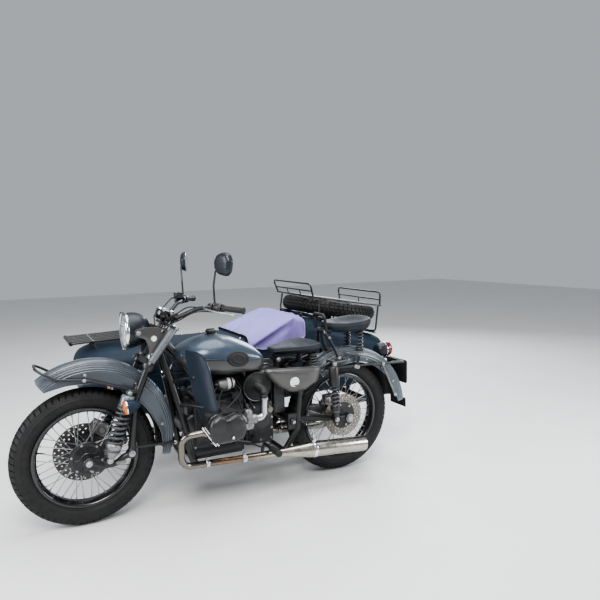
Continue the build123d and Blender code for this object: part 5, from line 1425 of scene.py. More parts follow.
# finned cylinders, heads and two-lobed rocker covers
p = Piece()
CX, CZ = 850, 478
LOBES = [(946, 458), (946, 505), (930, 540), (896, 554), (866, 546), (852, 532), (838, 540), (806, 550), (770, 538), (750, 505), (746, 458), (758, 424), (800, 410), (900, 410), (936, 424)]
lob = rounded(LOBES, [26, 26, 30, 24, 18, 10, 18, 24, 30, 26, 26, 22, 16, 16, 22], 5)
for s in (-1, 1):
    p.add(lathe([(0, 104), (57, 104), (57, 268), (0, 268)], (CX, 0, CZ), (0, s, 0), 48), "engine_black")
    for k in range(12):
        y = 122 + 11.6 * k
        g = 1.0 if k < 9 else 1.04
        o = rounded([(-82 * g, -62), (-60, -68 * g), (60, -68 * g), (82 * g, -62), (84 * g, 0), (80 * g, 60), (58, 68 * g), (-58, 68 * g), (-80 * g, 60), (-84 * g, 0)], 9, 3)
        p.add(plate(o, -2.6 if s > 0 else 2.6, (CX, s * y, CZ), (1, 0, 0), (0, 0, 1), 0.7, 1), "engine_black")
    p.add(rbox(CX - 70, CX + 70, min(s * 262, s * 326), max(s * 262, s * 326), CZ - 54, CZ + 58, 12, 3), "engine_black")
    for k in range(5):
        y = 268 + 11.6 * k
        o = rounded([(-92, -58), (-70, -70), (70, -70), (92, -58), (94, 0), (90, 62), (64, 73), (-64, 73), (-90, 62), (-94, 0)], 12, 3)
        p.add(plate(o, -3.0 if s > 0 else 3.0, (CX, s * y, CZ), (1, 0, 0), (0, 0, 1), 0.8, 1), "engine_black")
    rows = []
    c = A(848, 470)
    for k, y in ((0.97, 322), (1.0, 324), (1.0, 331), (0.975, 333), (0.975, 350), (0.955, 360), (0.90, 369), (0.80, 374.6), (0.66, 376.4), (0.3, 377.0)):
        rows.append([(c[0] + (x - c[0]) * k, s * y, c[1] + (z - c[1]) * k) for x, z in lob])
    p.add(stack(rows), "engine_black")
    for x in (803, 895):
        p.add(lathe([(0, -4), (40, -4), (39, 2), (34, 6), (24, 8.6), (0, 9.6)], (x, s * 369, 498), (0, s, 0), 40), "engine_black")
    # ribs between the lobes, light lower edge, centre nut in a ring
    for x in (838, 846, 854, 862):
        p.add(rbox(x - 1.6, x + 1.6, min(s * 366, s * 378.6), max(s * 366, s * 378.6), 470, 524, 1.2, 2), "engine_black")
    p.add(tube([(930, s * 330, 414), (900, s * 334, 405), (800, s * 334, 405), (768, s * 330, 414)], 3.4, 10), "cast_alu")
    p.add(lathe([(9, 0), (14, 0), (15, 2), (14, 6), (9, 6)], (829, s * 373, 437), (0, s, 0), 32, True), "gloss_black")
    p.add(hexbolt((829, s * 374, 437), (0, s, 0), 7.5, 6), "chrome")
    for x, z in ((760, 440), (936, 440), (762, 520), (932, 520)):
        p.add(hexbolt((x, s * 330, z), (0, s, 0), 5, 4), "zinc")
    # pushrod tubes under the barrel, two bright stays in front of the head
    for x in (824, 876):
        p.add(tube([(x, s * 104, CZ - 66), (x, s * 268, CZ - 62)], 9, 18), "steel")
        p.add(tube([(x, s * 104, CZ - 66), (x, s * 122, CZ - 65.6)], 12, 18), "rubber_black")
    for dx in (0, 13):
        p.add(tube([(976 - dx, s * 350, 502), (912 - dx, s * 360, 404)], 3.8, 12), "chrome")
        p.add(dome((976 - dx, s * 350, 502), (0.6, 0, 0.8), 5.5, 4), "zinc")
    # spark plug and cap
    p.add(tube([(CX + 6, s * 290, CZ + 66), (CX + 20, s * 292, CZ + 92)], [9, 8], 16), "rubber_black")
    p.add(tube(spline([(CX + 20, s * 292, CZ + 92), (CX + 10, s * 262, CZ + 112), (CX - 30, s * 170, CZ + 118), (CX - 70, s * 110, CZ + 140)], 8), 4, 10), "rubber_black")
p.done("finned_cylinders", "root", ["cylinders"])

# ------------------------------------------------------------------ carburettors, elbows, air box
p = Piece()
for s in (-1, 1):
    p.add(tube([(778, s * 272, 503), (756, s * 266, 494), (738, s * 259, 487)], [25, 21, 25], 28), "cast_alu")
    d = unit(A(-90, s * -4, -6))
    o = A(745, s * 256, 480)
    p.add(lathe([(0, 0), (27, 0), (29, 3), (29, 10), (24, 14), (24, 30), (30, 34), (30, 60), (24, 66), (26, 72), (26, 88), (0, 88)], o, d, 36), "cast_alu")
    p.add(rbox(678, 726, s * 255 - 26, s * 255 + 26, 428, 462, 8, 3), "cast_alu")
    p.add(lathe([(0, 0), (25, 0), (26, 3), (26, 24), (20, 36), (8, 40), (0, 40)], (702, s * 255, 496), (0.05, 0, 1), 32), "cast_alu")
    p.add(lathe([(0, 0), (8, 0), (8, 10), (5, 14), (0, 14)], (702, s * 255, 534), (0.05, 0, 1), 18), "plastic_black")
    for x, z in ((684, 450), (720, 450)):
        p.add(hexbolt((x, s * (255 + 26), z), (0, s, 0), 4.5, 3), "zinc")
    path = fillet([(664, s * 252, 474), (610, s * 252, 478), (605, s * 249, 584)], [42], 7)
    p.add(tube(path, 18.5, 28), "steel")
    p.add(lathe([(18, -7), (24, -7), (25, -5), (25, 5), (24, 7), (18, 7)], (660, s * 252, 474.4), (1, 0, 0), 32, True), "rubber_black")
    p.add(lathe([(18, -7), (23, -7), (23.6, -5), (23.6, 5), (23, 7), (18, 7)], (605, s * 249, 574), (0, 0, 1), 32, True), "zinc")
    # corrugated rubber duct to the air box
    q = resample(fillet([(605, s * 249, 566), (603, s * 246, 612), (596, s * 118, 616)], [34], 6), 60)
    rr = 21 + 2.2 * np.sin(np.arange(60) * 1.15)
    p.add(tube(q, rr, 28), "rubber_black")
    # ribbed end cover of the air box
    prof = [(0, -8), (77, -8), (78, 0)]
    for k in range(7):
        r = 74 - 8 * k
        h = 6 + 5.2 * k - 0.22 * k * k
        prof += [(r + 2.5, h), (r, h + 2.6), (r - 3.4, h + 2.6), (r - 4.6, h + 0.6)]
    prof += [(14, 36), (0, 37)]
    p.add(lathe(prof, (580, s * 112, 604), (0, s, 0), 56), "plastic_black")
    p.add(lathe([(76, -12), (81, -12), (82, -9), (82, -3), (81, 0), (76, 0)], (580, s * 108, 604), (0, s, 0), 56, True), "zinc")
    p.add(lathe([(0, 0), (17, 0), (19, 3), (19, 12), (15, 18), (0, 19)], (530, s * 148, 482), (0, s, 0), 32), "disc_brown")
    p.add(rod((530, s * 92, 482), (530, s * 150, 482), 11, seg=20), "plastic_black")
p.add(lathe([(0, -108), (76, -108), (78, -104), (78, 104), (76, 108), (0, 108)], (580, 0, 604), (0, 1, 0), 56), "plastic_black")
p.add(rbox(560, 600, -100, 100, 676, 684, 3), "plastic_black")
p.done("carburettors_and_air_box", "root", ["intake"])

# battery box with straps
p = Piece()
p.add(rbox(405, 475, -93, 93, 432, 612, 8, 3), "plastic_black")
p.add(rbox(402, 478, -95, 95, 606, 640, 7, 3), "plastic_black")
for s in (-1, 1):
    p.add(rbox(401, 479, s * 54 - 9, s * 54 + 9, 430, 643, 2, 2), "powder")
    p.add(dome((440, s * 54, 643), (0, 0, 1), 7, 5), "zinc")
    for z in (460, 500, 540, 580):
        p.add(rbox(412, 468, min(s * 92, s * 95), max(s * 92, s * 95), z - 3, z + 3, 1, 1), "plastic_black")
p.done("battery_case", "root", ["battery_box"])

# ------------------------------------------------------------------ exhausts
p = Piece()
for s in (-1, 1):
    path = fillet([(892, s * 298, 430), (960, s * 300, 462), (1060, s * 268, 446), (1050, s * 232, 280), (900, s * 218, 270), (500, s * 224.8, 252.4)], [26, 60, 60, 60], 4)
    p.add(tube(path, 17, 30), "exhaust")
    # finned nut at the head
    a = path[0]
    d = unit(path[1] - path[0])
    prof = [(17, 6)]
    for k in range(4):
        prof += [(26, 8 + 7 * k), (26, 11 + 7 * k), (21, 12.4 + 7 * k), (21, 14 + 7 * k)]
    prof += [(17, 38)]
    p.add(lathe(prof, a + d * 4, d, 32, True), "cast_alu")
    S0, SD2 = A(318, s * 230, 241), unit(A(-352, s * 10, -22))
    n = 352 / -SD2[0] if SD2[0] else 352
    n = abs(n)
    p.add(lathe([(17.5, -196), (22, -192), (22.5, -184), (26, -150), (33, -90), (40, -36), (42.6, -12), (43, 0), (43, n - 8), (42, n - 3), (38, n - 1), (25, n + 1), (24, n - 4), (24, n - 60), (38, n - 64), (40, 0), (36, -40), (20, -180)], S0, SD2, 56, True), "exhaust")
    # clamps: joint at the front of the lower run, at the silencer's neck, and the band that carries it
    for x, w, r in ((915, 8, 19.5), (712, 11, 20.5)):
        k = np.argmin(abs(path[:, 0] - x) + (path[:, 2] > 330) * 999)
        dd = unit(path[min(k + 1, len(path) - 1)] - path[k - 1])
        c = path[k] + dd * ((x - path[k][0]) / dd[0])
        p.add(lathe([(16.8, -w), (r, -w), (r + 1, -w + 2), (r + 1, w - 2), (r, w), (16.8, w)], c, dd, 36, True), "steel")
        p.add(rbox(c[0] - 7, c[0] + 7, c[1] - 5, c[1] + 5, c[2] + 17, c[2] + 32, 2), "steel")
        p.add(hexbolt((c[0], c[1] + s * 5, c[2] + 25), (0, s, 0), 5, 4), "zinc")
    c = S0 + SD2 * 17
    p.add(lathe([(42.8, -9), (44.6, -9), (45, -7), (45, 7), (44.6, 9), (42.8, 9)], c, SD2, 56, True), "chrome")
    # strap up to the frame
    p.add(tube(fillet([c + A(0, s * 4, 42), c + A(2, s * 0, 96), A(318, s * 176, 372), A(330, s * 140, 380)], [30, 30]), 6, 12, flat=0.6), "chrome")
    p.add(hexbolt(c + A(0, s * 8, 52), (0, s, 0), 9, 6), "chrome")
    p.add(lathe([(0, 0), (13, 0), (15, 3), (15, 12), (11, 16), (0, 16)], A(318, s * 164, 372), (0, s, 0), 28), "rubber_black")
p.done("exhaust_pipes", "root", ["exhausts"])

# ------------------------------------------------------------------ footrests and pedals
p = Piece()
for s in (-1, 1):
    p.add(tube(fillet([(570, s * 126, 226), (570, s * 140, 262), (570, s * 160, 298), (570, s * 262, 300)], [20, 24]), 9, 18), "powder")
    prof = [(0, -2), (14, -2), (17, 2)]
    for k in range(7):
        prof += [(17.6, 6 + 12 * k), (17.6, 13 + 12 * k), (15.2, 14 + 12 * k), (15.2, 16.6 + 12 * k)]
    prof += [(17.6, 90), (19, 93), (17, 98), (10, 101), (0, 102)]
    p.add(lathe(prof, (570, s * 256, 300), (0, s, 0), 32), "rubber_black")
for pts, s in (([(600, 88, 330), (650, 158, 318), (760, 170, 352), (760, 232, 352)], 1), ([(560, -88, 322), (600, -165, 318), (740, -172, 352), (740, -235, 352)], -1)):
    q = fillet(pts, [14, 14], 8)
    p.add(tube(q, 7, 14), "powder")
    e = A(pts[-1])
    p.add(lathe([(0, -30), (10, -30), (11, -27), (11, 2), (9, 5), (0, 5)], e, (0, s, 0), 22), "rubber_black")
    p.add(lathe([(0, -9), (14, -9), (15, -7), (15, 7), (14, 9), (0, 9)], A(pts[0]) + A(0, s * 4, 0), (0, s, 0), 26), "powder")
p.done("footrest_rubbers", "root", ["footrests"])

# horn: ribbed round body with a slotted front
p = Piece()
hd = unit(A(26, 0, 8))
p.add(lathe([(0, -6), (14, -6), (22, 0), (29, 6), (30.5, 10), (30.5, 20), (29, 23), (24, 25), (23, 23), (18, 22), (16, 26), (8, 28), (0, 28)], (1043, 0, 716), hd, 44), "gloss_black")
p.add(lathe([(26, 22), (30.5, 22), (31, 25), (28, 27), (26, 25)], (1043, 0, 716), hd, 44, True), "chrome")
p.add(tube([(946, 0, 703), (1000, 0, 709), (1046, 0, 716)], [8, 8, 10], 16), "powder")
for k in range(8):
    a = radians(45 * k)
    q = A(1043, 0, 716) + hd * 24
    w = A(0, cos(a), 0) + np.cross(hd, A(0, 1, 0)) * sin(a)
    p.add(tube([q + w * 10, q + w * 21], 1.6, 6), "powder")
p.done("horn_body", "root", ["horn"])

# ------------------------------------------------------------------ saddles: dished, with a rolled rim
def saddle_add(p, outline, c, zr, z0, dish, lip, mat, nose=0.0):
    out = rounded(outline, 30, 6)
    rows = []
    ks = [(0.05, -1), (0.5, -1), (0.8, -0.9), (0.93, -0.6), (0.985, -0.3), (1.0, -0.14), (1.0, 0.1), (0.99, 0.5), (0.97, 0.85), (0.945, 1.0), (0.915, 0.92), (0.87, 0.6),
          (0.78, 0.1), (0.65, -0.35), (0.5, -0.65), (0.3, -0.85), (0.1, -0.95), (0.02, -0.97)]
    for n, (k, h) in enumerate(ks):
        row = []
        for x, y in out:
            px, py = c + (x - c) * k, y * k
            top = np.interp(px, *zip(*zr))
            if n < 6:
                z = z0 + (top - lip * 2 - z0) * (1 + h) if h > -1 else z0
            else:
                z = top + (h * lip if h > 0 else h * dish)
                if nose:
                    z += nose * np.exp(-(py / 20) ** 2) * np.clip((px - c) / 120, 0, 1) * (1 - k)
            row.append((px, py, z))
        rows.append(row)
    p.add(stack(rows), mat)


p = Piece()
saddle_add(p, [(456, 30), (446, 46), (410, 62), (320, 112), (262, 146), (210, 144), (176, 110), (160, 50), (160, -50), (176, -110), (210, -144), (262, -146), (320, -112), (410, -62), (446, -46), (456, -30)],
           270, [(160, 803), (230, 806), (320, 796), (456, 786)], 756, 20, 6, "saddle", 40)
# short skirt bead below the rim
out = rounded([(456, 30), (446, 46), (410, 62), (320, 112), (262, 146), (210, 144), (176, 110), (160, 50), (160, -50), (176, -110), (210, -144), (262, -146), (320, -112), (410, -62), (446, -46), (456, -30)], 30, 6)
q = [A(270 + (x - 270) * 0.99, y * 0.99, np.interp(x, [160, 230, 320, 456], [803, 806, 796, 786]) - 13) for x, y in out]
p.add(tube(q, 4.2, 12, closed=True), "saddle")
p.done("rider_saddle_top", "root", ["rider_saddle"], 60)

p = Piece()
PO = [(90, 40), (78, 66), (0, 114), (-90, 134), (-150, 124), (-188, 84), (-198, 30), (-198, -30), (-188, -84), (-150, -124), (-90, -134), (0, -114), (78, -66), (90, -40)]
saddle_add(p, PO, -70, [(-198, 926), (-120, 915), (-30, 905), (90, 906)], 852, 22, 7, "saddle", 0)
out = rounded(PO, 30, 6)
p.add(tube([A(-70 + (x + 70) * 0.99, y * 0.99, np.interp(x, [-198, -120, -30, 90], [926, 915, 905, 906]) - 13) for x, y in out], 4.6, 12, closed=True), "saddle")
p.done("pillion_saddle_top", "root", ["pillion_saddle"], 60)

# carriers and coil springs of both saddles
p = Piece()
p.add(rbox(190, 440, -30, 30, 742, 754, 4), "powder")
p.add(rbox(205, 240, -92, 92, 742, 754, 4), "powder")
p.add(tube([(420, -44, 726), (420, 44, 726)], 13, 24), "powder")
p.add(tube([(420, 0, 690), (420, 0, 746)], 12, 24), "powder")
p.add(tube([(440, 0, 748), (424, 0, 744), (420, 0, 730)], 9, 16), "powder")
for s in (-1, 1):
    p.add(hexbolt((420, s * 44, 726), (0, s, 0), 11, 7), "zinc")
    p.add(coil((222, s * 92, 676), (222, s * 92, 752), 19.5, 4.6, 5.5, 14, 26), "spring")
    p.add(lathe([(0, 0), (23, 0), (25, 3), (25, 8), (20, 10), (0, 10)], (222, s * 92, 672), (0, 0, 1), 36), "powder")
    p.add(lathe([(0, 0), (23, 0), (25, 3), (25, 8), (20, 10), (0, 10)], (222, s * 92, 756), (0, 0, -1), 36), "powder")
    p.add(tube([(222, s * 92, 682), (222, s * 92, 748)], 7, 16), "powder")
    p.add(tube([(222, s * 92, 676), (262, s * 120, 666)], 10, 18), "powder")
    p.add(hexbolt((222, s * 92, 766 - 2), (0, 0, 1), 7, 4), "zinc")
    p.add(hexbolt((262, s * 126, 664), (0.3, s, 0), 9, 6), "zinc")
p.add(rbox(-165, 78, -28, 28, 866, 882, 5), "powder")
p.add(rbox(-140, -90, -96, 96, 866, 882, 5), "powder")
p.add(rbox(60, 112, -22, 22, 864, 880, 5), "powder")
p.add(tube([(110, -46, 862), (110, 46, 862)], 12, 24), "powder")
p.add(tube(fillet([(110, 0, 862), (98, 0, 800), (76, 0, 740)], [60]), 11, 20), "powder")
for s in (-1, 1):
    p.add(hexbolt((110, s * 46, 862), (0, s, 0), 11, 7), "zinc")
    p.add(tube([(110, s * 40, 862), (84, s * 86, 786), (54, s * 104, 708)], 9, 18), "powder")
    p.add(hexbolt((54, s * 110, 706), (0, s, 0), 10, 7), "zinc")
    p.add(hexbolt((96, s * 72, 826), (0.2, s, 0.2), 7, 5), "zinc")
    p.add(coil((-115, s * 70, 736), (-115, s * 70, 866), 19.5, 4.8, 7, 12, 26), "spring")
    p.add(lathe([(0, 0), (22, 0), (25, 3), (25, 8), (19, 11), (0, 11)], (-115, s * 70, 732), (0, 0, 1), 36), "powder")
    p.add(lathe([(0, 0), (22, 0), (25, 3), (25, 8), (19, 11), (0, 11)], (-115, s * 70, 872), (0, 0, -1), 36), "powder")
    p.add(tube([(-115, s * 70, 740), (-115, s * 70, 866)], 7, 16), "powder")
p.done("saddle_spring_sets", "root", ["saddle_springs"])

# rubber hand loop with moulded grip rings
p = Piece()
gp = resample(fillet([(88, 50, 862), (112, 62, 866), (128, 66, 962), (128, -66, 962), (112, -62, 866), (88, -50, 862)], [14, 26, 26, 14], 6), 150)
rr = np.full(150, 8.6)
for k in range(150):
    if abs(gp[k][1]) < 58 and gp[k][2] > 940:
        rr[k] = 9.6 + 1.0 * sin(gp[k][1] * 0.55)
p.add(tube(gp, rr, 20), "rubber_black")
for s in (-1, 1):
    p.add(lathe([(0, 0), (12, 0), (13, 3), (13, 10), (9, 14), (0, 14)], (88, s * 50, 862), (-0.95, -0.2 * s, -0.1), 24), "rubber_black")
    p.add(hexbolt((84, s * 49, 862), (-1, 0, 0), 7, 5), "zinc")
p.done("hand_loop_rubber", "root", ["grab_handle"])

# ------------------------------------------------------------------ rear mudguard, rails, lamp and plate
RG = (-62, 346)
p = Piece()
guard_add(p, RG[0], RG[1], 402, 84, [(50, 70), (70, 82), (110, 84), (150, 82), (168, 74), (174, 66)], 50, 174, "paint_guard", seg=54, ribs=8, sh=56, rib_h=4.0)
flap_add(p, RG[0], RG[1], 400, 80, 173.4, 182, "rubber_black")
for s in (-1, 1):
    for a in (62, 84, 106, 128, 150):
        q = A(RG[0] + (402 - 62) * cos(radians(a)), s * 84, RG[1] + (402 - 62) * sin(radians(a)))
        p.add(hexbolt(q, (0, s, 0), 6, 4), "zinc")
p.add(tube([A(RG[0] + 403 * cos(radians(a)), 0, RG[1] + 403 * sin(radians(a))) for a in np.linspace(52, 172, 50)], 2.0, 8), "paint_grey")
for y in (-50, 0, 50):
    p.add(hexbolt((RG[0] - 401, y, RG[1] + 20), (-1, 0, 0.05), 6, 4), "zinc")
p.done("rear_guard_pressing", "root", ["rear_mudguard"], 50)

p = Piece()
for s in (-1, 1):
    y = s * 104
    p.add(tube(fillet([(86, y, 646), (18, y, 729), (-98, y, 708), (-66, y, 641)], [24, 20], 6), 8, 18), "powder")
    p.add(tube(fillet([(180, y, 655), (-200, y, 646), (-424, s * 100, 634)], [200], 8), 8, 18), "powder")
    p.add(tube([(-262, s * 101, 640), (-300, s * 100, 560), (-368, s * 92, 425)], 6.5, 16), "cast_alu")
    p.add(tube(fillet([(-424, s * 40, 634), (-440, s * 40, 628), (-449, s * 40, 606)], [12]), 6, 14), "powder")
    for x, z in ((84, 648), (-76, 640), (-60, 646), (170, 655), (-262, 641)):
        p.add(lathe([(0, 0), (11, 0), (12, 2), (12, 4), (0, 4)], (x, s * 111, z), (0, s, 0), 26), "zinc")
        p.add(hexbolt((x, s * 114, z), (0, s, 0), 8, 6), "zinc")
    p.add(lathe([(0, 0), (10, 0), (11, 2), (9, 5), (0, 5)], (-366, s * 97, 430), (0, s, 0), 24), "zinc")
p.add(tube([(-424, -100, 634), (-424, 100, 634)], 8, 18), "powder")
p.done("rear_rail_tubes", "root", ["rear_rails"])

p = Piece()
ld = unit(A(-42, 0, 3))
p.add(lathe([(0, 0), (24, 0), (36, 6), (41, 16), (44, 40), (46, 56), (46, 62), (43, 64), (40, 62), (0, 62)], (-286, 0, 703), ld, 48), "shell_black")
p.add(lathe([(40, 60), (45.5, 62), (46, 74), (46, 86), (43, 96), (34, 103), (18, 106.6), (0, 107.6), (0, 62), (38, 62)], (-286, 0, 703), ld, 48), "lens_red")
p.add(lathe([(44, 57), (46.8, 58), (47.2, 60), (46.6, 63), (44, 64)], (-286, 0, 703), ld, 48, True), "chrome")
p.add(rbox(-344, -296, -22, 22, 650, 682, 5), "powder")
for s in (-1, 1):
    p.add(hexbolt((-320, s * 21, 664), (0, s, 0), 5, 4), "zinc")
    p.add(dome(A(-286, 0, 703) + ld * 104 + A(0, s * 18, 0), ld, 3.4, 2.5), "zinc")
p.done("tail_lamp_parts", "root", ["tail_lamp"])

p = Piece()
out = rounded([(-105, 492), (105, 492), (105, 640), (-105, 640)], 12, 6)
p.add(plate(out, 4, (-450, 0, 0), (0, 1, 0), (0, 0, 1), 1, 2), "plastic_black")
out2 = rounded([(-101, 496), (101, 496), (101, 636), (-101, 636)], 9, 6)
p.add(tube([A(-452, y, z) for y, z in out2], 1.8, 8, closed=True), "plastic_black")
for s in (-1, 1):
    p.add(dome((-451.5, s * 75, 622), (-1, 0, 0), 6.5, 3.5), "zinc")
    p.add(hexbolt((-447, s * 75, 622), (1, 0, 0), 5, 4), "zinc")
p.done("blank_plate", "root", ["number_plate"])

# ------------------------------------------------------------------ swingarm, final drive, rear shocks
p = Piece()
p.add(tube([(382, -150, 385), (382, 150, 385)], 15, 26), "powder")
p.add(tube([(382, -110, 385), (382, 110, 385)], 23, 32), "powder")
p.add(tube(fillet([(382, 92, 385), (250, 104, 372), (0, 112, 345)], [80], 8), 17.5, 24), "powder")
p.add(tube(fillet([(382, -92, 385), (300, -112, 376), (60, -116, 345)], [60], 8), 19.5, 24), "powder")
for s in (-1, 1):
    p.add(lathe([(0, 0), (15, 0), (18, 3), (18, 10), (14, 14), (0, 14)], (382, s * 138, 385), (0, s, 0), 30), "powder")
    p.add(hexbolt((382, s * 150, 385), (0, s, 0), 11, 8), "zinc")
    p.add(tube([(110, s * 112, 364), (110, s * 162, 362)], 13, 22), "powder")
    p.add(hexbolt((110, s * 174, 362), (0, s, 0), 11, 7), "zinc")
p.add(lathe([(10.2, -21), (24, -21), (26, -17), (26, 17), (24, 21), (10.2, 21)], (0, 113, 345), (0, 1, 0), 36, True), "powder")
p.add(tube([(0, -62, 345), (0, 148, 345)], 10, 22), "steel")
p.add(hexbolt((0, 134, 345), (0, 1, 0), 19, 13), "zinc")
# shaft housing, bevel box with ribs, filler and cover bolts
p.add(tube([(80, -92, 351), (200, -92, 361)], [36, 30], 36), "cast_alu")
p.add(tube([(196, -92, 360.6), (362, -92, 376)], [26, 24], 30), "rubber_black")
p.add(lathe([(0, 58), (86, 58), (92, 62), (92, 86), (88, 90), (88, 104), (84, 110), (60, 116), (58, 146), (52, 150), (0, 151)], (0, 0, 345), (0, -1, 0), 64), "cast_alu")
for k in range(10):
    a = radians(36 * k + 18)
    p.add(tube([(62 * cos(a), -112, 345 + 62 * sin(a)), (84 * cos(a), -108, 345 + 84 * sin(a))], 3, 8), "cast_alu")
    p.add(hexbolt((84 * cos(a + 0.3), -110, 345 + 84 * sin(a + 0.3)), (0, -1, 0), 5, 4), "zinc")
p.add(lathe([(0, 0), (12, 0), (12, 8), (8, 12), (0, 12)], (-52, -98, 410), (-0.6, 0, 0.8), 20), "zinc")
p.add(hexbolt((0, -150, 345), (0, -1, 0), 17, 9), "zinc")
# rear caliper and its bracket
out = rounded([(62, 420), (100, 420), (138, 434), (136, 486), (96, 488), (64, 466)], 9)
p.add(plate(out, 13, (0, 82, 0), (1, 0, 0), (0, 0, 1), 2.5), "cast_alu")
p.add(plate(out, 9, (0, 49, 0), (1, 0, 0), (0, 0, 1), 2.0), "cast_alu")
p.add(rbox(66, 134, 41, 82, 474, 488, 3), "cast_alu")
for x, z in ((84, 446), (114, 458)):
    p.add(lathe([(0, 0), (15, 0), (16, 2), (16, 4), (12, 7), (0, 7)], (x, 82, z), (0, 1, 0), 26), "cast_alu")
p.add(tube(spline([(100, 78, 486), (150, 92, 540), (240, 110, 540), (320, 118, 520)], 8), 4, 10), "rubber_black")
p.done("swingarm_forging", "root", ["swingarm"])

p = Piece()
for s in (-1, 1):
    shock(p, (126, s * 160, 692), (110, s * 160, 362), 29.5, 134, 22.5, 5.4, 8.5, 16, "engine_black", 14, "powder")
    p.add(hexbolt((126, s * 176, 692), (0, s, 0), 11, 7), "zinc")
p.done("rear_shock_springs", "root", ["rear_shocks"])

# ------------------------------------------------------------------ sidecar body
SY = -722.0
TUBN = np.array([(1425, 84, 582, 672, 44), (1421, 110, 556, 694, 54), (1411, 140, 528, 716, 66), (1390, 172, 497, 742, 84), (1350, 202, 452, 762, 98), (1290, 226, 410, 776, 108),
                 (1180, 247, 376, 781, 110), (1050, 262, 350, 782, 110), (860, 276, 340, 775, 105), (650, 285, 334, 769, 100), (480, 288, 334, 773, 96), (300, 290, 334, 792, 92),
                 (120, 290, 335, 838, 90), (0, 290, 336, 868, 88), (-60, 290, 338, 873, 88), (-240, 286, 344, 822, 88), (-420, 279, 352, 768, 88), (-560, 267, 384, 726, 88),
                 (-640, 254, 412, 703, 86), (-675, 242, 436, 688, 82), (-695, 226, 462, 672, 74), (-703, 206, 486, 656, 66), (-705, 186, 504, 642, 58)], float)[::-1]
# smooth curves through the sections (Catmull-Rom on unequal steps)
_tx = TUBN[:, 0]
_tm = np.gradient(TUBN[:, 1:], _tx, axis=0)


def tub_at(x):
    k = int(np.clip(np.searchsorted(_tx, x) - 1, 0, len(_tx) - 2))
    h = _tx[k + 1] - _tx[k]
    t = (x - _tx[k]) / h
    a, b = TUBN[k, 1:], TUBN[k + 1, 1:]
    return (2 * t ** 3 - 3 * t ** 2 + 1) * a + (t ** 3 - 2 * t ** 2 + t) * h * _tm[k] + (-2 * t ** 3 + 3 * t ** 2) * b + (t ** 3 - t ** 2) * h * _tm[k + 1]


def tub_row(x, inset=0.0, detail=True):
    hw, z0, z1, r = tub_at(x)
    hw, z0, z1, r = hw - inset, z0 + inset, z1 - inset, max(r - inset, 8)
    pts = []
    for y in np.linspace(-(hw - r), hw - r, 12)[:-1]:
        pts.append((y, z0))
    for a in np.linspace(-pi / 2, 0, 14)[:-1]:
        pts.append((hw - r + r * cos(a), z0 + r + r * sin(a)))
    for z in np.linspace(z0 + r, z1 - r, 34)[:-1]:
        w = hw
        if detail:
            # a pressed belt line along the side
            w += 3.0 * np.exp(-((z - (z0 + 0.60 * (z1 - z0))) / 5.0) ** 2) * float(np.clip((x + 640) / 60, 0, 1) * np.clip((1330 - x) / 60, 0, 1))
        pts.append((w, z))
    for a in np.linspace(0, pi / 2, 18)[:-1]:
        pts.append((hw - r + r * cos(a), z1 - r + r * sin(a)))
    for y in np.linspace(hw - r, -(hw - r), 16)[:-1]:
        # the top is slightly crowned ahead of the cockpit
        c = 6.0 * (1 - (y / (hw - r)) ** 2) * float(np.clip((x - 430) / 150, 0, 1)) if detail else 0
        pts.append((y, z1 + c))
    for a in np.linspace(pi / 2, pi, 18)[:-1]:
        pts.append((-(hw - r) + r * cos(a), z1 - r + r * sin(a)))
    for z in np.linspace(z1 - r, z0 + r, 34)[:-1]:
        w = hw
        if detail:
            w += 3.0 * np.exp(-((z - (z0 + 0.60 * (z1 - z0))) / 5.0) ** 2) * float(np.clip((x + 640) / 60, 0, 1) * np.clip((1330 - x) / 60, 0, 1))
        pts.append((-w, z))
    for a in np.linspace(pi, 1.5 * pi, 14)[:-1]:
        pts.append((-(hw - r) + r * cos(a), z0 + r + r * sin(a)))
    return [(x, SY + y, z) for y, z in pts]


def cut(ob, *others):
    # boolean difference, applied at once
    for o in others:
        m = ob.modifiers.new("cut", "BOOLEAN")
        m.operation, m.solver, m.object = "DIFFERENCE", "EXACT", o
    dg = bpy.context.evaluated_depsgraph_get()
    me = bpy.data.meshes.new_from_object(ob.evaluated_get(dg))
    ob.modifiers.clear()
    ob.data = me
    for o in others:
        bpy.data.objects.remove(o)
    return ob


def cutter(vf):
    return Piece().add(vf, "paint_dark").object("cutter")


xs = np.unique(np.r_[np.linspace(-705, -690, 5), np.linspace(-690, 1380, 100), np.linspace(1380, 1425, 10), 0, 390])
shell = Piece().add(stack([tub_row(x) for x in xs]), "paint_dark").object("tub_shell", 50)
xi = np.unique(np.r_[np.linspace(-690, 1384, 60)])
hollow = cutter(stack([tub_row(x, 12, False) for x in xi]))
out = rounded([(4, SY - 228), (388, SY - 228), (388, SY + 228), (4, SY + 228)], 60, 8)
hole = cutter(stack([[(x, y, 640) for x, y in out], [(x, y, 1000) for x, y in out]]))
out = rounded([(-608, SY - 198), (-82, SY - 198), (-82, SY + 198), (-608, SY + 198)], 40, 8)
hole2 = cutter(stack([[(x, y, 600) for x, y in out], [(x, y, 1000) for x, y in out]]))
cut(shell, hollow, hole, hole2)
bm = bmesh.new()
bm.from_mesh(shell.data)
bmesh.ops.dissolve_degenerate(bm, edges=bm.edges, dist=1e-6)
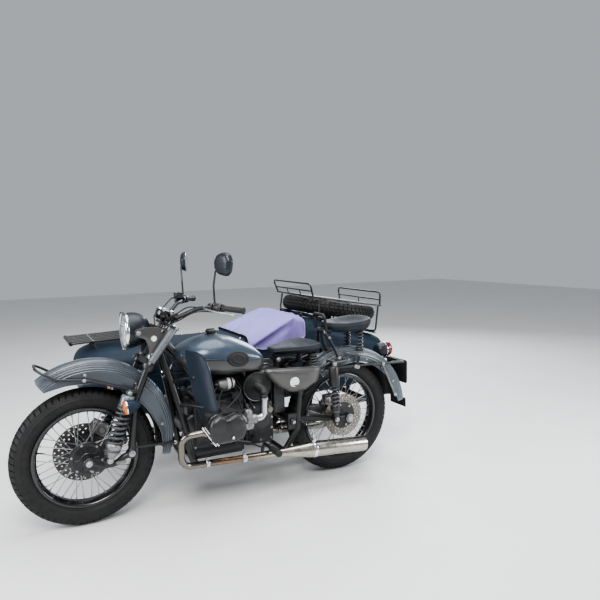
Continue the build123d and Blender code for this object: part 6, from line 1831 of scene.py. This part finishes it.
# the inside is trim black
shell.data.materials.clear()
shell.data.materials.append(MAT["paint_dark"])
shell.data.materials.append(MAT["plastic_black"])
for f in bm.faces:
    c = A(f.calc_center_median()) * 1000 + MID
    hw, z0, z1, r = tub_at(float(np.clip(c[0], -705, 1425)))
    # depth below the rounded outline of the section
    dy, dz = abs(c[1] - SY) - (hw - r), abs(c[2] - (z0 + z1) / 2) - ((z1 - z0) / 2 - r)
    depth = r - (sqrt(dy * dy + dz * dz) if min(dy, dz) > 0 else max(dy, dz))
    f.material_index = 1 if depth > 7.5 and -692 < c[0] < 1386 else 0
    f.smooth = True
bm.to_mesh(shell.data)
bm.free()
shell.data.set_sharp_from_angle(angle=radians(50))

p = Piece()
# padded coaming round the cockpit, beads along the seams, nose panel seam, grab handles on the sides
q = rounded([(-2, SY - 234), (394, SY - 234), (394, SY + 234), (-2, SY + 234)], 62, 10)


def tub_top(x, y):
    hw, z0, z1, r = tub_at(float(x))
    d = abs(y - SY) - (hw - r)
    return z1 if d <= 0 else z1 - r + sqrt(max(r * r - d * d, 0))


p.add(tube([A(x, y, tub_top(x, y) + 3) for x, y in q], 7.5, 14, closed=True), "rubber_black")
for xq in (1296, -628):
    ring = [A(v) + unit(A(0, v[1] - SY, v[2] - 600)) * 0.6 for v in tub_row(xq)]
    p.add(tube(ring, 2.2, 8, closed=True), "plastic_black")
for s in (-1, 1):
    for x0, x1 in ((1010, 1180), (-430, -280)):
        ys = SY + s * (tub_at((x0 + x1) / 2)[0] + 20)
        ya = SY + s * (tub_at(x0)[0] - 3)
        yb = SY + s * (tub_at(x1)[0] - 3)
        p.add(tube(fillet([(x0, ya, 640), (x0 + 6, ys, 640), (x1 - 6, ys, 640), (x1, yb, 640)], [16, 16]), 7, 14), "powder")
        for x, y in ((x0, ya), (x1, yb)):
            p.add(lathe([(0, 0), (15, 0), (16, 2), (14, 5), (8, 7), (0, 7)], (x, y + s * 1, 640), (0, s, 0), 24), "powder")
# side vents, press studs for the cover, hinge posts behind the cockpit
for s in (-1, 1):
    for k in range(5):
        x = 780 + 34 * k
        hw = tub_at(x)[0]
        p.add(rbox(x - 12, x + 12, SY + s * (hw - 3) - 2, SY + s * (hw + 3) + 2, 470, 545, 3, 3), "paint_dark")
    for x in (430, 560, 700):
        p.add(lathe([(0, 0), (8, 0), (9, 2), (7, 5), (4, 9), (0, 9)], (x, SY + s * 214, tub_top(x, SY + s * 214) - 2), (0, s * 0.25, 1), 20), "zinc")
    for x in (-20, 180, 400):
        p.add(lathe([(0, 0), (7, 0), (8, 2), (6, 5), (0, 6)], (x, SY + s * (tub_at(x)[0] - 1), 690), (0, s, 0), 20), "zinc")
for y in (-150, 90):
    p.add(tube([(-50, SY + y - 14, 897), (-50, SY + y + 74, 897)], 3, 14), "zinc")
    for yy in (y - 14, y + 62):
        o = rounded([(-57, 869), (-43, 869), (-43, 904), (-57, 904)], 5, 4)
        p.add(plate(o, 12, (0, SY + yy + 6, 0), (1, 0, 0), (0, 0, 1), 1), "powder")
        p.add(rbox(-66, -34, SY + yy, SY + yy + 12, 866, 876, 2), "powder")
# mounts under the floor
for x in (-440, 430, 880):
    for s in (-1, 1):
        z0 = tub_at(x)[1]
        p.add(rbox(x - 40, x + 40, SY + s * 150 - 30, SY + s * 150 + 30, z0 - 1, z0 + 14, 3), "powder")
ob = p.object("tub_trim")
with_shell = bpy.data.objects["tub_shell"]
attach(with_shell, "root")
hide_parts("sidecar_body")
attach(ob, "root")

# ------------------------------------------------------------------ boot lid with pressed panel, hinges and lock
LID = [(-66, 887), (-72, 886), (-180, 853), (-420, 782), (-560, 741), (-628, 721), (-636, 718)]


def lid_z(x):
    return float(np.interp(x, *zip(*LID[::-1])))


p = Piece()
xs = np.r_[-636, -634, -628, np.linspace(-620, -84, 60), -78, -74, -72]
top, bot = [], []
for x in xs:
    e = min(x + 636, -72 - x)
    row_t, row_b = [], []
    for y in np.r_[-232, -230, -226, np.linspace(-218, 218, 50), 226, 230, 232]:
        d = min(e, 232 - abs(y))
        edge = 4.0 * (1 - min(d / 7.0, 1.0)) ** 2
        inx = np.clip((min(e - 46, 232 - abs(y) - 34)) / 14.0, 0, 1)
        panel = 5.5 * (3 * inx ** 2 - 2 * inx ** 3)
        rib = 3.5 * np.exp(-((y - 84) / 7.0) ** 2) + 3.5 * np.exp(-((y + 84) / 7.0) ** 2)
        z = lid_z(x) + 12 + panel * 0.9 - edge + rib * (1 if inx >= 1 else inx)
        row_t.append((x, SY + y, z))
        row_b.append((x, SY + y, lid_z(x) + 4))
    top.append(row_t + row_b[::-1])
p.add(stack(top), "paint_dark")
q = [A(x, SY + y, lid_z(x) + 2.5) for x, y in rounded([(-628, -224), (-80, -224), (-80, 224), (-628, 224)], 16, 6)]
p.add(tube(q, 4, 10, closed=True), "rubber_black")
for y in (-150, 90):
    p.add(tube([(-50, SY + y, 897), (-50, SY + y + 60, 897)], 7, 20), "powder")
    o = [(-50, 890.5), (-50, 903.5), (-74, 904), (-150, 880), (-152, 872), (-80, 892)]
    p.add(plate(o, 56, (0, SY + y + 30, 0), (1, 0, 0), (0, 0, 1), 1), "powder")
    for x in (-96, -128):
        p.add(hexbolt((x, SY + y + 30, lid_z(x) + 24), (0.28, 0, 1), 7, 4), "zinc")
# lock with handle at the rear edge
p.add(lathe([(0, 0), (20, 0), (22, 3), (20, 8), (10, 12), (0, 12)], (-606, SY, lid_z(-606) + 14), (-0.28, 0, 1), 30), "chrome")
p.add(tube(fillet([(-606, SY, lid_z(-606) + 24), (-612, SY, lid_z(-606) + 38), (-616, SY + 44, lid_z(-612) + 36)], [8]), 5, 12, flat=0.7), "chrome")
for s in (-1, 1):
    p.add(tube(fillet([(-560, SY + s * 150, lid_z(-560) + 12), (-560, SY + s * 150, lid_z(-560) + 40), (-500, SY + s * 150, lid_z(-500) + 40), (-500, SY + s * 150, lid_z(-500) + 12)], [10, 10]), 5, 12), "powder")
# post that carries the spare wheel, its clamp nut and base plate
p.add(lathe([(0, 0), (62, 0), (64, 3), (60, 7), (32, 10), (28, 16), (28, 60), (0, 60)], (-361.92, -730, 806), (0, 0, 1), 40), "powder")
p.add(tube([(-361.92, -730, 800), (-361.92, -730, 866)], 27.5, 40), "powder")
for k in range(4):
    a = radians(90 * k + 45)
    p.add(hexbolt((-361.92 + 50 * cos(a), -730 + 50 * sin(a), 812), (0, 0, 1), 7, 5), "zinc")
p.done("boot_lid_pressing", "boot", ["boot_lid"], 45)

# ------------------------------------------------------------------ luggage rack
p = Piece()
RX0, RX1 = -636, -84


def rz(x, h=0):
    return 1021 + 0.165 * (x - RX1) + h


ring = rounded([(RX0, SY - 296), (RX1, SY - 296), (RX1, SY + 296), (RX0, SY + 296)], 16, 6)
p.add(tube([A(x, y, rz(x)) for x, y in ring], 6.5, 14, closed=True), "powder")
for x, lean, mid, top in ((RX1, 30, 40, 90), (RX0, 6, 43, 97)):
    za, zb = rz(x), rz(x, top)
    p.add(tube(fillet([(x, SY - 274, za), (x + lean, SY - 290, zb), (x + lean, SY + 290, zb), (x, SY + 274, za)], [26, 26], 7), 6.5, 14), "powder")
    f = mid / top
    p.add(tube([(x + lean * f, SY - 296 + 22 - 16 * f, rz(x, mid)), (x + lean * f, SY + 296 - 22 + 16 * f, rz(x, mid))], 5.5, 12), "powder")
    for y in (-98, 98) if x == RX1 else (0,):
        p.add(tube([(x, SY + y, za), (x + lean * f, SY + y, rz(x, mid))], 4, 10), "powder")
for k in range(7):
    y = SY - 296 + 592 * (k + 1) / 8
    o = [A(x, y, rz(x, 4)) for x in (RX0, RX1)]
    rows = []
    for x in (RX0 - 2, RX1 + 2):
        rows.append([(x, y - 12, rz(x, 1.5)), (x, y - 11, rz(x, 0.8)), (x, y + 11, rz(x, 0.8)), (x, y + 12, rz(x, 1.5)), (x, y + 12, rz(x, 6.4)), (x, y + 11, rz(x, 7.1)), (x, y - 11, rz(x, 7.1)), (x, y - 12, rz(x, 6.4))])
    p.add(stack(rows), "powder")
for x in (-366, -500, -220):
    p.add(tube([(x, SY - 296, rz(x, -1)), (x, SY + 296, rz(x, -1))], 5, 12), "powder")
for s in (-1, 1):
    y, yl = SY + s * 296, SY + s * 222
    p.add(tube(fillet([(-606, y, rz(-606)), (-583, y, 752), (-570, yl, 748), (-520, yl - s * 10, 762)], [20, 12], 7), 6.5, 14), "powder")
    p.add(tube(fillet([(-130, y, rz(-130)), (-110, y, 892), (-112, yl, 888), (-138, yl - s * 10, 883)], [20, 12], 7), 6.5, 14), "powder")
    for x, z in ((-545, 755), (-136, 884)):
        p.add(rbox(x - 22, x + 22, yl - s * 8 - 13, yl - s * 8 + 13, z - 4, z + 3, 2), "powder")
        p.add(hexbolt((x, yl - s * 8, z + 4), (0, 0, 1), 7, 5), "zinc")
p.done("rack_tubes", "boot", ["luggage_rack"])

# ------------------------------------------------------------------ nose rack
p = Piece()
for y in (-590, -650, -710, -770, -830, -890):
    path = resample([(1074, y, 828.5), (1080, y, 830), (1330, y, 822), (1450, y, 816)], 24)
    rows = []
    T = unit(A(370, 0, -14))
    for q in (path[0], path[1], path[-2], path[-1]):
        rows.append([q + A(0, dy, dz) for dy, dz in ((-11, -5), (11, -5), (13, -2), (13, 3), (11, 6), (-11, 6), (-13, 3), (-13, -2))])
    p.add(stack(rows), "powder")
    for x, z in ((1110, 829), (1330, 822)):
        p.add(dome((x, y, z + 6), (0, 0, 1), 6, 3), "zinc")
p.add(tube([(1110, -590, 820), (1110, -890, 820)], 8, 16), "powder")
p.add(tube([(1330, -590, 812), (1330, -890, 812)], 8, 16), "powder")
p.add(tube([(1452, -584, 816), (1452, -896, 816)], 12, 22), "powder")
for x0, x1, y, z in ((1110, 1110, -640, 822), (1110, 1110, -804, 822), (1330, 1306, -640, 818), (1330, 1306, -804, 818)):
    p.add(tube([(x1, y, 758), (x0, y, z)], 7, 14), "powder")
    p.add(lathe([(0, 0), (18, 0), (20, 2), (18, 5), (8, 8), (0, 8)], (x1, y, tub_top(x1, y) - 1), (0, 0, 1), 26), "powder")
    p.add(hexbolt((x1 + 12, y, tub_top(x1, y) + 4), (0, 0, 1), 4, 3), "zinc")
p.done("nose_rack_slats", "root", ["nose_rack"])

# ------------------------------------------------------------------ sidecar wheel: guard, swingarm, shock, lamps, chassis
p = Piece()
guard_add(p, 100, 345, 402, 74, [(12, 44), (40, 66), (90, 72), (150, 70), (168, 56), (176, 44)], 12, 176, "paint_dark", cy=-1140, seg=54, ribs=6)
for s in (-1, 1):
    for a in (40, 80, 120, 156):
        p.add(hexbolt((100 + 342 * cos(radians(a)), -1140 + s * 74, 345 + 342 * sin(radians(a))), (0, s, 0), 6, 4), "zinc")
p.add(tube([(470, -990, 296), (458, -1020, 350), (444, -1070, 430)], 9, 18), "powder")
p.add(tube([(-200, -985, 290), (-203, -1020, 420), (-205, -1068, 560)], 9, 18), "powder")
flap_add(p, 100, 345, 400, 70, 175.5, 184, "rubber_black", cy=-1140)
p.done("sidecar_guard_pressing", "root", ["sidecar_mudguard"], 50)

p = Piece()
p.add(tube([(430, -998, 300), (430, -1052, 300)], 18, 28), "powder")
p.add(tube(fillet([(430, -1036, 300), (260, -1044, 312), (100, -1046, 345)], [80], 8), 15, 22), "powder")
p.add(tube([(100, -1062, 345), (100, -1030, 345)], 24, 32), "powder")
p.add(tube([(100, -1062, 345), (100, -1192, 345)], 10, 22), "steel")
p.add(hexbolt((100, -1188, 345), (0, -1, 0), 16, 13), "zinc")
p.add(hexbolt((430, -1052, 300), (0, -1, 0), 11, 8), "zinc")
d = unit(A(-30, 0, 280))
o = A(150, -1040, 330)
p.add(tube([o - d * 6, o + d * 20], 11, 18), "powder")
p.add(lathe([(0, 20), (14, 20), (16, 24), (16, 120), (13, 124), (9, 126), (9, 250), (0, 250)], o, d, 28), "engine_black")
p.add(coil(o + d * 60, o + d * 236, 20, 5, 7, 12, 24), "spring")
p.add(lathe([(9, 48), (25, 50), (26, 54), (24, 60), (9, 62)], o, d, 32, True), "powder")
p.add(lathe([(0, 232), (25, 234), (27, 240), (24, 250), (12, 262), (12, 282), (0, 282)], o, d, 32), "powder")
p.add(tube([(121, -1044, 600), (121, -1004, 600)], 12, 22), "powder")
p.add(hexbolt((121, -1044, 600), (0, -1, 0), 9, 6), "zinc")
p.done("sidecar_swingarm_forging", "root", ["sidecar_swingarm"])

p = Piece()
p.add(lathe([(0, 0), (20, 0), (28, 4), (30, 10), (30, 24), (28, 25), (0, 25)], (344, -1140, 690), (1, 0, 0), 40), "paint_dark")
p.add(lathe([(0, 23), (28, 23), (27, 28), (18, 31), (0, 32)], (344, -1140, 690), (1, 0, 0), 40), "lens_clear")
p.add(lathe([(27, 22), (31, 22.5), (31, 26), (28, 27)], (344, -1140, 690), (1, 0, 0), 40, True), "chrome")
p.add(tube([(341, -1140, 652), (347, -1140, 672), (354, -1140, 690)], 8, 14), "powder")
p.add(lathe([(0, 0), (22, 0), (32, 4), (34, 10), (34, 20), (32, 21), (0, 21)], (-302, -1140, 620), (-1, 0, 0), 40), "paint_dark")
p.add(lathe([(0, 19), (32, 19), (31, 25), (20, 29), (0, 30)], (-302, -1140, 620), (-1, 0, 0), 40), "lens_red")
p.add(lathe([(31, 18), (35, 18.5), (35, 22), (32, 23)], (-302, -1140, 620), (-1, 0, 0), 40, True), "chrome")
p.add(tube([(-238, -1140, 552), (-268, -1140, 600), (-306, -1140, 620)], 8, 14), "powder")
p.done("sidecar_lamp_parts", "root", ["sidecar_lamps"])

# ------------------------------------------------------------------ cloth cover draped over the cockpit and the backrest
def sheet_grid(P, t):
    # closed thin sheet from a grid of points: the outer face, the inner face t below it, and the edge between
    P = np.asarray(P, float)
    n, m = P.shape[:2]
    gu, gv = np.gradient(P, axis=0), np.gradient(P, axis=1)
    N = np.cross(gu, gv)
    N /= np.linalg.norm(N, axis=2)[..., None]
    if N[n // 2, m // 2, 2] < 0:
        N = -N
    Q = P - N * t
    F = []
    k = n * m
    for i in range(n - 1):
        for j in range(m - 1):
            a, b, c, d = i * m + j, i * m + j + 1, (i + 1) * m + j + 1, (i + 1) * m + j
            F += [(a, b, c, d), (d + k, c + k, b + k, a + k)]
    rim = [(0, j) for j in range(m)] + [(i, m - 1) for i in range(1, n)] + [(n - 1, j) for j in range(m - 2, -1, -1)] + [(i, 0) for i in range(n - 2, 0, -1)]
    idx = [i * m + j for i, j in rim]
    for a, b in zip(idx, idx[1:] + idx[:1]):
        F.append((a, a + k, b + k, b))
    area = 0.5 * (np.linalg.norm(np.cross(P[1:, :-1] - P[:-1, :-1], P[:-1, 1:] - P[:-1, :-1]), axis=2).sum() + np.linalg.norm(np.cross(P[1:, :-1] - P[1:, 1:], P[:-1, 1:] - P[1:, 1:]), axis=2).sum())
    return (np.vstack([P.reshape(-1, 3), Q.reshape(-1, 3)]), F), [P[i, j] for i, j in rim], area


# X, height of the top, height of the lower edge
CX_, CT, CB = zip(*[(-6, 884, 768), (12, 899, 752), (34, 908, 734), (60, 912, 722), (90, 911, 716), (125, 903, 712), (170, 885, 708), (230, 861, 704), (310, 828, 704), (370, 804, 716), (402, 790, 738)])
CREASES = [(66, 236, 398, 60, 13.0, 17), (70, 232, 396, 168, 9.0, 11), (62, 236, 300, -120, 7.0, 20), (62, -236, 398, -100, 10.0, 16),
           (62, -236, 380, 20, 6.0, 18), (62, -236, 396, -200, 7.0, 11), (56, 236, -4, 110, 6.0, 15), (56, -236, -4, -90, 6.0, 15), (120, 90, 399, -20, 5.0, 16)]


def cover_point(x, w):
    # w from -1 to 1 across the sheet; the flat top, the shoulder and the hanging side take fixed shares of it
    top, low = float(np.interp(x, CX_, CT)), float(np.interp(x, CX_, CB))
    s, a = (1 if w >= 0 else -1), abs(w)
    peak = np.exp(-((x - 64) / 80.0) ** 2)
    sag = 12 * sin(pi * np.clip((x - 90) / 312, 0, 1))
    if a <= 0.56:
        y = 236 * a / 0.56
        z = top - sag * (1 - (y / 236) ** 2 * 0.75) - 5 * (y / 236) ** 4 * peak
    elif a <= 0.72:
        q = (a - 0.56) / 0.16 * pi / 2
        y, z = 236 + 58 * sin(q), top - 0.25 * sag - 5 * peak - 62 * (1 - cos(q))
    else:
        q = (a - 0.72) / 0.28
        zt = top - 0.25 * sag - 5 * peak - 62
        y, z = 294 + 3 * q, zt + (low - zt) * q
    y *= s
    d = 0.0
    for x0, y0, x1, y1, amp, wid in CREASES:
        ex, ey = x1 - x0, y1 - y0
        L = sqrt(ex * ex + ey * ey)
        t = ((x - x0) * ex + (y - y0) * ey) / L / L
        u = ((x - x0) * ey - (y - y0) * ex) / L
        if -0.05 < t < 1.1 and a < 0.74:
            wd = wid * (0.45 + 0.9 * max(t, 0))
            d += amp * (np.exp(-(u / wd) ** 2) - 0.45 * np.exp(-((u - 1.9 * wd) / (1.3 * wd)) ** 2)) * min(max(t, 0) * 5, 1) * min((1.1 - t) * 4, 1) * (1 if a < 0.6 else (0.74 - a) / 0.14)
    front = float(np.clip((402 - x) / 46.0, 0, 1)) ** 0.8
    z += d * front
    if a > 0.56:
        h = (a - 0.56) / 0.44
        depth = 912 - z
        ang = np.arctan2(x - (52 if s > 0 else 66), depth * 0.85 + 30)
        wave = (0.5 + 0.5 * cos(8.5 * ang + 1.1 * sin(2.3 * ang + s) + (0.4 if s > 0 else 1.6))) ** 2.0
        y += s * (24.0 * wave * h ** 1.05 + 1.4 * sin(x / 17.0) * h) * (0.35 + 0.65 * front)
        z += 5.0 * (wave - 0.4) * h * h * front
        # the fold that runs from the corner of the backrest down to the front fastening
        dl = (z - 900 + 0.529 * (x - 75)) / 1.131
        fade = float(np.clip((x - 40) / 60.0, 0, 1)) * front * min(1, (a - 0.56) / 0.08)
        y += s * fade * (12.0 * np.exp(-(dl / 17.0) ** 2) - 7.0 * np.exp(-((dl + 38) / 22.0) ** 2))
    return (x, SY + y, z + 0.7 * sin(x / 13.0 + y / 23.0) + 0.5 * sin(y / 11.0 - x / 31.0))


gx = np.linspace(-6, 402, 132)
gw = np.r_[np.linspace(-1, -0.56, 44)[:-1], np.linspace(-0.56, 0.56, 96)[:-1], np.linspace(0.56, 1, 44)]
grid = [[cover_point(x, w) for w in gw] for x in gx]
vf, rim, area = sheet_grid(grid, 1.6)
cover = Piece().add(vf, "cloth").object("cover_cloth", 80)
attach(cover, "root")
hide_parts("cockpit_cover")
p = Piece()
R = resample(rim + [rim[0]], 420)[:-1]
p.add(tube(R, 2.7, 10, closed=True, flat=0.75), "cloth_hem")
hem = p.object("cover_hem", 60)
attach(hem, "root")
# dark elastic binding along the front edge, with eyelets and press studs
p = Piece()
front = [A(q) + A(3.2, 0, -0.5) for q in grid[-1]]
p.add(tube(resample(front, 160), 3.6, 10), "rubber_black")
for w in (-0.9, -0.62, -0.4, -0.15, 0.15, 0.4, 0.62, 0.9):
    q = A(cover_point(391, w))
    nrm = A(0.35, 0, 1) if abs(w) < 0.56 else A(0.1, np.sign(w), 0.4 if abs(w) < 0.7 else 0.0)
    p.add(lathe([(0, -1), (6, -1), (6.6, 0.6), (5.6, 2.2), (3.2, 3.2), (0, 3.4)], q, nrm, 22), "zinc")
for s in (-1, 1):
    for x in (24, 130, 250, 350):
        q = A(cover_point(x, s * 0.965))
        p.add(lathe([(0, -1), (5.6, -1), (6.2, 0.6), (5.2, 2.2), (3, 3.2), (0, 3.4)], q, (0, s, 0.1), 22), "zinc")
studs = p.object("cover_binding", 60)
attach(studs, "root")

# ------------------------------------------------------------------ passenger seat: base, inflated cushion and backrest
def inflate(ob, cap, pressure=4.0, voxel=0.006):
    # swell a closed pad by cloth pressure, with the movement of each point capped
    m = ob.modifiers.new("remesh", "REMESH")
    m.mode, m.voxel_size = "VOXEL", voxel
    dg = bpy.context.evaluated_depsgraph_get()
    ob.data = bpy.data.meshes.new_from_object(ob.evaluated_get(dg))
    ob.modifiers.clear()
    n = len(ob.data.vertices)
    start = np.empty(n * 3)
    ob.data.vertices.foreach_get("co", start)
    c = ob.modifiers.new("cloth", "CLOTH")
    c.settings.use_pressure = True
    c.settings.uniform_pressure_force = pressure
    c.settings.effector_weights.gravity = 0
    c.settings.quality = 5
    c.settings.tension_stiffness = c.settings.compression_stiffness = 18
    c.settings.bending_stiffness = 0.6
    c.settings.mass = 0.3
    c.point_cache.frame_start, c.point_cache.frame_end = 1, 20
    for f in range(1, 21):
        bpy.context.scene.frame_set(f)
    dg = bpy.context.evaluated_depsgraph_get()
    me = bpy.data.meshes.new_from_object(ob.evaluated_get(dg))
    end = np.empty(n * 3)
    me.vertices.foreach_get("co", end)
    ob.modifiers.clear()
    start, end = start.reshape(-1, 3), end.reshape(-1, 3)
    d = end - start
    L = np.linalg.norm(d, axis=1)
    d *= np.where(L > cap, cap / np.maximum(L, 1e-9), 1.0)[:, None]
    ob.data.vertices.foreach_set("co", (start + d).ravel())
    bpy.data.meshes.remove(me)
    bpy.context.scene.frame_set(1)
    return ob


def channels(ob, ys, face, depth, width):
    # sewn channels pressed into the face that looks along the given axis
    n = len(ob.data.vertices)
    co, no = np.empty(n * 3), np.empty(n * 3)
    ob.data.vertices.foreach_get("co", co)
    ob.data.vertices.foreach_get("normal", no)
    co, no = co.reshape(-1, 3), no.reshape(-1, 3)
    y = co[:, 1] * 1000 + MID[1] - SY
    on = np.clip((no @ unit(A(face))) * 2 - 0.4, 0, 1)
    g = sum(np.exp(-((y - q) / width) ** 2) for q in ys)
    co -= A(unit(A(face)))[None, :] * (depth / 1000 * g * on)[:, None]
    ob.data.vertices.foreach_set("co", co.ravel())
    ob.data.update()


def pad_rows(levels, corner, n=9):
    # closed pad from levels (z, x0, x1, half width)
    rows = []
    for z, x0, x1, h in levels:
        rows.append([(x, SY + y, z) for x, y in rounded([(x0, -h), (x1, -h), (x1, h), (x0, h)], corner, n)])
    return stack(rows)


base = Piece().add(pad_rows([(346, -4, 394, 204), (350, -8, 398, 208), (430, -8, 398, 208), (440, -6, 396, 206), (444, 0, 390, 200)], 24), "seat_vinyl").object("seat_plinth", 40)
cushion = Piece().add(pad_rows([(446, 8, 380, 190), (450, 2, 390, 198), (470, -2, 394, 202), (492, 0, 392, 200), (504, 10, 382, 190), (508, 30, 362, 170)], 34), "seat_vinyl").object("seat_cushion", 60)
back = Piece().add(pad_rows([(523, 2, 78, 190), (530, -2, 84, 198), (600, -4, 72, 200), (700, -6, 55, 200), (800, -8, 38, 198), (834, -6, 30, 190), (844, 0, 22, 176)], 16), "seat_vinyl").object("seat_back", 60)
inflate(cushion, 0.011)
inflate(back, 0.009)
channels(cushion, (-100, 0, 100), (0, 0, 1), 7, 7)
channels(back, (-100, 0, 100), (1, 0, 0.18), 7, 7)
for ob in (cushion, back):
    ob.data.shade_smooth()
    if not ob.data.materials:
        ob.data.materials.append(MAT["seat_vinyl"])
for ob in (base, cushion, back):
    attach(ob, "root")
    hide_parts("sidecar_seat")
p = Piece()
for z, x0, x1, h, c in ((447, -2, 392, 202, 30),):
    p.add(tube([A(x, SY + y, z) for x, y in rounded([(x0, -h), (x1, -h), (x1, h), (x0, h)], c, 9)], 4, 10, closed=True), "seat_vinyl")
q = [A(x, SY + y, z) for x, y, z in ((80, -196, 540), (74, -202, 600), (40, -202, 800), (26, -190, 842), (24, -150, 850), (24, 150, 850), (26, 190, 842), (40, 202, 800), (74, 202, 600), (80, 196, 540))]
p.add(tube(spline(q, 8), 3.6, 10), "seat_vinyl")
ob = p.object("seat_piping", 60)
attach(ob, "root")

# ------------------------------------------------------------------ CAD nodes that stay, with their finish
STAY = {
    "main_frame": "powder", "battery_box": "plastic_black", "rear_rails": "powder", "swingarm": "powder", "luggage_rack": "powder",
    "sidecar_chassis": "powder", "sidecar_struts": "powder", "nose_rack": "powder", "grab_handle": "rubber_black", "engine_block": "engine_black",
    "cylinders": "engine_black", "exhausts": "exhaust", "intake": "plastic_black", "fuel_tank": "paint_grey", "rear_shocks": "powder",
    "rear_mudguard": "paint_grey", "rider_saddle": "saddle", "pillion_saddle": "saddle", "saddle_springs": "powder", "tail_lamp": "lens_red",
    "number_plate": "plastic_black", "leg_shields": "paint_blue", "side_covers": "paint_grey", "footrests": "rubber_black", "horn": "powder",
    "sidecar_body": "paint_dark", "sidecar_seat": "seat_vinyl", "cockpit_cover": "cloth", "sidecar_swingarm": "powder",
    "sidecar_mudguard": "paint_dark", "sidecar_lamps": "lens_amber", "boot_lid": "paint_dark",
}
for n, m in STAY.items():
    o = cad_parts[n]
    if o.hide_render:
        continue
    o.data.materials.clear()
    o.data.materials.append(MAT[m])

bpy.context.view_layer.update()
